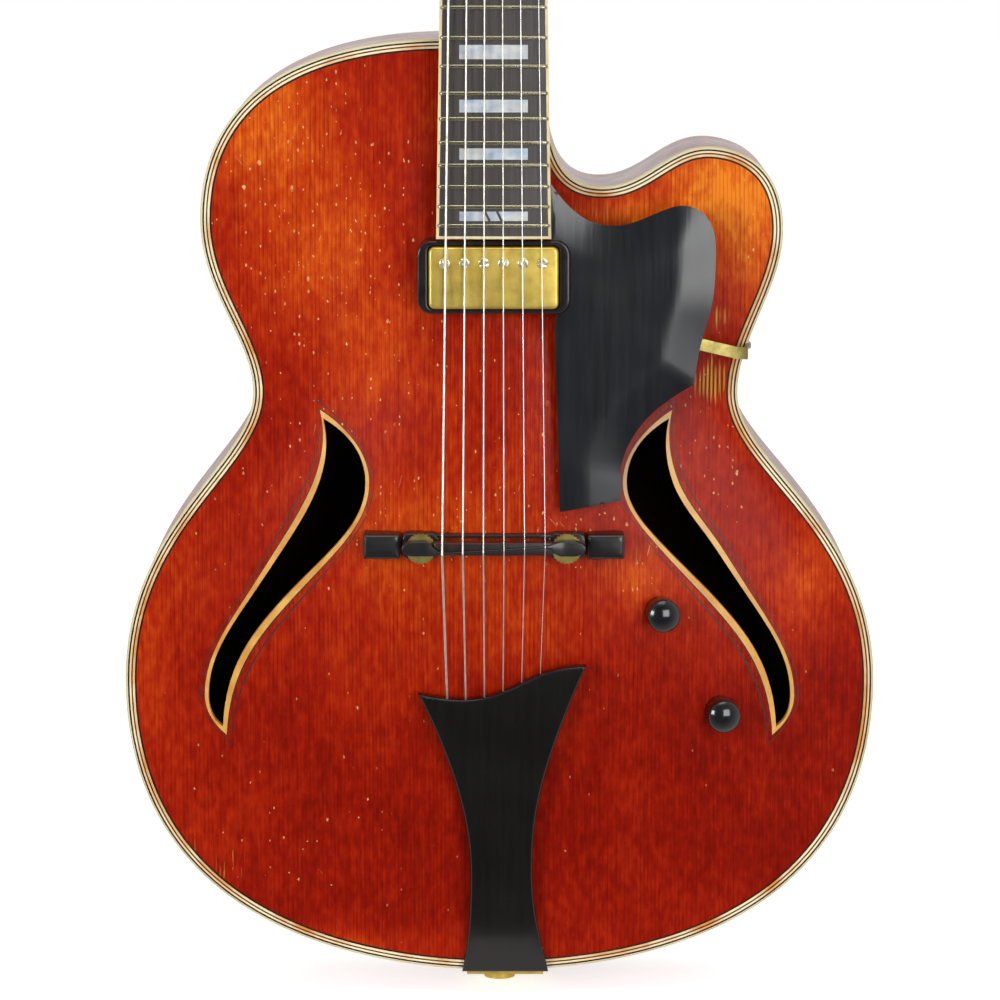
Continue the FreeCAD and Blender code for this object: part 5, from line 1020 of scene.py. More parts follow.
@dataclass
class StripedBinding(Finish):
    """Edge of cream and black strips, each a share of the inset that the mesh carries."""

    name: str = "celluloid binding, cream, in black and cream laminations, scraped flush"
    strips: tuple[Stop, ...] = ((0.0, "#d8cca2"), (0.2, "#1c160c"), (0.35, "#f0e2c0"), (0.51, "#4a3414"),
                                (0.64, "#f0dcb0"), (0.83, "#140805"))
    width: float = 5.7
    amber: str = "#e2a050"

    def paint(self) -> None:
        """Crisp pale and dark lines round the body, with the inner pale line stained amber by the varnish."""
        inset_mark = self.add(Kind.ATTRIBUTE, attribute_name="inset").outputs["Fac"]
        depth = self.add(Kind.MULTIPLY, inset_mark, 1 / self.width)
        stain = self.add(Kind.RANGE, depth, 0.2, 0.7, 0.25, 1.0)
        stain = self.add(Kind.MULTIPLY, stain, self.cloud((22, 22, 26), -0.5, 1.3))
        strips = self.add(Kind.RAMP, depth, stops=self.strips)
        strips.color_ramp.interpolation = "CONSTANT"
        aged = self.add(Kind.MIX, stain, strips, linear(self.amber), blend_type="MULTIPLY")
        self.surface({"Base Color": aged, "Roughness": self.cloud((9, 9, 9), 0.3, 0.5), "IOR": 1.5,
                      "Specular IOR Level": 0.3})


@dataclass
class Tinted(Finish):
    """Material whose colour and gloss drift a little, as on a part that was moulded, cast or scraped."""

    colour: str
    other: str
    rough: Point
    size: float = 8.0
    metal: float = 0.0
    coat: float = 0.0
    stretch: float = 1.0
    scratch: float = 0.0

    def paint(self) -> None:
        """Two close colours in clouds, with the gloss drifting and fine marks where they are asked for."""
        size = self.size
        drift = self.cloud((size, size, size * self.stretch), 0.0, 1.0)
        inputs = {"Base Color": self.add(Kind.MIX, drift, linear(self.colour), linear(self.other)),
                  "Roughness": self.cloud((size / 2,) * 3, *self.rough), "Metallic": self.metal,
                  "Coat Weight": self.coat, "Coat Roughness": 0.05}
        if self.scratch:
            # Rubbing marks are too fine to show, so they are drawn about half a millimetre wide.
            marks = self.cloud((size / 3, size / 3, size / 12), 0.0, 1.0, 5.0)
            inputs["Normal"] = self.add(Kind.BUMP, marks, self.scratch / 1000)
        self.surface(inputs)


@dataclass
class Pearl(Finish):
    """Mother of pearl cut from shell, with drifting blue, green and rose."""

    name: str = "mother of pearl, sawn from shell and polished"
    blue: str = "#8fa3bd"
    white: str = "#cfd9dc"
    rose: str = "#c9bfae"

    def paint(self) -> None:
        """Layers of the shell swirl from blue-white to rose, with a bright polish over them."""
        swirl = self.cloud((9, 9, 5), 0.0, 1.0, 4.0)
        cool = self.add(Kind.MIX, swirl, linear(self.blue), linear(self.white))
        colour = self.add(Kind.MIX, self.cloud((14, 14, 6), 0.0, 0.55), cool, linear(self.rose))
        self.surface({"Base Color": colour, "Roughness": self.cloud((6, 6, 6), 0.12, 0.26), "IOR": 1.53,
                      "Coat Weight": 0.5, "Coat Roughness": 0.05})


SPRUCE = VarnishedSpruce()
BACK_MAPLE = VarnishedMaple(slant=0.28)
SIDE_MAPLE = VarnishedMaple(attribute="along")
NECK_MAPLE = VarnishedMaple()
EDGE = StripedBinding()
# Old celluloid is warm and cloudy with a low gloss, and amber where varnish has soaked in.
CREAM = Tinted("celluloid binding, cream, scraped flush", "#e6d8ac", "#cbb481", (0.3, 0.45), 20.0)
AMBER = Tinted("celluloid binding, cream, stained amber by varnish", "#c17f26", "#e0aa52", (0.28, 0.42), 12.0)
# Dyed fibre drinks the light, so the lines round the sound holes are dull and dark.
LINE = Tinted("fibre purfling, dyed black", "#130805", "#26100a", (0.4, 0.55), 6.0)
# Ebony is nearly black: grey on the board, satin on the guard, glossy under lacquer.
BOARD_EBONY = Ebony("ebony, scraped and oiled by playing", "#2c2826", "#423b38", (0.36, 0.5), 0.0,
                    (1.1, 40, 60))
GUARD_EBONY = Ebony("ebony, sanded and waxed to a satin", "#0f1114", "#1b1d22", (0.17, 0.23), 0.0,
                    (3, 40, 60))
TAIL_EBONY = Ebony("ebony, lacquered and polished", "#070706", "#100e0c", (0.2, 0.28), 0.0, (2, 40, 50))
BRIDGE_EBONY = Ebony("ebony, carved and waxed", "#0e0d0e", "#1b191b", (0.26, 0.36), 0.2, (30, 30, 2))
SADDLE_EBONY = Ebony("ebony, carved, rubbed brown by the strings", "#170c0a", "#2e1712", (0.3, 0.42), 0.1,
                     (30, 30, 2))
VENEER = Ebony("pearwood veneer, dyed black, lacquered", "#0c0a0a", "#1d1918", (0.2, 0.28), 0.4, (2, 40, 50))
# Polished black plastic mirrors the lamps in small sharp lights.
BLACK_PLASTIC = Tinted("acrylic, black, moulded and polished", "#0c0c0e", "#17171a", (0.14, 0.24), 10.0,
                       coat=0.3)
RING_PLASTIC = Tinted("ebonite, black, milled and polished", "#151314", "#221f20", (0.12, 0.2), 12.0)
# Brass gives a warm, stained mirror, which is duller where the plating has gone.
GOLD = Tinted("brass, plated with gold, worn", "#e2c765", "#bfa24a", (0.32, 0.42), 7.0, 0.9, scratch=0.004)
BRASS = Tinted("brass, sheet, tarnished", "#d2b663", "#a58b48", (0.28, 0.4), 7.0, 0.9, scratch=0.006)
DULL_BRASS = Tinted("brass, plated with gold, tarnished dull", "#a59858", "#7f7340", (0.34, 0.46), 5.0, 0.9,
                    scratch=0.006)
# Drawn and turned metals give narrow bright lights along their length.
NICKEL = Tinted("nickel silver wire, drawn and dressed", "#a8a38a", "#8d8870", (0.2, 0.32), 5.0, 1.0)
POLE = Tinted("steel, turned, plated with gold, worn pale", "#f2ead0", "#d6c998", (0.22, 0.32), 3.0, 0.9)
STEEL = Tinted("steel, turned", "#9a9a9a", "#7c7b79", (0.25, 0.38), 5.0, 1.0)
PLAIN_STEEL = Tinted("steel wire, plain, drawn", "#f2f3f1", "#dcddd9", (0.26, 0.34), 6.0, 0.9)
WOUND_STEEL = Tinted("steel core wound with flat nickel tape", "#e8e5dc", "#c3bfb5", (0.3, 0.4), 4.0, 0.9)
# Filed bone and bare sawn wood are matt, with faint stains or grain.
BONE = Tinted("bone, bleached and filed", "#ded4ba", "#c9bb98", (0.34, 0.46), 6.0)
BARE_SPRUCE = Tinted("spruce, planed, bare", "#b58d55", "#8f6a3a", (0.6, 0.75), 4.0, stretch=12.0)
BARE_MAHOGANY = Tinted("mahogany, sawn, bare", "#7a4a2c", "#5d351e", (0.6, 0.75), 5.0, stretch=10.0)
# Enamelled wire and waxed cotton are dull and dark.
COPPER = Tinted("copper wire, enamelled, scatter wound", "#6b2d17", "#8a3f20", (0.4, 0.55), 3.0)
RUBBER = Tinted("cotton-covered wire, waxed", "#22201d", "#35302a", (0.6, 0.75), 3.0)
PEARL = Pearl()
WELD_REACH = 1e-6
SPLIT_ANGLE = math.radians(32)


def dress(finish: Finish, *nodes: str) -> None:
    """Weld the loose triangles of nodes that stay as they are, part their sharp edges, and finish them.

    Args:
        finish: the finish on them.
        nodes: names of the nodes.
    """
    for name in nodes:
        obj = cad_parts[name]
        weld = obj.modifiers.new("weld", "WELD")
        weld.merge_threshold = WELD_REACH
        split = obj.modifiers.new("split", "EDGE_SPLIT")
        split.split_angle = SPLIT_ANGLE
        obj.data.materials.clear()
        obj.data.materials.append(finish.material())
        log.info("node %s dressed in %s", name, finish.name)


# Body

@dataclass(frozen=True)
class Patch:
    """Soft round patch on the top, about a place with a reach each way."""

    x: float
    y: float
    across: float
    along: float
    amount: float

    def at(self, x: Array, y: Array) -> Array:
        """Amount that falls off as exp(-u^2 - v^2)."""
        return self.amount * np.exp(-((x - self.x) / self.across) ** 2 - ((y - self.y) / self.along) ** 2)


def patched(patches: Sequence[Patch]) -> Mark:
    """Sum of patches at a place."""
    return lambda x, y, z: sum(patch.at(x, y) for patch in patches)


@dataclass
class Top:
    """Carved top with its sound holes, their bindings and the striped edge."""

    edge: float = 5.7
    edge_round: float = 0.9
    hole_binding: float = 1.9
    hole_tip: float = 2.2
    hole_swing: float = 2.6
    hole_swing_y: float = 194.0
    hole_swing_reach: float = 28.0
    treble_lean: float = -3.5
    lean_from: float = 220.0
    lean_over: float = 35.0
    lines: tuple[Point, ...] = ((1.95, 0.4), (3.9, 0.45))
    line_proud: float = 0.04
    line_depth: float = 0.5
    spacing: float = 2.6
    fine_spacing: float = 1.0
    control_hole: float = 4.9
    # Lighter towards the neck: partly thinner varnish, partly painted light.
    tail_warmth: float = 0.18
    neck_warmth: float = 0.17
    warm_from: float = 90.0
    warm_over: float = 130.0
    # Patches of thinner varnish mixed with painted light and painted shade on the arch.
    warm: tuple[Patch, ...] = (
        Patch(-8, 180, 60, 40, 0.15), Patch(-25, 235, 55, 30, 0.24), Patch(-56, 238, 25, 30, 0.1),
        Patch(68, 207, 18, 14, 0.4), Patch(-118, 434, 32, 34, 0.5), Patch(-86, 375, 26, 40, 0.35),
        Patch(-55, 320, 25, 30, 0.2), Patch(115, 405, 48, 32, 0.62), Patch(125, 360, 18, 28, 0.3),
        Patch(57, 388, 24, 10, 0.35), Patch(158, 205, 16, 26, 0.2), Patch(-178, 150, 16, 55, 0.17),
        # The last patch, at 158 across and 140 along, is painted shade on the treble side of the lower bout.
        Patch(-150, 72, 26, 26, 0.24), Patch(-60, 12, 60, 10, 0.3), Patch(158, 140, 24, 30, -0.1))
    bare: tuple[Patch, ...] = (
        Patch(-174, 100, 9, 40, 0.22), Patch(-146, 58, 26, 16, 0.28), Patch(-100, 24, 30, 9, 0.2),
        Patch(107, 304, 9, 13, 0.95), Patch(111, 338, 6, 7, 0.6), Patch(57, 390, 26, 7, 0.5),
        Patch(-128, 440, 12, 18, 0.3), Patch(-88, 466, 30, 6, 0.4), Patch(62, 216, 20, 7, 0.35))
    chips: tuple[Patch, ...] = (
        Patch(-110, 415, 55, 70, 1.0), Patch(-75, 330, 40, 70, 0.8), Patch(-40, 240, 50, 30, 0.8),
        Patch(20, 240, 50, 18, 0.6), Patch(80, 230, 24, 30, 0.9), Patch(105, 285, 22, 40, 1.4),
        Patch(125, 370, 18, 40, 0.5), Patch(-150, 240, 22, 60, 0.5), Patch(-120, 60, 60, 40, 0.35),
        Patch(0, 230, 200, 230, 0.1))

    def f_hole(self, grow: float, side: Side) -> Array:
        """Loop of a sound hole of four cubics, grown outwards, with its points drawn out further.

        Args:
            grow: distance outwards.
            side: which hole.

        Returns:
            Points of the loop.
        """
        size, saddle = BODY.length, NECK.saddle_y
        top = (-89 - 0.8 * grow, saddle + 0.1206 * size + self.hole_tip * grow)
        inner = (-67.5 + grow, saddle + 0.0547 * size)
        outer = (-148.3 - grow, saddle - 0.1774 * size)
        foot = (-141 + grow, saddle - 0.2124 * size - self.hole_tip * grow)
        loop = np.concatenate([
            cubic((top, beside(top, (4, -2.5)), beside(inner, (0, 0.0419 * size)), inner)),
            cubic((inner, beside(inner, (0, -0.0867 * size)), beside(foot, (3.7, 0.1571 * size)), foot), 40),
            cubic((foot, beside(foot, (-2, 1.8)), beside(outer, (0, -0.0251 * size)), outer)),
            cubic((outer, beside(outer, (0, 0.111 * size)), beside(top, (13, -0.1095 * size)), top), 40)])
        y = loop[:, 1]
        loop[:, 0] += self.hole_swing * np.exp(-((y - self.hole_swing_y) / self.hole_swing_reach) ** 2)
        loop[:, 0] *= -side.value
        if side is Side.TREBLE:
            loop[:, 0] += self.treble_lean * smooth((y - self.lean_from) / self.lean_over)
        return loop

    def warmth_with_painted_light(self, x: Array, y: Array, z: Array) -> Array:
        """How orange the top is, partly from thin varnish and partly painted light: more to the neck than to
        the tail, and in patches.
        """
        along = self.tail_warmth + self.neck_warmth * smooth((y - self.warm_from) / self.warm_over)
        return along + patched(self.warm)(x, y, z)

    def round_hole(self, x: float, y: float) -> Array:
        """Loop of a control's hole."""
        return np.array([x, y]) + self.control_hole * circle(full_turn(24))

    def build(self) -> None:
        """Make the top, its edge, and the bindings and lines round its sound holes."""
        holes = [self.f_hole(self.hole_binding, side) for side in Side]
        holes.append(Pickup().hole())
        holes += [self.round_hole(x, y) for _, x, y in Controls().spots()]
        board, bindings, lines = Shell(), Shell(), Shell()
        board.plate([BODY.outline(self.edge), *holes], self.spacing, BODY.top, over_top(-BODY.plate),
                    warm=self.warmth_with_painted_light, bare=patched(self.bare), chip=patched(self.chips))
        board.piece("carved_top", SPRUCE, ROOT, ["soundboard"])
        for side in Side:
            bindings.plate([self.f_hole(self.hole_binding, side), self.f_hole(0, side)], self.fine_spacing,
                           over_top(self.line_proud), over_top(-BODY.plate))
            for start, width in self.lines:
                lines.plate([self.f_hole(start + width, side), self.f_hole(start, side)], self.fine_spacing,
                            over_top(self.line_proud), over_top(-self.line_depth))
        bindings.piece("sound_hole_bindings", AMBER, ROOT, ["f_hole_bindings"])
        lines.piece("sound_hole_lines", LINE, ROOT)
        self.rim_edge("top_edge", 1, self.edge, ["top_binding", "top_purfling"], EDGE)

    def rim_edge(self, name: str, sign: int, width: float, nodes: Sequence[str], finish: Finish) -> None:
        """Edge strip carried round the outline, with its outer corner rounded by a quarter circle.

        Args:
            name: name of the piece.
            sign: 1 at the top, -1 at the back.
            width: how far it reaches inwards.
            nodes: nodes that it stands in for.
            finish: the finish on it.
        """
        flat_steps = 11
        angle = np.linspace(0, math.pi / 2, 6)
        corner = self.edge_round
        flat = np.linspace(corner, width, flat_steps + 1)[1:]
        steps = np.concatenate([[0], corner * (1 - np.cos(angle)), flat, [width]])
        low, high = BODY.half_depth, BODY.half_depth + BODY.plate
        heights = np.concatenate([[low], high - corner * (1 - np.sin(angle)), np.full(flat_steps, high),
                                  [low]])
        loops = [BODY.outline(step) for step in steps]
        rings = np.stack([np.column_stack([loop, np.full(len(loop), sign * height)])
                          for loop, height in zip(loops, heights)])
        strip = Shell()
        strip.sweep(rings, True, inset=np.repeat(steps, rings.shape[1]))
        strip.piece(name, finish, ROOT, nodes)


@dataclass
class BackAndSides:
    """Carved back, bent sides and the graft at the tail."""

    binding: float = 2.4
    graft: float = 24.0
    spacing: float = 3.0
    side_sections: int = 620
    graft_sections: int = 16

    def wall(self, start: float, end: float, count: int) -> tuple[Array, Array]:
        """Sections of the side wall between two lengths along the outline.

        Args:
            start: length where it begins, from the tail up the treble side.
            end: length where it ends.
            count: how many sections.

        Returns:
            Sections by four corners, and the length at each of their points.
        """
        outer, inner = BODY.outline(), BODY.outline(BODY.rim_wall)
        outer, inner = np.vstack([outer, outer[:1]]), np.vstack([inner, inner[:1]])
        length = np.append(0, np.cumsum(np.linalg.norm(np.diff(outer, axis=0), axis=1)))
        at = np.linspace(start, end, count)
        around = (at + length[-1]) % length[-1]
        loops = [np.column_stack([np.interp(around, length, row) for row in loop.T])
                 for loop in (outer, inner)]
        half = BODY.half_depth
        corners = [np.column_stack([loops[k], np.full(count, z)])
                   for k, z in ((0, -half), (0, half), (1, half), (1, -half))]
        return np.stack(corners, 1), np.repeat(at, 4)

    def build(self) -> None:
        """Make the back, its binding, the sides and the graft."""
        back = Shell()
        # The inside mark picks out the back's inner face, where the finish paints shade.
        back.plate([BODY.outline(self.binding)], self.spacing,
                   lambda x, y: BODY.back(x, y) + BODY.plate, BODY.back,
                   inside=lambda x, y, z: (z > BODY.back(x, y) + BODY.plate / 2).astype(float))
        back.piece("carved_back", BACK_MAPLE, ROOT, ["back_plate"])
        Top().rim_edge("back_edge", -1, self.binding, ["back_binding"], CREAM)
        loop = BODY.outline()
        whole = np.sum(np.linalg.norm(np.roll(loop, -1, 0) - loop, axis=1))
        half = self.graft / 2
        for name, start, end, count, nodes in (
                ("bent_sides", half, whole - half, self.side_sections, ["rim_bass", "rim_treble"]),
                ("tail_graft", -half, half, self.graft_sections, ["end_graft"])):
            rings, length = self.wall(start, end, count)
            wood = Shell()
            wood.sweep(rings, along=length)
            wood.piece(name, SIDE_MAPLE, ROOT, nodes)
        dress(BARE_SPRUCE, "linings_and_bars")
        dress(BARE_MAHOGANY, "neck_block", "tail_block")


# Neck

@dataclass
class Neck:
    """Neck, head and the board with its binding, frets and inlays."""

    fret_width: float = 2.3
    fret_height: float = 1.1
    fret_inset: float = 0.4
    fret_end: float = 1.6
    fret_sunk: float = 0.05
    fret_least: float = 0.05
    inlay_frets: tuple[int, ...] = (3, 5, 7, 9, 12, 15, 17, 19, 21, 24)
    inlay_width: float = 33.8
    inlay_share: float = 0.5
    inlay_depth: float = 1.2
    proud: float = 0.03
    lined_frets: tuple[int, ...] = (15, 24)
    line_places: tuple[float, ...] = (-3.8, 2.2)
    line_width: float = 1.3
    line_slant: float = 2.2
    line_depth: float = 0.6
    shaft_depth: float = 14.5
    swell: float = 28.0
    swell_past_nut: float = 3.4
    head_depth: float = 10.1
    head_half: float = 21.45
    head_square: float = 5.0
    wedge: tuple[Point, ...] = ((-0.5, 0.1), (0.0, 0.0), (8.0, 0.0), (16.0, 0.3), (22.5, 1.0))

    def shaft(self, distance: float, count: int = 25) -> Array:
        """Round back of the shaft at a distance from the nut: an arc of radius (h^2 + d^2) / 2d.

        Args:
            distance: distance from the nut.
            count: how many points.

        Returns:
            Points of x and z.
        """
        half, depth = NECK.half_width(distance), self.shaft_depth
        radius = (half ** 2 + depth ** 2) / (2 * depth)
        turn = math.asin(half / radius)
        angle = np.linspace(-turn, turn, count)
        return np.stack([radius * np.sin(angle), radius - depth - NECK.board - radius * np.cos(angle)], 1)

    def build_swell(self) -> None:
        """Make the swell where the shaft's round back turns into the flat head.

        Its sides go from the shaft's arc to a superellipse of power 5 as wide as the head, and a wedge
        carries the back of the shaft on until it runs into the back of the head.
        """
        power = 2 / self.head_square
        angle = np.linspace(-math.pi / 2, math.pi / 2, 25)
        across = self.head_half * np.sign(angle) * np.abs(np.sin(angle)) ** power
        square = np.stack([across, -NECK.board - self.head_depth * np.cos(angle) ** power], 1)
        steps = np.linspace(-self.swell, self.swell_past_nut, 14)
        sides = [np.insert((1 - share) * self.shaft(-y) + share * square, 1, y, 1)
                 for y, share in zip(steps, smooth(1 + steps / self.swell))]
        round_back = np.minimum(self.shaft(0), [self.head_half, -self.head_depth])
        back = [np.insert(round_back + [0, less], 1, y, 1) for y, less in self.wedge]
        swell = Shell()
        swell.sweep(NECK.place(np.stack(sides)))
        swell.sweep(NECK.place(np.stack(back)))
        swell.piece("neck_swell", NECK_MAPLE, ROOT)

    def crown(self, x: Array) -> Array:
        """Height of the crowned face beside its middle: sqrt(R^2 - x^2) - R."""
        return np.sqrt(NECK.crown ** 2 - x * x) - NECK.crown

    def strip(self, low_x: Sequence[float], high_x: Sequence[float], distances: Sequence[float], low: float,
              high: float, columns: int = 17) -> Array:
        """Sections of a strip on the board, with its upper side on the crown.

        Args:
            low_x: bass limit at each distance.
            high_x: treble limit at each distance.
            distances: distances from the nut.
            low: height of the lower side.
            high: height of the upper side over the crown.
            columns: points across the upper side.

        Returns:
            Sections by points on the bench.
        """
        rings = []
        for a, b, t in zip(low_x, high_x, distances):
            x = np.linspace(a, b, columns)
            upper = np.column_stack([x, np.full(columns, -t), self.crown(x) + high])
            rings.append(np.vstack([upper, [[b, -t, low], [a, -t, low]]]))
        return NECK.place(np.stack(rings))

    def build_board(self) -> None:
        """Make the board and its binding."""
        length = NECK.board_length
        inner_end = length - NECK.binding
        board, binding = Shell(), Shell()
        ends = np.array([0, inner_end])
        half = NECK.half_width(ends) - NECK.binding
        board.sweep(self.strip(-half, half, ends, -NECK.board, 0))
        board.piece("board", BOARD_EBONY, ROOT, ["fingerboard"])
        ends = np.array([0, length])
        outer = NECK.half_width(ends)
        for sign in (-1, 1):
            sides = np.sort(np.stack([sign * outer, sign * (outer - NECK.binding)]), 0)
            binding.sweep(self.strip(sides[0], sides[1], ends, -NECK.board, 0, 4))
        ends = np.array([inner_end, length])
        half = NECK.half_width(ends) - NECK.binding
        binding.sweep(self.strip(-half, half, ends, -NECK.board, 0))
        binding.piece("board_binding", CREAM, ROOT, ["fingerboard_binding"])

    def build_frets(self) -> None:
        """Make the frets: a half ellipse carried over the crown, low and narrow at its two ends."""
        frets = Shell()
        turn = np.linspace(0, math.pi, 9)
        along = np.sin(np.linspace(-math.pi / 2, math.pi / 2, 27))
        for number in range(1, NECK.frets + 1):
            t = NECK.fret(number)
            half = NECK.half_width(t) - self.fret_inset
            x = half * along
            near = np.clip((np.abs(x) - half + self.fret_end) / self.fret_end, 0, 1)
            size = np.maximum(np.sqrt(1 - near ** 2), self.fret_least)
            across = np.outer(size, np.cos(turn)) * self.fret_width / 2
            height = np.outer(size, np.sin(turn)) * self.fret_height + self.crown(x)[:, None] - self.fret_sunk
            frets.sweep(NECK.place(np.stack([np.repeat(x[:, None], len(turn), 1), across - t, height], 2)))
        frets.piece("fret_wires", NICKEL, ROOT, ["frets"], sharp=60)

    def block(self, number: int) -> Array:
        """Distances from the nut of the two ends of the block before a fret.

        Args:
            number: number of the fret.

        Returns:
            The two distances.
        """
        near, far = NECK.fret(number - 1), NECK.fret(number)
        reach = self.inlay_share * (far - near) / 2
        return (near + far) / 2 + np.array([-reach, reach])

    def build_inlays(self) -> None:
        """Make the pearl blocks between the frets, and the dark lines across two of them."""
        inlays, lines = Shell(), Shell()
        half = np.full(2, self.inlay_width / 2)
        for number in self.inlay_frets:
            inlays.sweep(self.strip(-half, half, self.block(number), -self.inlay_depth, self.proud))
        inlays.piece("pearl_blocks", PEARL, ROOT, ["position_inlays"])
        for number in self.lined_frets:
            for x in self.line_places:
                start = x + np.array([-self.line_slant, self.line_slant]) / 2
                lines.sweep(self.strip(start, start + self.line_width, self.block(number), -self.line_depth,
                                       2 * self.proud, 3))
        lines.piece("pearl_block_lines", BOARD_EBONY, ROOT)

    def build(self) -> None:
        """Make the board, frets, inlays and swell, and dress the neck and its small parts."""
        self.build_board()
        self.build_frets()
        self.build_inlays()
        self.build_swell()
        dress(NECK_MAPLE, "neck")
        dress(VENEER, "headstock_veneer", "truss_rod_cover")
        dress(BONE, "nut")
        dress(STEEL, "truss_rod")


# Strings and what holds them

@dataclass
class Strings:
    """Six strings from the tailpiece over the saddle and the nut to their posts."""

    diameters: tuple[float, ...] = (1.25, 1.0, 0.8, 0.6, 0.45, 0.35)
    wound: int = 4
    middle: int = 2
    saddle_spread: float = 51.3
    nut_spread: float = 35.0
    tail_spread: float = 47.0
    rise: float = 5.0
    compensation: float = 6.0
    slant: float = 3.5
    nut_height: float = 1.7
    bend: float = 4.0
    hole_share: float = 0.4
    hole_depth: float = 9.0
    post_gap: float = 0.3

    @property
    def last(self) -> int:
        """Number of the last string."""
        return len(self.diameters) - 1

    def spread(self, index: int, width: float) -> float:
        """Place of a string in the row."""
        return width * (index / self.last - 0.5)

    def saddle(self, index: int) -> Array:
        """Where a string crosses the saddle.

        Args:
            index: number of the string, from the bass side.

        Returns:
            The point on the bench.
        """
        x = self.spread(index, self.saddle_spread)
        z = NECK.nut[2] + NECK.scale * math.sin(NECK.angle) + self.rise - x * x / (2 * NECK.crown)
        return np.array([NECK.x + x, NECK.saddle_y - self.compensation + self.slant * index / self.last, z])

    def anchor(self, index: int) -> Array:
        """Where a string ends inside the tailpiece.

        Args:
            index: number of the string, from the bass side.

        Returns:
            The point on the bench.
        """
        x = NECK.x + self.spread(index, self.tail_spread)
        tail = Tailpiece()
        edge = tail.string_edge()
        y = np.interp(x, edge[:, 0], edge[:, 1])
        point = np.array([x, y, tail.top(y) - self.hole_share * tail.thickness(y)])
        return point + self.hole_depth * unit(point - self.saddle(index))

    def nut(self, index: int) -> Array:
        """Where a string crosses the nut."""
        x = self.spread(index, self.nut_spread)
        return NECK.place(np.array([x, NECK.nut_length / 2, self.nut_height - x * x / (2 * NECK.crown)]))

    def post(self, index: int) -> Array:
        """Where a string meets the uppermost of its turns on the post.

        Args:
            index: number of the string, from the bass side.

        Returns:
            The point on the bench.
        """
        tuners, wire = Tuners(), self.diameters[index]
        x, q, _ = tuners.spot(index)
        stop = math.sqrt((tuners.waist + wire + self.post_gap) ** 2 - tuners.waist ** 2)
        inner = x - math.copysign(tuners.waist + wire / 2, x)
        return NECK.head(np.array([inner, q - stop, tuners.wrap_low + (tuners.turns + 0.5) * wire]))

    def bent(self, corners: Sequence[Array]) -> Array:
        """Path through corners with a short arc at each: a quadratic over the bend's length each way.

        Args:
            corners: ends and corners of the path.

        Returns:
            Points of the path.
        """
        t = np.linspace(0, 1, 5)[:, None]
        parts = [corners[0][None]]
        for before, corner, after in zip(corners, corners[1:], corners[2:]):
            start = corner + self.bend / 2 * unit(before - corner)
            end = corner + self.bend / 2 * unit(after - corner)
            parts.append((1 - t) ** 2 * start + 2 * t * (1 - t) * corner + t * t * end)
        parts.append(corners[-1][None])
        return np.vstack(parts)

    def build(self) -> None:
        """Make each set of strings in two runs: from the tailpiece to the saddle, and from the saddle over
        the nut to the posts.
        """
        middle = self.middle
        for name, numbers, finish in (("wound", range(self.wound), WOUND_STEEL),
                                      ("plain", range(self.wound, self.last + 1), PLAIN_STEEL)):
            tail, long = Shell(), Shell()
            for index in numbers:
                radius = self.diameters[index] / 2
                tail.tube(np.stack([self.anchor(index), self.saddle(index)]), radius)
                long.tube(self.bent([self.saddle(index), self.nut(index), self.post(index)]), radius)
            for part, shell, corner in (("tail", tail, self.anchor(middle)),
                                        ("long", long, self.nut(middle))):
                obj = shell.piece(f"{name}_strings_{part}", finish, None, [f"{name}_strings"], sharp=80)
                start, end = to_row(np.stack([corner, self.saddle(middle)])).tolist()
                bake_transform(obj)


@dataclass
class Tailpiece:
    """Ebony tailpiece hung from its bracket, and the jack in the tail."""

    base: float = 42.0
    rise: float = 24.0
    tail_thickness: float = 3.4
    more_thickness: float = 4.6
    edge: float = 1.3
    under: float = 0.6
    bass: Point = (-41.1, 0.6532)
    treble: Point = (43.6, 0.7167)
    waist_bass: Point = (-14.8, 0.2351)
    waist_treble: Point = (16.8, 0.2351)
    foot_bass: Point = (-19.2, 0.0)
    foot_treble: Point = (25.0, 0.0)

    @property
    def length(self) -> float:
        """Length to the treble corner."""
        return self.treble[1] * NECK.saddle_y

    def top(self, y: Array) -> Array:
        """Height of the upper face."""
        return self.base + self.rise * y / self.length

    def thickness(self, y: Array) -> Array:
        """Thickness, more at the string end."""
        return self.tail_thickness + self.more_thickness * y / self.length

    def curve(self, start: Point, leave: Point, arrive: Point, end: Point, count: int = 30) -> Array:
        """Points of a cubic whose y is a share of the way to the saddle."""
        poles = (start, beside(start, leave), beside(end, arrive), end)
        return cubic(poles, count) * np.array([1, NECK.saddle_y])

    def string_edge(self) -> Array:
        """Points of the string end, from the bass corner to the treble corner."""
        return self.curve(self.bass, (48, -0.0518), (-38, -0.0035), self.treble, 60)

    def build(self) -> None:
        """Make the tailpiece and dress its bracket and the jack."""
        loop = np.concatenate([
            self.string_edge(),
            self.curve(self.treble, (-26, -0.27), (0, 0.1132), self.waist_treble),
            self.curve(self.waist_treble, (0, -0.1045), (-3, 0.0697), self.foot_treble),
            straight(self.foot_treble, self.foot_bass, 6),
            self.curve(self.foot_bass, (3, 0.0697), (0, -0.1045), self.waist_bass),
            self.curve(self.waist_bass, (0, 0.1568), (12, -0.1089), self.bass)])
        shell = Shell()
        shell.slab([loop], lambda x, y: self.top(y) - self.thickness(y), lambda x, y: self.top(y), self.edge,
                   self.under)
        shell.piece("tailpiece_ebony", TAIL_EBONY, ROOT, ["tailpiece"])
        dress(BRASS, "tailpiece_bracket")
        dress(GOLD, "output_jack")


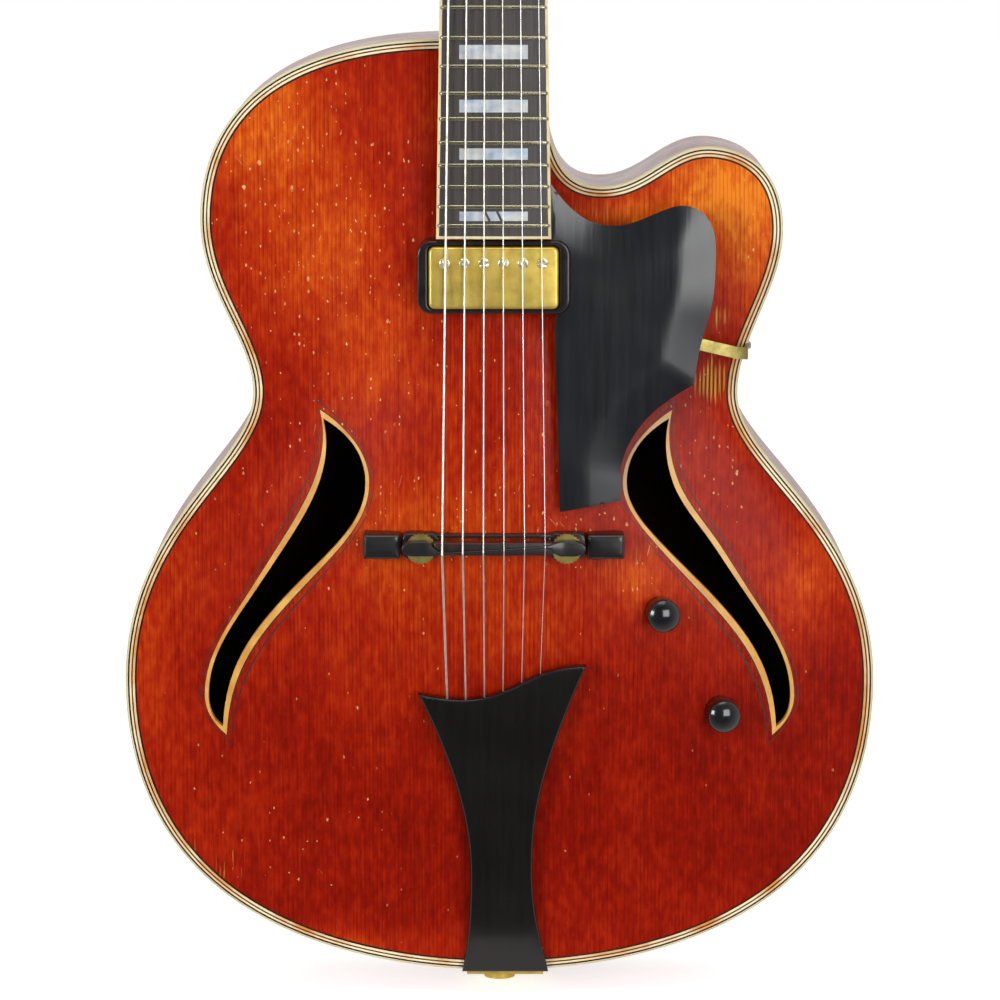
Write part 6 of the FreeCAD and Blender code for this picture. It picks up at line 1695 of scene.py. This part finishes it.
@dataclass
class Bridge:
    """Bridge base with two feet, its posts and thumbwheels, and the saddle."""

    length: float = 131.0
    width: float = 12.4
    height: float = 9.5
    sunk: float = 0.1
    block: float = 18.5
    block_corner: float = 1.0
    block_edge: Point = (1.6, 2.0)
    seat_height: float = 6.2
    seat_end: float = 27.0
    seat_gap: float = 0.5
    seat_wider: float = 0.4
    seat_corner: float = 4.0
    seat_edge: float = 1.2
    bar_width: float = 1.8
    bar_offset: float = 4.9
    bar_overlap: float = 2.0
    bar_corner: float = 0.4
    bar_edge: float = 0.5
    saddle_low: float = 71.0
    saddle_offset: float = 1.0
    string_sunk: float = 0.3
    body_half: float = 30.0
    body_width: float = 6.6
    body_corner: float = 1.5
    body_below: float = 2.2
    body_edges: Point = (0.8, 0.4)
    rail_offset: float = 0.6
    rail_edges: Point = (0.5, 0.3)
    rail_swing: Point = (4.0, 8.0)
    rail_fall: Point = (3.0, 9.0)
    lobe_x: float = 40.0
    lobe_top: float = 77.5
    lobe_radius: float = 3.7
    lobe_stretch: float = 1.6
    neck_width: float = 1.3

    def box(self, x0: float, x1: float, y0: float, y1: float, corner: float) -> Array:
        """Rounded rectangle between limits from the bridge's middle."""
        return rounded_box(NECK.x + (x0 + x1) / 2, BODY.bridge_y + (y0 + y1) / 2, x1 - x0, y1 - y0, corner)

    def crest(self, x: Array) -> Array:
        """Height of the saddle under the strings, crowned as the board is."""
        strings = Strings()
        return strings.saddle(strings.middle)[2] - self.string_sunk - (x - NECK.x) ** 2 / (2 * NECK.crown)

    def build_base(self) -> None:
        """Make the two feet, each a high block with a lower seat for its wheel, and the bar between them."""
        base = Shell()
        half, wide = self.length / 2, self.width / 2
        foot = BODY.top(NECK.x, BODY.bridge_y)
        ground, seat = over_top(-self.sunk), level(foot + self.seat_height)
        edge, edge_width = self.block_edge
        for sign in (-1, 1):
            ends = sorted((sign * half, sign * (half - self.block)))
            base.slab([self.box(*ends, -wide, wide, self.block_corner)], ground, level(foot + self.height),
                      edge, wide=edge_width)
            ends = sorted((sign * (half - self.block - self.seat_gap), sign * self.seat_end))
            side = wide + self.seat_wider
            base.slab([self.box(*ends, -side, side, self.seat_corner)], ground, seat, self.seat_edge)
        end, thin = self.seat_end + self.bar_overlap, self.bar_width / 2
        bar = self.box(-end, end, self.bar_offset - thin, self.bar_offset + thin, self.bar_corner)
        base.slab([bar], ground, seat, self.bar_edge)
        base.piece("bridge_feet", BRIDGE_EBONY, ROOT, ["bridge_base"])

    def rail(self) -> Array:
        """Loop of the saddle's upper edge: a lobe at each end and a thin rail set over for each string.

        Returns:
            Points of the loop.
        """
        strings = Strings()
        x = self.lobe_x * np.cos(np.linspace(0, math.pi, 40))
        bass, treble = strings.saddle(0), strings.saddle(strings.last)
        share = (x + NECK.x - bass[0]) / (treble[0] - bass[0])
        y = bass[1] + (treble[1] - bass[1]) * np.clip(share, 0, 1) + self.rail_offset
        ends = smooth((np.abs(x) - self.body_half + self.rail_swing[0]) / self.rail_swing[1])
        y = y + (BODY.bridge_y + self.saddle_offset - y) * ends
        half = self.neck_width / 2 + (self.lobe_radius - self.neck_width / 2) * ends
        turn = np.linspace(-math.pi / 2, math.pi / 2, 13)[1:-1]
        cap = self.lobe_radius * circle(turn) * np.array([self.lobe_stretch, 1])
        right = np.array([self.lobe_x, y[0]]) + cap
        left = np.array([-self.lobe_x, y[-1]]) - cap
        loop = np.vstack([np.stack([x, y + half], 1), left, np.stack([x, y - half], 1)[::-1], right])
        return loop + np.array([NECK.x, 0])

    def rail_top(self, x: Array, y: Array) -> Array:
        """Height of the rail: the crest in the middle, falling to the lobes.

        Args:
            x: places across.
            y: places along.

        Returns:
            Height at each place.
        """
        before, over = self.rail_fall
        share = smooth((np.abs(x - NECK.x) - self.body_half + before) / over)
        return self.crest(x) + (self.lobe_top - self.crest(x)) * share

    def build_saddle(self) -> None:
        """Make the saddle's body and the rail that carries the strings."""
        body, rail = Shell(), Shell()
        half, offset = self.body_width / 2, self.saddle_offset
        middle = self.box(-self.body_half, self.body_half, offset - half, offset + half, self.body_corner)
        body.slab([middle], level(self.saddle_low), lambda x, y: self.crest(x) - self.body_below,
                  *self.body_edges)
        body.piece("saddle_body", SADDLE_EBONY, "saddle", ["bridge_saddle"])
        rail.slab([self.rail()], level(self.saddle_low), self.rail_top, *self.rail_edges)
        rail.piece("saddle_rail", BRIDGE_EBONY, "saddle", ["bridge_saddle"])

    def build(self) -> None:
        """Make the base and the saddle, and dress the wheels and posts."""
        self.build_base()
        self.build_saddle()
        dress(DULL_BRASS, "thumbwheel_bass", "thumbwheel_treble", "bridge_posts")


# Electrics

@dataclass
class Pickup:
    """Pickup under a plated cover in its ring, with the pole screws."""

    width: float = 64.5
    length: float = 31.0
    corner: float = 3.0
    slack: float = 0.8
    ring_width: float = 75.8
    ring_length: float = 36.4
    ring_corner: float = 7.0
    ring_top: float = 64.0
    ring_sunk: float = 0.2
    ring_edge: float = 1.05
    ring_to_board: float = 1.2
    cover_top: float = 67.5
    cover_height: float = 20.0
    cover_edge: float = 1.6
    poles: int = 6
    pole_pitch: float = 9.7
    pole_offset: float = 7.5
    pole_radius: float = 2.9
    pole_sunk: float = 0.6
    pole_rise: float = 1.0
    pole_edge: float = 0.8
    pole_slot: float = 0.35
    pole_turn: float = 0.9
    pole_core: tuple[Point, ...] = (
        (0.02, -8.0), (1.5, -8.0), (1.5, -0.6), (2.4, -0.6), (2.4, 0.3), (0.02, 0.3))

    @property
    def y(self) -> float:
        """Middle of the pickup along the body."""
        return NECK.board_end_y - self.ring_to_board - self.ring_length / 2

    def hole(self) -> Array:
        """Loop of the hole that the cover goes through."""
        return rounded_box(NECK.x, self.y, self.width + self.slack, self.length + self.slack, self.corner)

    def build_poles(self) -> None:
        """Make the screws' heads: two halves of a rounded disc by a slot, each head turned its own way."""
        heads = Shell()
        half = circle(np.linspace(-math.pi / 2, math.pi / 2, 19)) * self.pole_radius
        half[:, 0] = np.maximum(half[:, 0], self.pole_slot)
        low, high = level(self.cover_top - self.pole_sunk), level(self.cover_top + self.pole_rise)
        for index in range(self.poles):
            x = NECK.x + self.pole_pitch * (index - (self.poles - 1) / 2)
            middle = np.array([x, self.y + self.pole_offset])
            for turn in (self.pole_turn * index, self.pole_turn * index + math.pi):
                c, s = math.cos(turn), math.sin(turn)
                heads.slab([middle + half @ np.array([[c, s], [-s, c]])], low, high, self.pole_edge, steps=5)
            spot = np.array([*middle, self.cover_top])
            heads.lathe(np.array(self.pole_core), lambda points, at=spot: points + at, 24)
        heads.piece("pole_heads", POLE, ROOT, ["pole_screws"])

    def build(self) -> None:
        """Make the ring, the cover and the screws, and dress the rest."""
        ring, cover = Shell(), Shell()
        outer = rounded_box(NECK.x, self.y, self.ring_width, self.ring_length, self.ring_corner, 12)
        ring.slab([outer, self.hole()], over_top(-self.ring_sunk), level(self.ring_top), self.ring_edge,
                  steps=6)
        ring.piece("pickup_frame", RING_PLASTIC, ROOT, ["pickup_ring"])
        cover.slab([rounded_box(NECK.x, self.y, self.width, self.length, self.corner, 10)],
                   level(self.cover_top - self.cover_height), level(self.cover_top), self.cover_edge, steps=8)
        cover.piece("pickup_case", GOLD, ROOT, ["pickup_cover"])
        self.build_poles()
        dress(COPPER, "pickup_bobbins")
        dress(STEEL, "pickup_magnet", "pickup_base_plate")
        dress(RUBBER, "wiring")


@dataclass
class Controls:
    """Volume and tone knobs, square to the top."""

    radius: float = 8.3
    height: float = 15.0
    dome: float = 3.0
    clearance: float = 0.8
    step: float = 0.5
    places: tuple[tuple[str, float, float], ...] = (("volume", 81.0, -0.0842), ("tone", 112.3, -0.1937))

    def spots(self) -> list[tuple[str, float, float]]:
        """Name and place on the top of each control."""
        return [(name, x, NECK.saddle_y + share * BODY.length) for name, x, share in self.places]

    def profile(self) -> Array:
        """Radius and height of the knob: a straight side and a cap of a sphere, with a soft corner.

        Returns:
            Radius and height of each ring.
        """
        radius, low, high = self.radius, self.clearance, self.clearance + self.height
        ball = (radius ** 2 + self.dome ** 2) / (2 * self.dome)
        r = np.linspace(radius - 0.5, 0.02, 14)
        cap = high - ball + np.sqrt(ball ** 2 - r * r)
        corner = high - self.dome
        side = np.array([[0.02, low], [radius - 0.3, low], [radius, low + 0.4], [radius, corner - 0.5],
                         [radius - 0.15, corner - 0.05]])
        return np.vstack([side, np.column_stack([r, cap])])

    def build(self) -> None:
        """Make the knobs and dress their shafts and potentiometers."""
        step = self.step
        for name, x, y in self.spots():
            z = BODY.top(x + step * np.array([0, 1, -1, 0, 0]), y + step * np.array([0, 0, 0, 1, -1]))
            normal = unit(np.array([(z[2] - z[1]) / (2 * step), (z[4] - z[3]) / (2 * step), 1.0]))
            right = unit(np.cross([0, 1, 0], normal))
            axes = np.stack([right, np.cross(normal, right), normal])
            origin = np.array([x, y, z[0]])
            knob = Shell()
            knob.lathe(self.profile(), lambda points, a=axes, o=origin: o + points @ a, 64)
            knob.piece(f"{name}_cap", BLACK_PLASTIC, f"{name}_control", [f"{name}_knob"], sharp=50)
            dress(BRASS, f"{name}_shaft")
        dress(STEEL, "potentiometers")


@dataclass
class Guard:
    """Ebony guard beside the strings, with its bracket."""

    low: float = 60.5
    high: float = 63.5
    fall: float = 2.5
    bevel: float = 18.0
    power: float = 1.25
    least: float = 0.4
    blur: float = 3.0
    spacing: float = 1.3
    gap: float = 0.2
    foot_left: Point = (30.3, -0.9116)
    notch_low: float = 27.1
    notch_high: float = 25.9
    strip_width: float = 6.0
    strip: float = 1.4
    strip_y: float = -58.5

    @property
    def reach(self) -> float:
        """Length from the board's end to the saddle."""
        return NECK.board_end_y - NECK.saddle_y

    def outer(self) -> Array:
        """Outer side of the guard, from the board round to the foot.

        Returns:
            Points of that side.
        """
        end = (0, NECK.board_end_y)
        neck, valley, crest, right = [beside(end, point) for point in (
            (25.5, 26.9), (57.2, 6.1), (90.9, 16), (107.4, -6.4))]
        corner, inner, foot = [beside(end, (x, share * self.reach)) for x, share in (
            (96.9, -0.4873), (60.7, -0.7667), (60.8, -0.8963))]
        return np.concatenate([
            cubic((neck, beside(neck, (13.8, -20.7)), beside(valley, (-6.6, 0)), valley)),
            cubic((valley, beside(valley, (12.5, 0)), beside(crest, (-10.1, 0)), crest)),
            cubic((crest, beside(crest, (3, 0)), beside(right, (0, 21.2)), right)),
            cubic((right, beside(right, (0, -40)), beside(corner, (5, 40)), corner)),
            cubic((corner, beside(corner, (-10.7, -6.1)), beside(inner, (4.6, 24.4)), inner)),
            straight(inner, foot, 6)])

    def loop(self) -> Array:
        """Outline from the board's side round the guard and back along the ring's notch.

        Returns:
            Points of the loop.
        """
        outer, pickup = self.outer(), Pickup()
        left = (self.foot_left[0], NECK.board_end_y + self.foot_left[1] * self.reach)
        side = NECK.x + pickup.ring_width / 2 + self.gap
        above = pickup.y + pickup.ring_length / 2 + self.gap
        below = pickup.y - pickup.ring_length / 2 - self.gap
        r = pickup.ring_corner
        arc = r * circle(np.linspace(0, math.pi / 2, 9))
        upper_arc = np.array([side - r, above - r]) + arc
        lower_arc = np.array([side - r, below + r]) + arc[::-1] * [1, -1]
        return np.concatenate([outer, straight(outer[-1], left, 8),
                               straight(left, (self.notch_low, below), 16),
                               lower_arc, upper_arc, np.array([[self.notch_high, above]])])

    def height(self, x: Array, y: Array) -> Array:
        """Height of the face, smoothed over a circle round each point.

        The face falls by f (1 - d / w)^1.25 at a depth d inside the outer side, within a width w, and the
        mean of it over a ring of radius r has no creases. For this the outer side runs on past the foot.

        Args:
            x: places across.
            y: places along.

        Returns:
            Height at each place.
        """
        outer, loop = self.outer(), self.loop()
        loop[loop[:, 1] < outer[-1, 1] + 0.1, 1] -= 2 * self.blur
        outer = np.vstack([outer, outer[-1] - [0, 2 * self.blur]])
        there_and_back = np.concatenate([outer, outer[::-1]])
        ring = self.blur * circle(full_turn(8))
        points = (np.stack([x, y], 1) + ring[:, None]).reshape(-1, 2)
        parts = np.array_split(points, len(points) // 1000 + 1)
        near = np.concatenate([away(part, there_and_back) for part in parts])
        depth = np.where(within(points, [loop]) | (near > self.blur), near, -near)
        falls = self.fall * np.clip(1 - depth / self.bevel, 0, None) ** self.power
        return np.maximum(self.high - falls.reshape(len(ring), -1).mean(0), self.low + self.least)

    def build_bracket(self) -> None:
        """Make the bracket: a brass strip that leaves the guard askew and bends down over the edge."""
        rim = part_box("guard_bracket")[1][0] * 1000 - self.strip
        y, low, edge = NECK.board_end_y + self.strip_y, self.low, BODY.half_depth + BODY.plate
        # Across the body, along it and out of it, from under the guard to the side.
        path = np.array([[86, 8.6, low], [rim - 7, 1.0, low - 1], [rim - 1, 0.2, low - 4], [rim, 0, edge + 4],
                         [rim, 0, edge - 22]])
        run = unit(np.gradient(path[:, [0, 2]], axis=0)) * self.strip
        half = self.strip_width / 2
        corners = [np.stack([path[:, 0] - sign * run[:, 1], y + path[:, 1] + side * half,
                             path[:, 2] + sign * run[:, 0]], 1)
                   for side, sign in ((-1, -1), (1, -1), (1, 0), (-1, 0))]
        strip = Shell()
        strip.sweep(np.stack(corners, 1))
        strip.piece("bent_bracket", DULL_BRASS, ROOT, ["guard_bracket"])

    def build(self) -> None:
        """Make the guard and its bracket, and dress the small screws."""
        shell = Shell()
        shell.plate([self.loop()], self.spacing, self.height, level(self.low))
        shell.piece("guard_plate", GUARD_EBONY, ROOT, ["pickguard"])
        self.build_bracket()
        dress(STEEL, "fasteners")


@dataclass
class Tuners:
    """Six tuners: housing, bushing, key, and a post with the turns of its string."""

    x: float = 25.0
    rows: tuple[float, ...] = (43.0, 85.0, 127.0)
    radius: float = 3.0
    waist: float = 2.4
    foot: float = -23.2
    top: float = 17.0
    wheel: float = -19.75
    wheel_profile: tuple[Point, ...] = ((0.02, -1.5), (4.4, -1.5), (4.45, 0.0), (4.4, 1.5), (0.02, 1.5))
    teeth: int = 14
    tooth: float = 0.14
    wrap_low: float = 5.0
    turns: int = 2
    turn_sections: int = 28

    def bass(self, index: int) -> bool:
        """Whether a string's post stands on the bass side."""
        return index < len(self.rows)

    def spot(self, index: int) -> Array:
        """Place of a string's post on the face of the head."""
        row = index if self.bass(index) else 2 * len(self.rows) - 1 - index
        return np.array([-self.x if self.bass(index) else self.x, self.rows[row], 0])

    def profile(self) -> Array:
        """Radius and height of a post, with its waist and its rounded top.

        Returns:
            Radius and height of each ring.
        """
        r, w, low, high = self.radius, self.waist, self.foot, self.top
        return np.array([[0.02, low], [r - 0.2, low], [r, low + 0.2], [r, 3.7], [w, 4.2], [w, 8.8], [r, 9.3],
                         [r, high - 0.8], [r - 0.25, high - 0.2], [r - 0.8, high], [0.02, high]])

    def winding(self, index: int) -> Array:
        """Sections of a string's turns, a helix about the post that goes down by one wire in each turn.

        At an angle a and a section's angle b the point is
        ((R + r cos b) cos a, (R + r cos b) sin a, z + r sin b).

        Args:
            index: number of the string, from the bass side.

        Returns:
            Sections by points, about the post.
        """
        wire = Strings().diameters[index]
        share = np.linspace(0, 1, self.turn_sections * self.turns)[:, None]
        start, way = (0.0, 1) if self.bass(index) else (math.pi, -1)
        angle = start + way * 2 * math.pi * self.turns * share
        section = full_turn(10)[None]
        out = self.waist + wire / 2 + wire / 2 * np.cos(section)
        z = self.wrap_low + wire * (self.turns + 0.5 - self.turns * share) + wire / 2 * np.sin(section)
        return np.stack([out * np.cos(angle), out * np.sin(angle), z], 2)

    def build(self) -> None:
        """Make the posts and the turns on them, and dress the rest."""
        dress(GOLD, "tuner_housings", "tuner_bushings")
        wheel = np.array(self.wheel_profile) + [0, self.wheel]
        count = 2 * len(self.rows)
        for index in range(count):
            number = count - index

            def place(points: Array, at: Array = self.spot(index)) -> Array:
                """Points about the post, on the bench."""
                return NECK.head(points + at)

            node = f"tuner_post_{number}"
            post, turns = Shell(), Shell()
            post.lathe(self.profile(), place, 32)
            post.lathe(wheel, place, 8 * self.teeth, self.tooth, self.teeth)
            post.piece(f"turned_post_{number}", GOLD, node, [node])
            turns.sweep(place(self.winding(index)))
            finish = WOUND_STEEL if index < Strings().wound else PLAIN_STEEL
            turns.piece(f"string_turns_{number}", finish, node, [node], sharp=80)
            dress(GOLD, f"tuner_key_{number}")


# Studio

@dataclass
class Floor(Finish):
    """Pale floor that comes out white and keeps the object's shadow."""

    name: str = "paper, matt, white"
    pale: str = "#f4f4f4"
    white: str = "#fafafa"
    seen: float = 0.68
    mirrored: float = 0.35

    def paint(self) -> None:
        """Matt white with a faint tooth, lifted to white where it is seen, so that only the shadow shows."""
        tooth = self.cloud((40, 40, 40), 0.0, 1.0)
        path = self.add(Kind.LIGHT_PATH).outputs
        lift = self.add(Kind.MULTIPLY, path["Is Camera Ray"], self.seen)
        gloss = self.add(Kind.MORE, path["Is Glossy Ray"], path["Is Transmission Ray"])
        lift = self.add(Kind.MORE, lift, self.add(Kind.MULTIPLY, gloss, self.mirrored))
        self.surface({"Base Color": self.add(Kind.MIX, tooth, linear(self.pale), linear(self.white)),
                      "Roughness": 0.9, "Specular IOR Level": 0.0,
                      "Emission Color": (1, 1, 1, 1), "Emission Strength": lift})


@dataclass
class Surroundings(Finish):
    """White behind the guitar, dim in front of it, and an even level of light for matt surfaces."""

    name: str = "studio"
    even: float = 0.4
    dim: float = 0.12
    front: Point = (-0.8, -0.1)

    def world(self) -> bpy.types.World:
        """The world with these surroundings.

        Returns:
            The new world.
        """
        world = bpy.data.worlds.new(self.name)
        world.use_nodes = True
        self.tree = world.node_tree
        self.paint()
        return world

    def paint(self) -> None:
        """White to the camera; gloss sees white behind the guitar and the dim room in front of it."""
        path = self.add(Kind.LIGHT_PATH).outputs
        way = self.add(Kind.SPLIT, self.add(Kind.COORDINATES).outputs["Generated"])
        room = self.add(Kind.RANGE, way.outputs["Y"], *self.front, self.dim, 1.0)
        shown = self.add(Kind.MIX, path["Is Glossy Ray"], (self.even,) * 3 + (1,), room)
        seen = self.add(Kind.MORE, path["Is Camera Ray"], path["Is Transmission Ray"])
        shown = self.add(Kind.MIX, seen, shown, (1, 1, 1, 1))
        set_inputs(self.tree, self.tree.nodes["Background"], {"Color": shown})


@dataclass
class Studio:
    """Floor, soft lights, white surroundings and the camera at the picture's angle."""

    floor_z: float = -0.0135
    floor_side: float = 6.0
    floor_front: float = -0.1
    floor_back: float = 9.0
    lamps: tuple[tuple[str, Size, float, float], ...] = (
        ("key", (-1.6, -1.9, 0.55), 0.7, 25.0), ("fill", (0.95, -2.15, 0.5), 1.1, 25.0),
        ("over", (0.1, -1.2, 2.6), 1.4, 14.0))
    camera_at: Size = (0.00025, -2.2399, 0.5977)
    target: Size = (0.00025, -0.038, 0.245)
    lens: float = 158.66
    sensor: float = 36.0

    def build_floor(self) -> None:
        """Lay the floor, which ends before the dim room in front of the guitar."""
        side, front, back = self.floor_side, self.floor_front, self.floor_back
        mesh = bpy.data.meshes.new("studio_floor")
        plan = ((-side, front), (side, front), (side, back), (-side, back))
        corners = [(x, y, self.floor_z) for x, y in plan]
        mesh.from_pydata(corners, [], [(0, 1, 2, 3)])
        mesh.materials.append(Floor().material())
        floor = bpy.data.objects.new("studio_floor", mesh)
        bpy.context.scene.collection.objects.link(floor)

    def stand(self, name: str, data: bpy.types.ID, place: Size) -> bpy.types.Object:
        """Stand a light or a camera at a place, facing the middle of the guitar.

        Args:
            name: name of the object.
            data: the light or the camera.
            place: where it stands.

        Returns:
            The new object.
        """
        obj = bpy.data.objects.new(name, data)
        obj.location = place
        obj.rotation_euler = (Vector(self.target) - Vector(place)).to_track_quat("-Z", "Y").to_euler()
        bpy.context.scene.collection.objects.link(obj)
        return obj

    def build(self) -> None:
        """Set up the floor, the lights, the surroundings and the camera."""
        self.build_floor()
        bpy.context.scene.world = Surroundings().world()
        for name, place, size, power in self.lamps:
            light = bpy.data.lights.new(name, "AREA")
            light.size = size
            light.energy = power
            self.stand(name, light, place)
        camera = bpy.data.cameras.new("camera")
        camera.lens = self.lens
        camera.sensor_width = self.sensor
        bpy.context.scene.camera = self.stand("camera", camera, self.camera_at)
        bpy.context.scene.view_settings.view_transform = "Standard"


def main() -> None:
    """Build every sub-assembly, then the studio."""
    logging.basicConfig(level=logging.INFO, format="%(name)s: %(message)s")
    for part in (Top(), BackAndSides(), Neck(), Strings(), Tailpiece(), Bridge(), Pickup(), Controls(),
                 Guard(), Tuners(), Studio()):
        log.info("building %s", type(part).__name__)
        part.build()


if __name__ == "__main__":
    main()
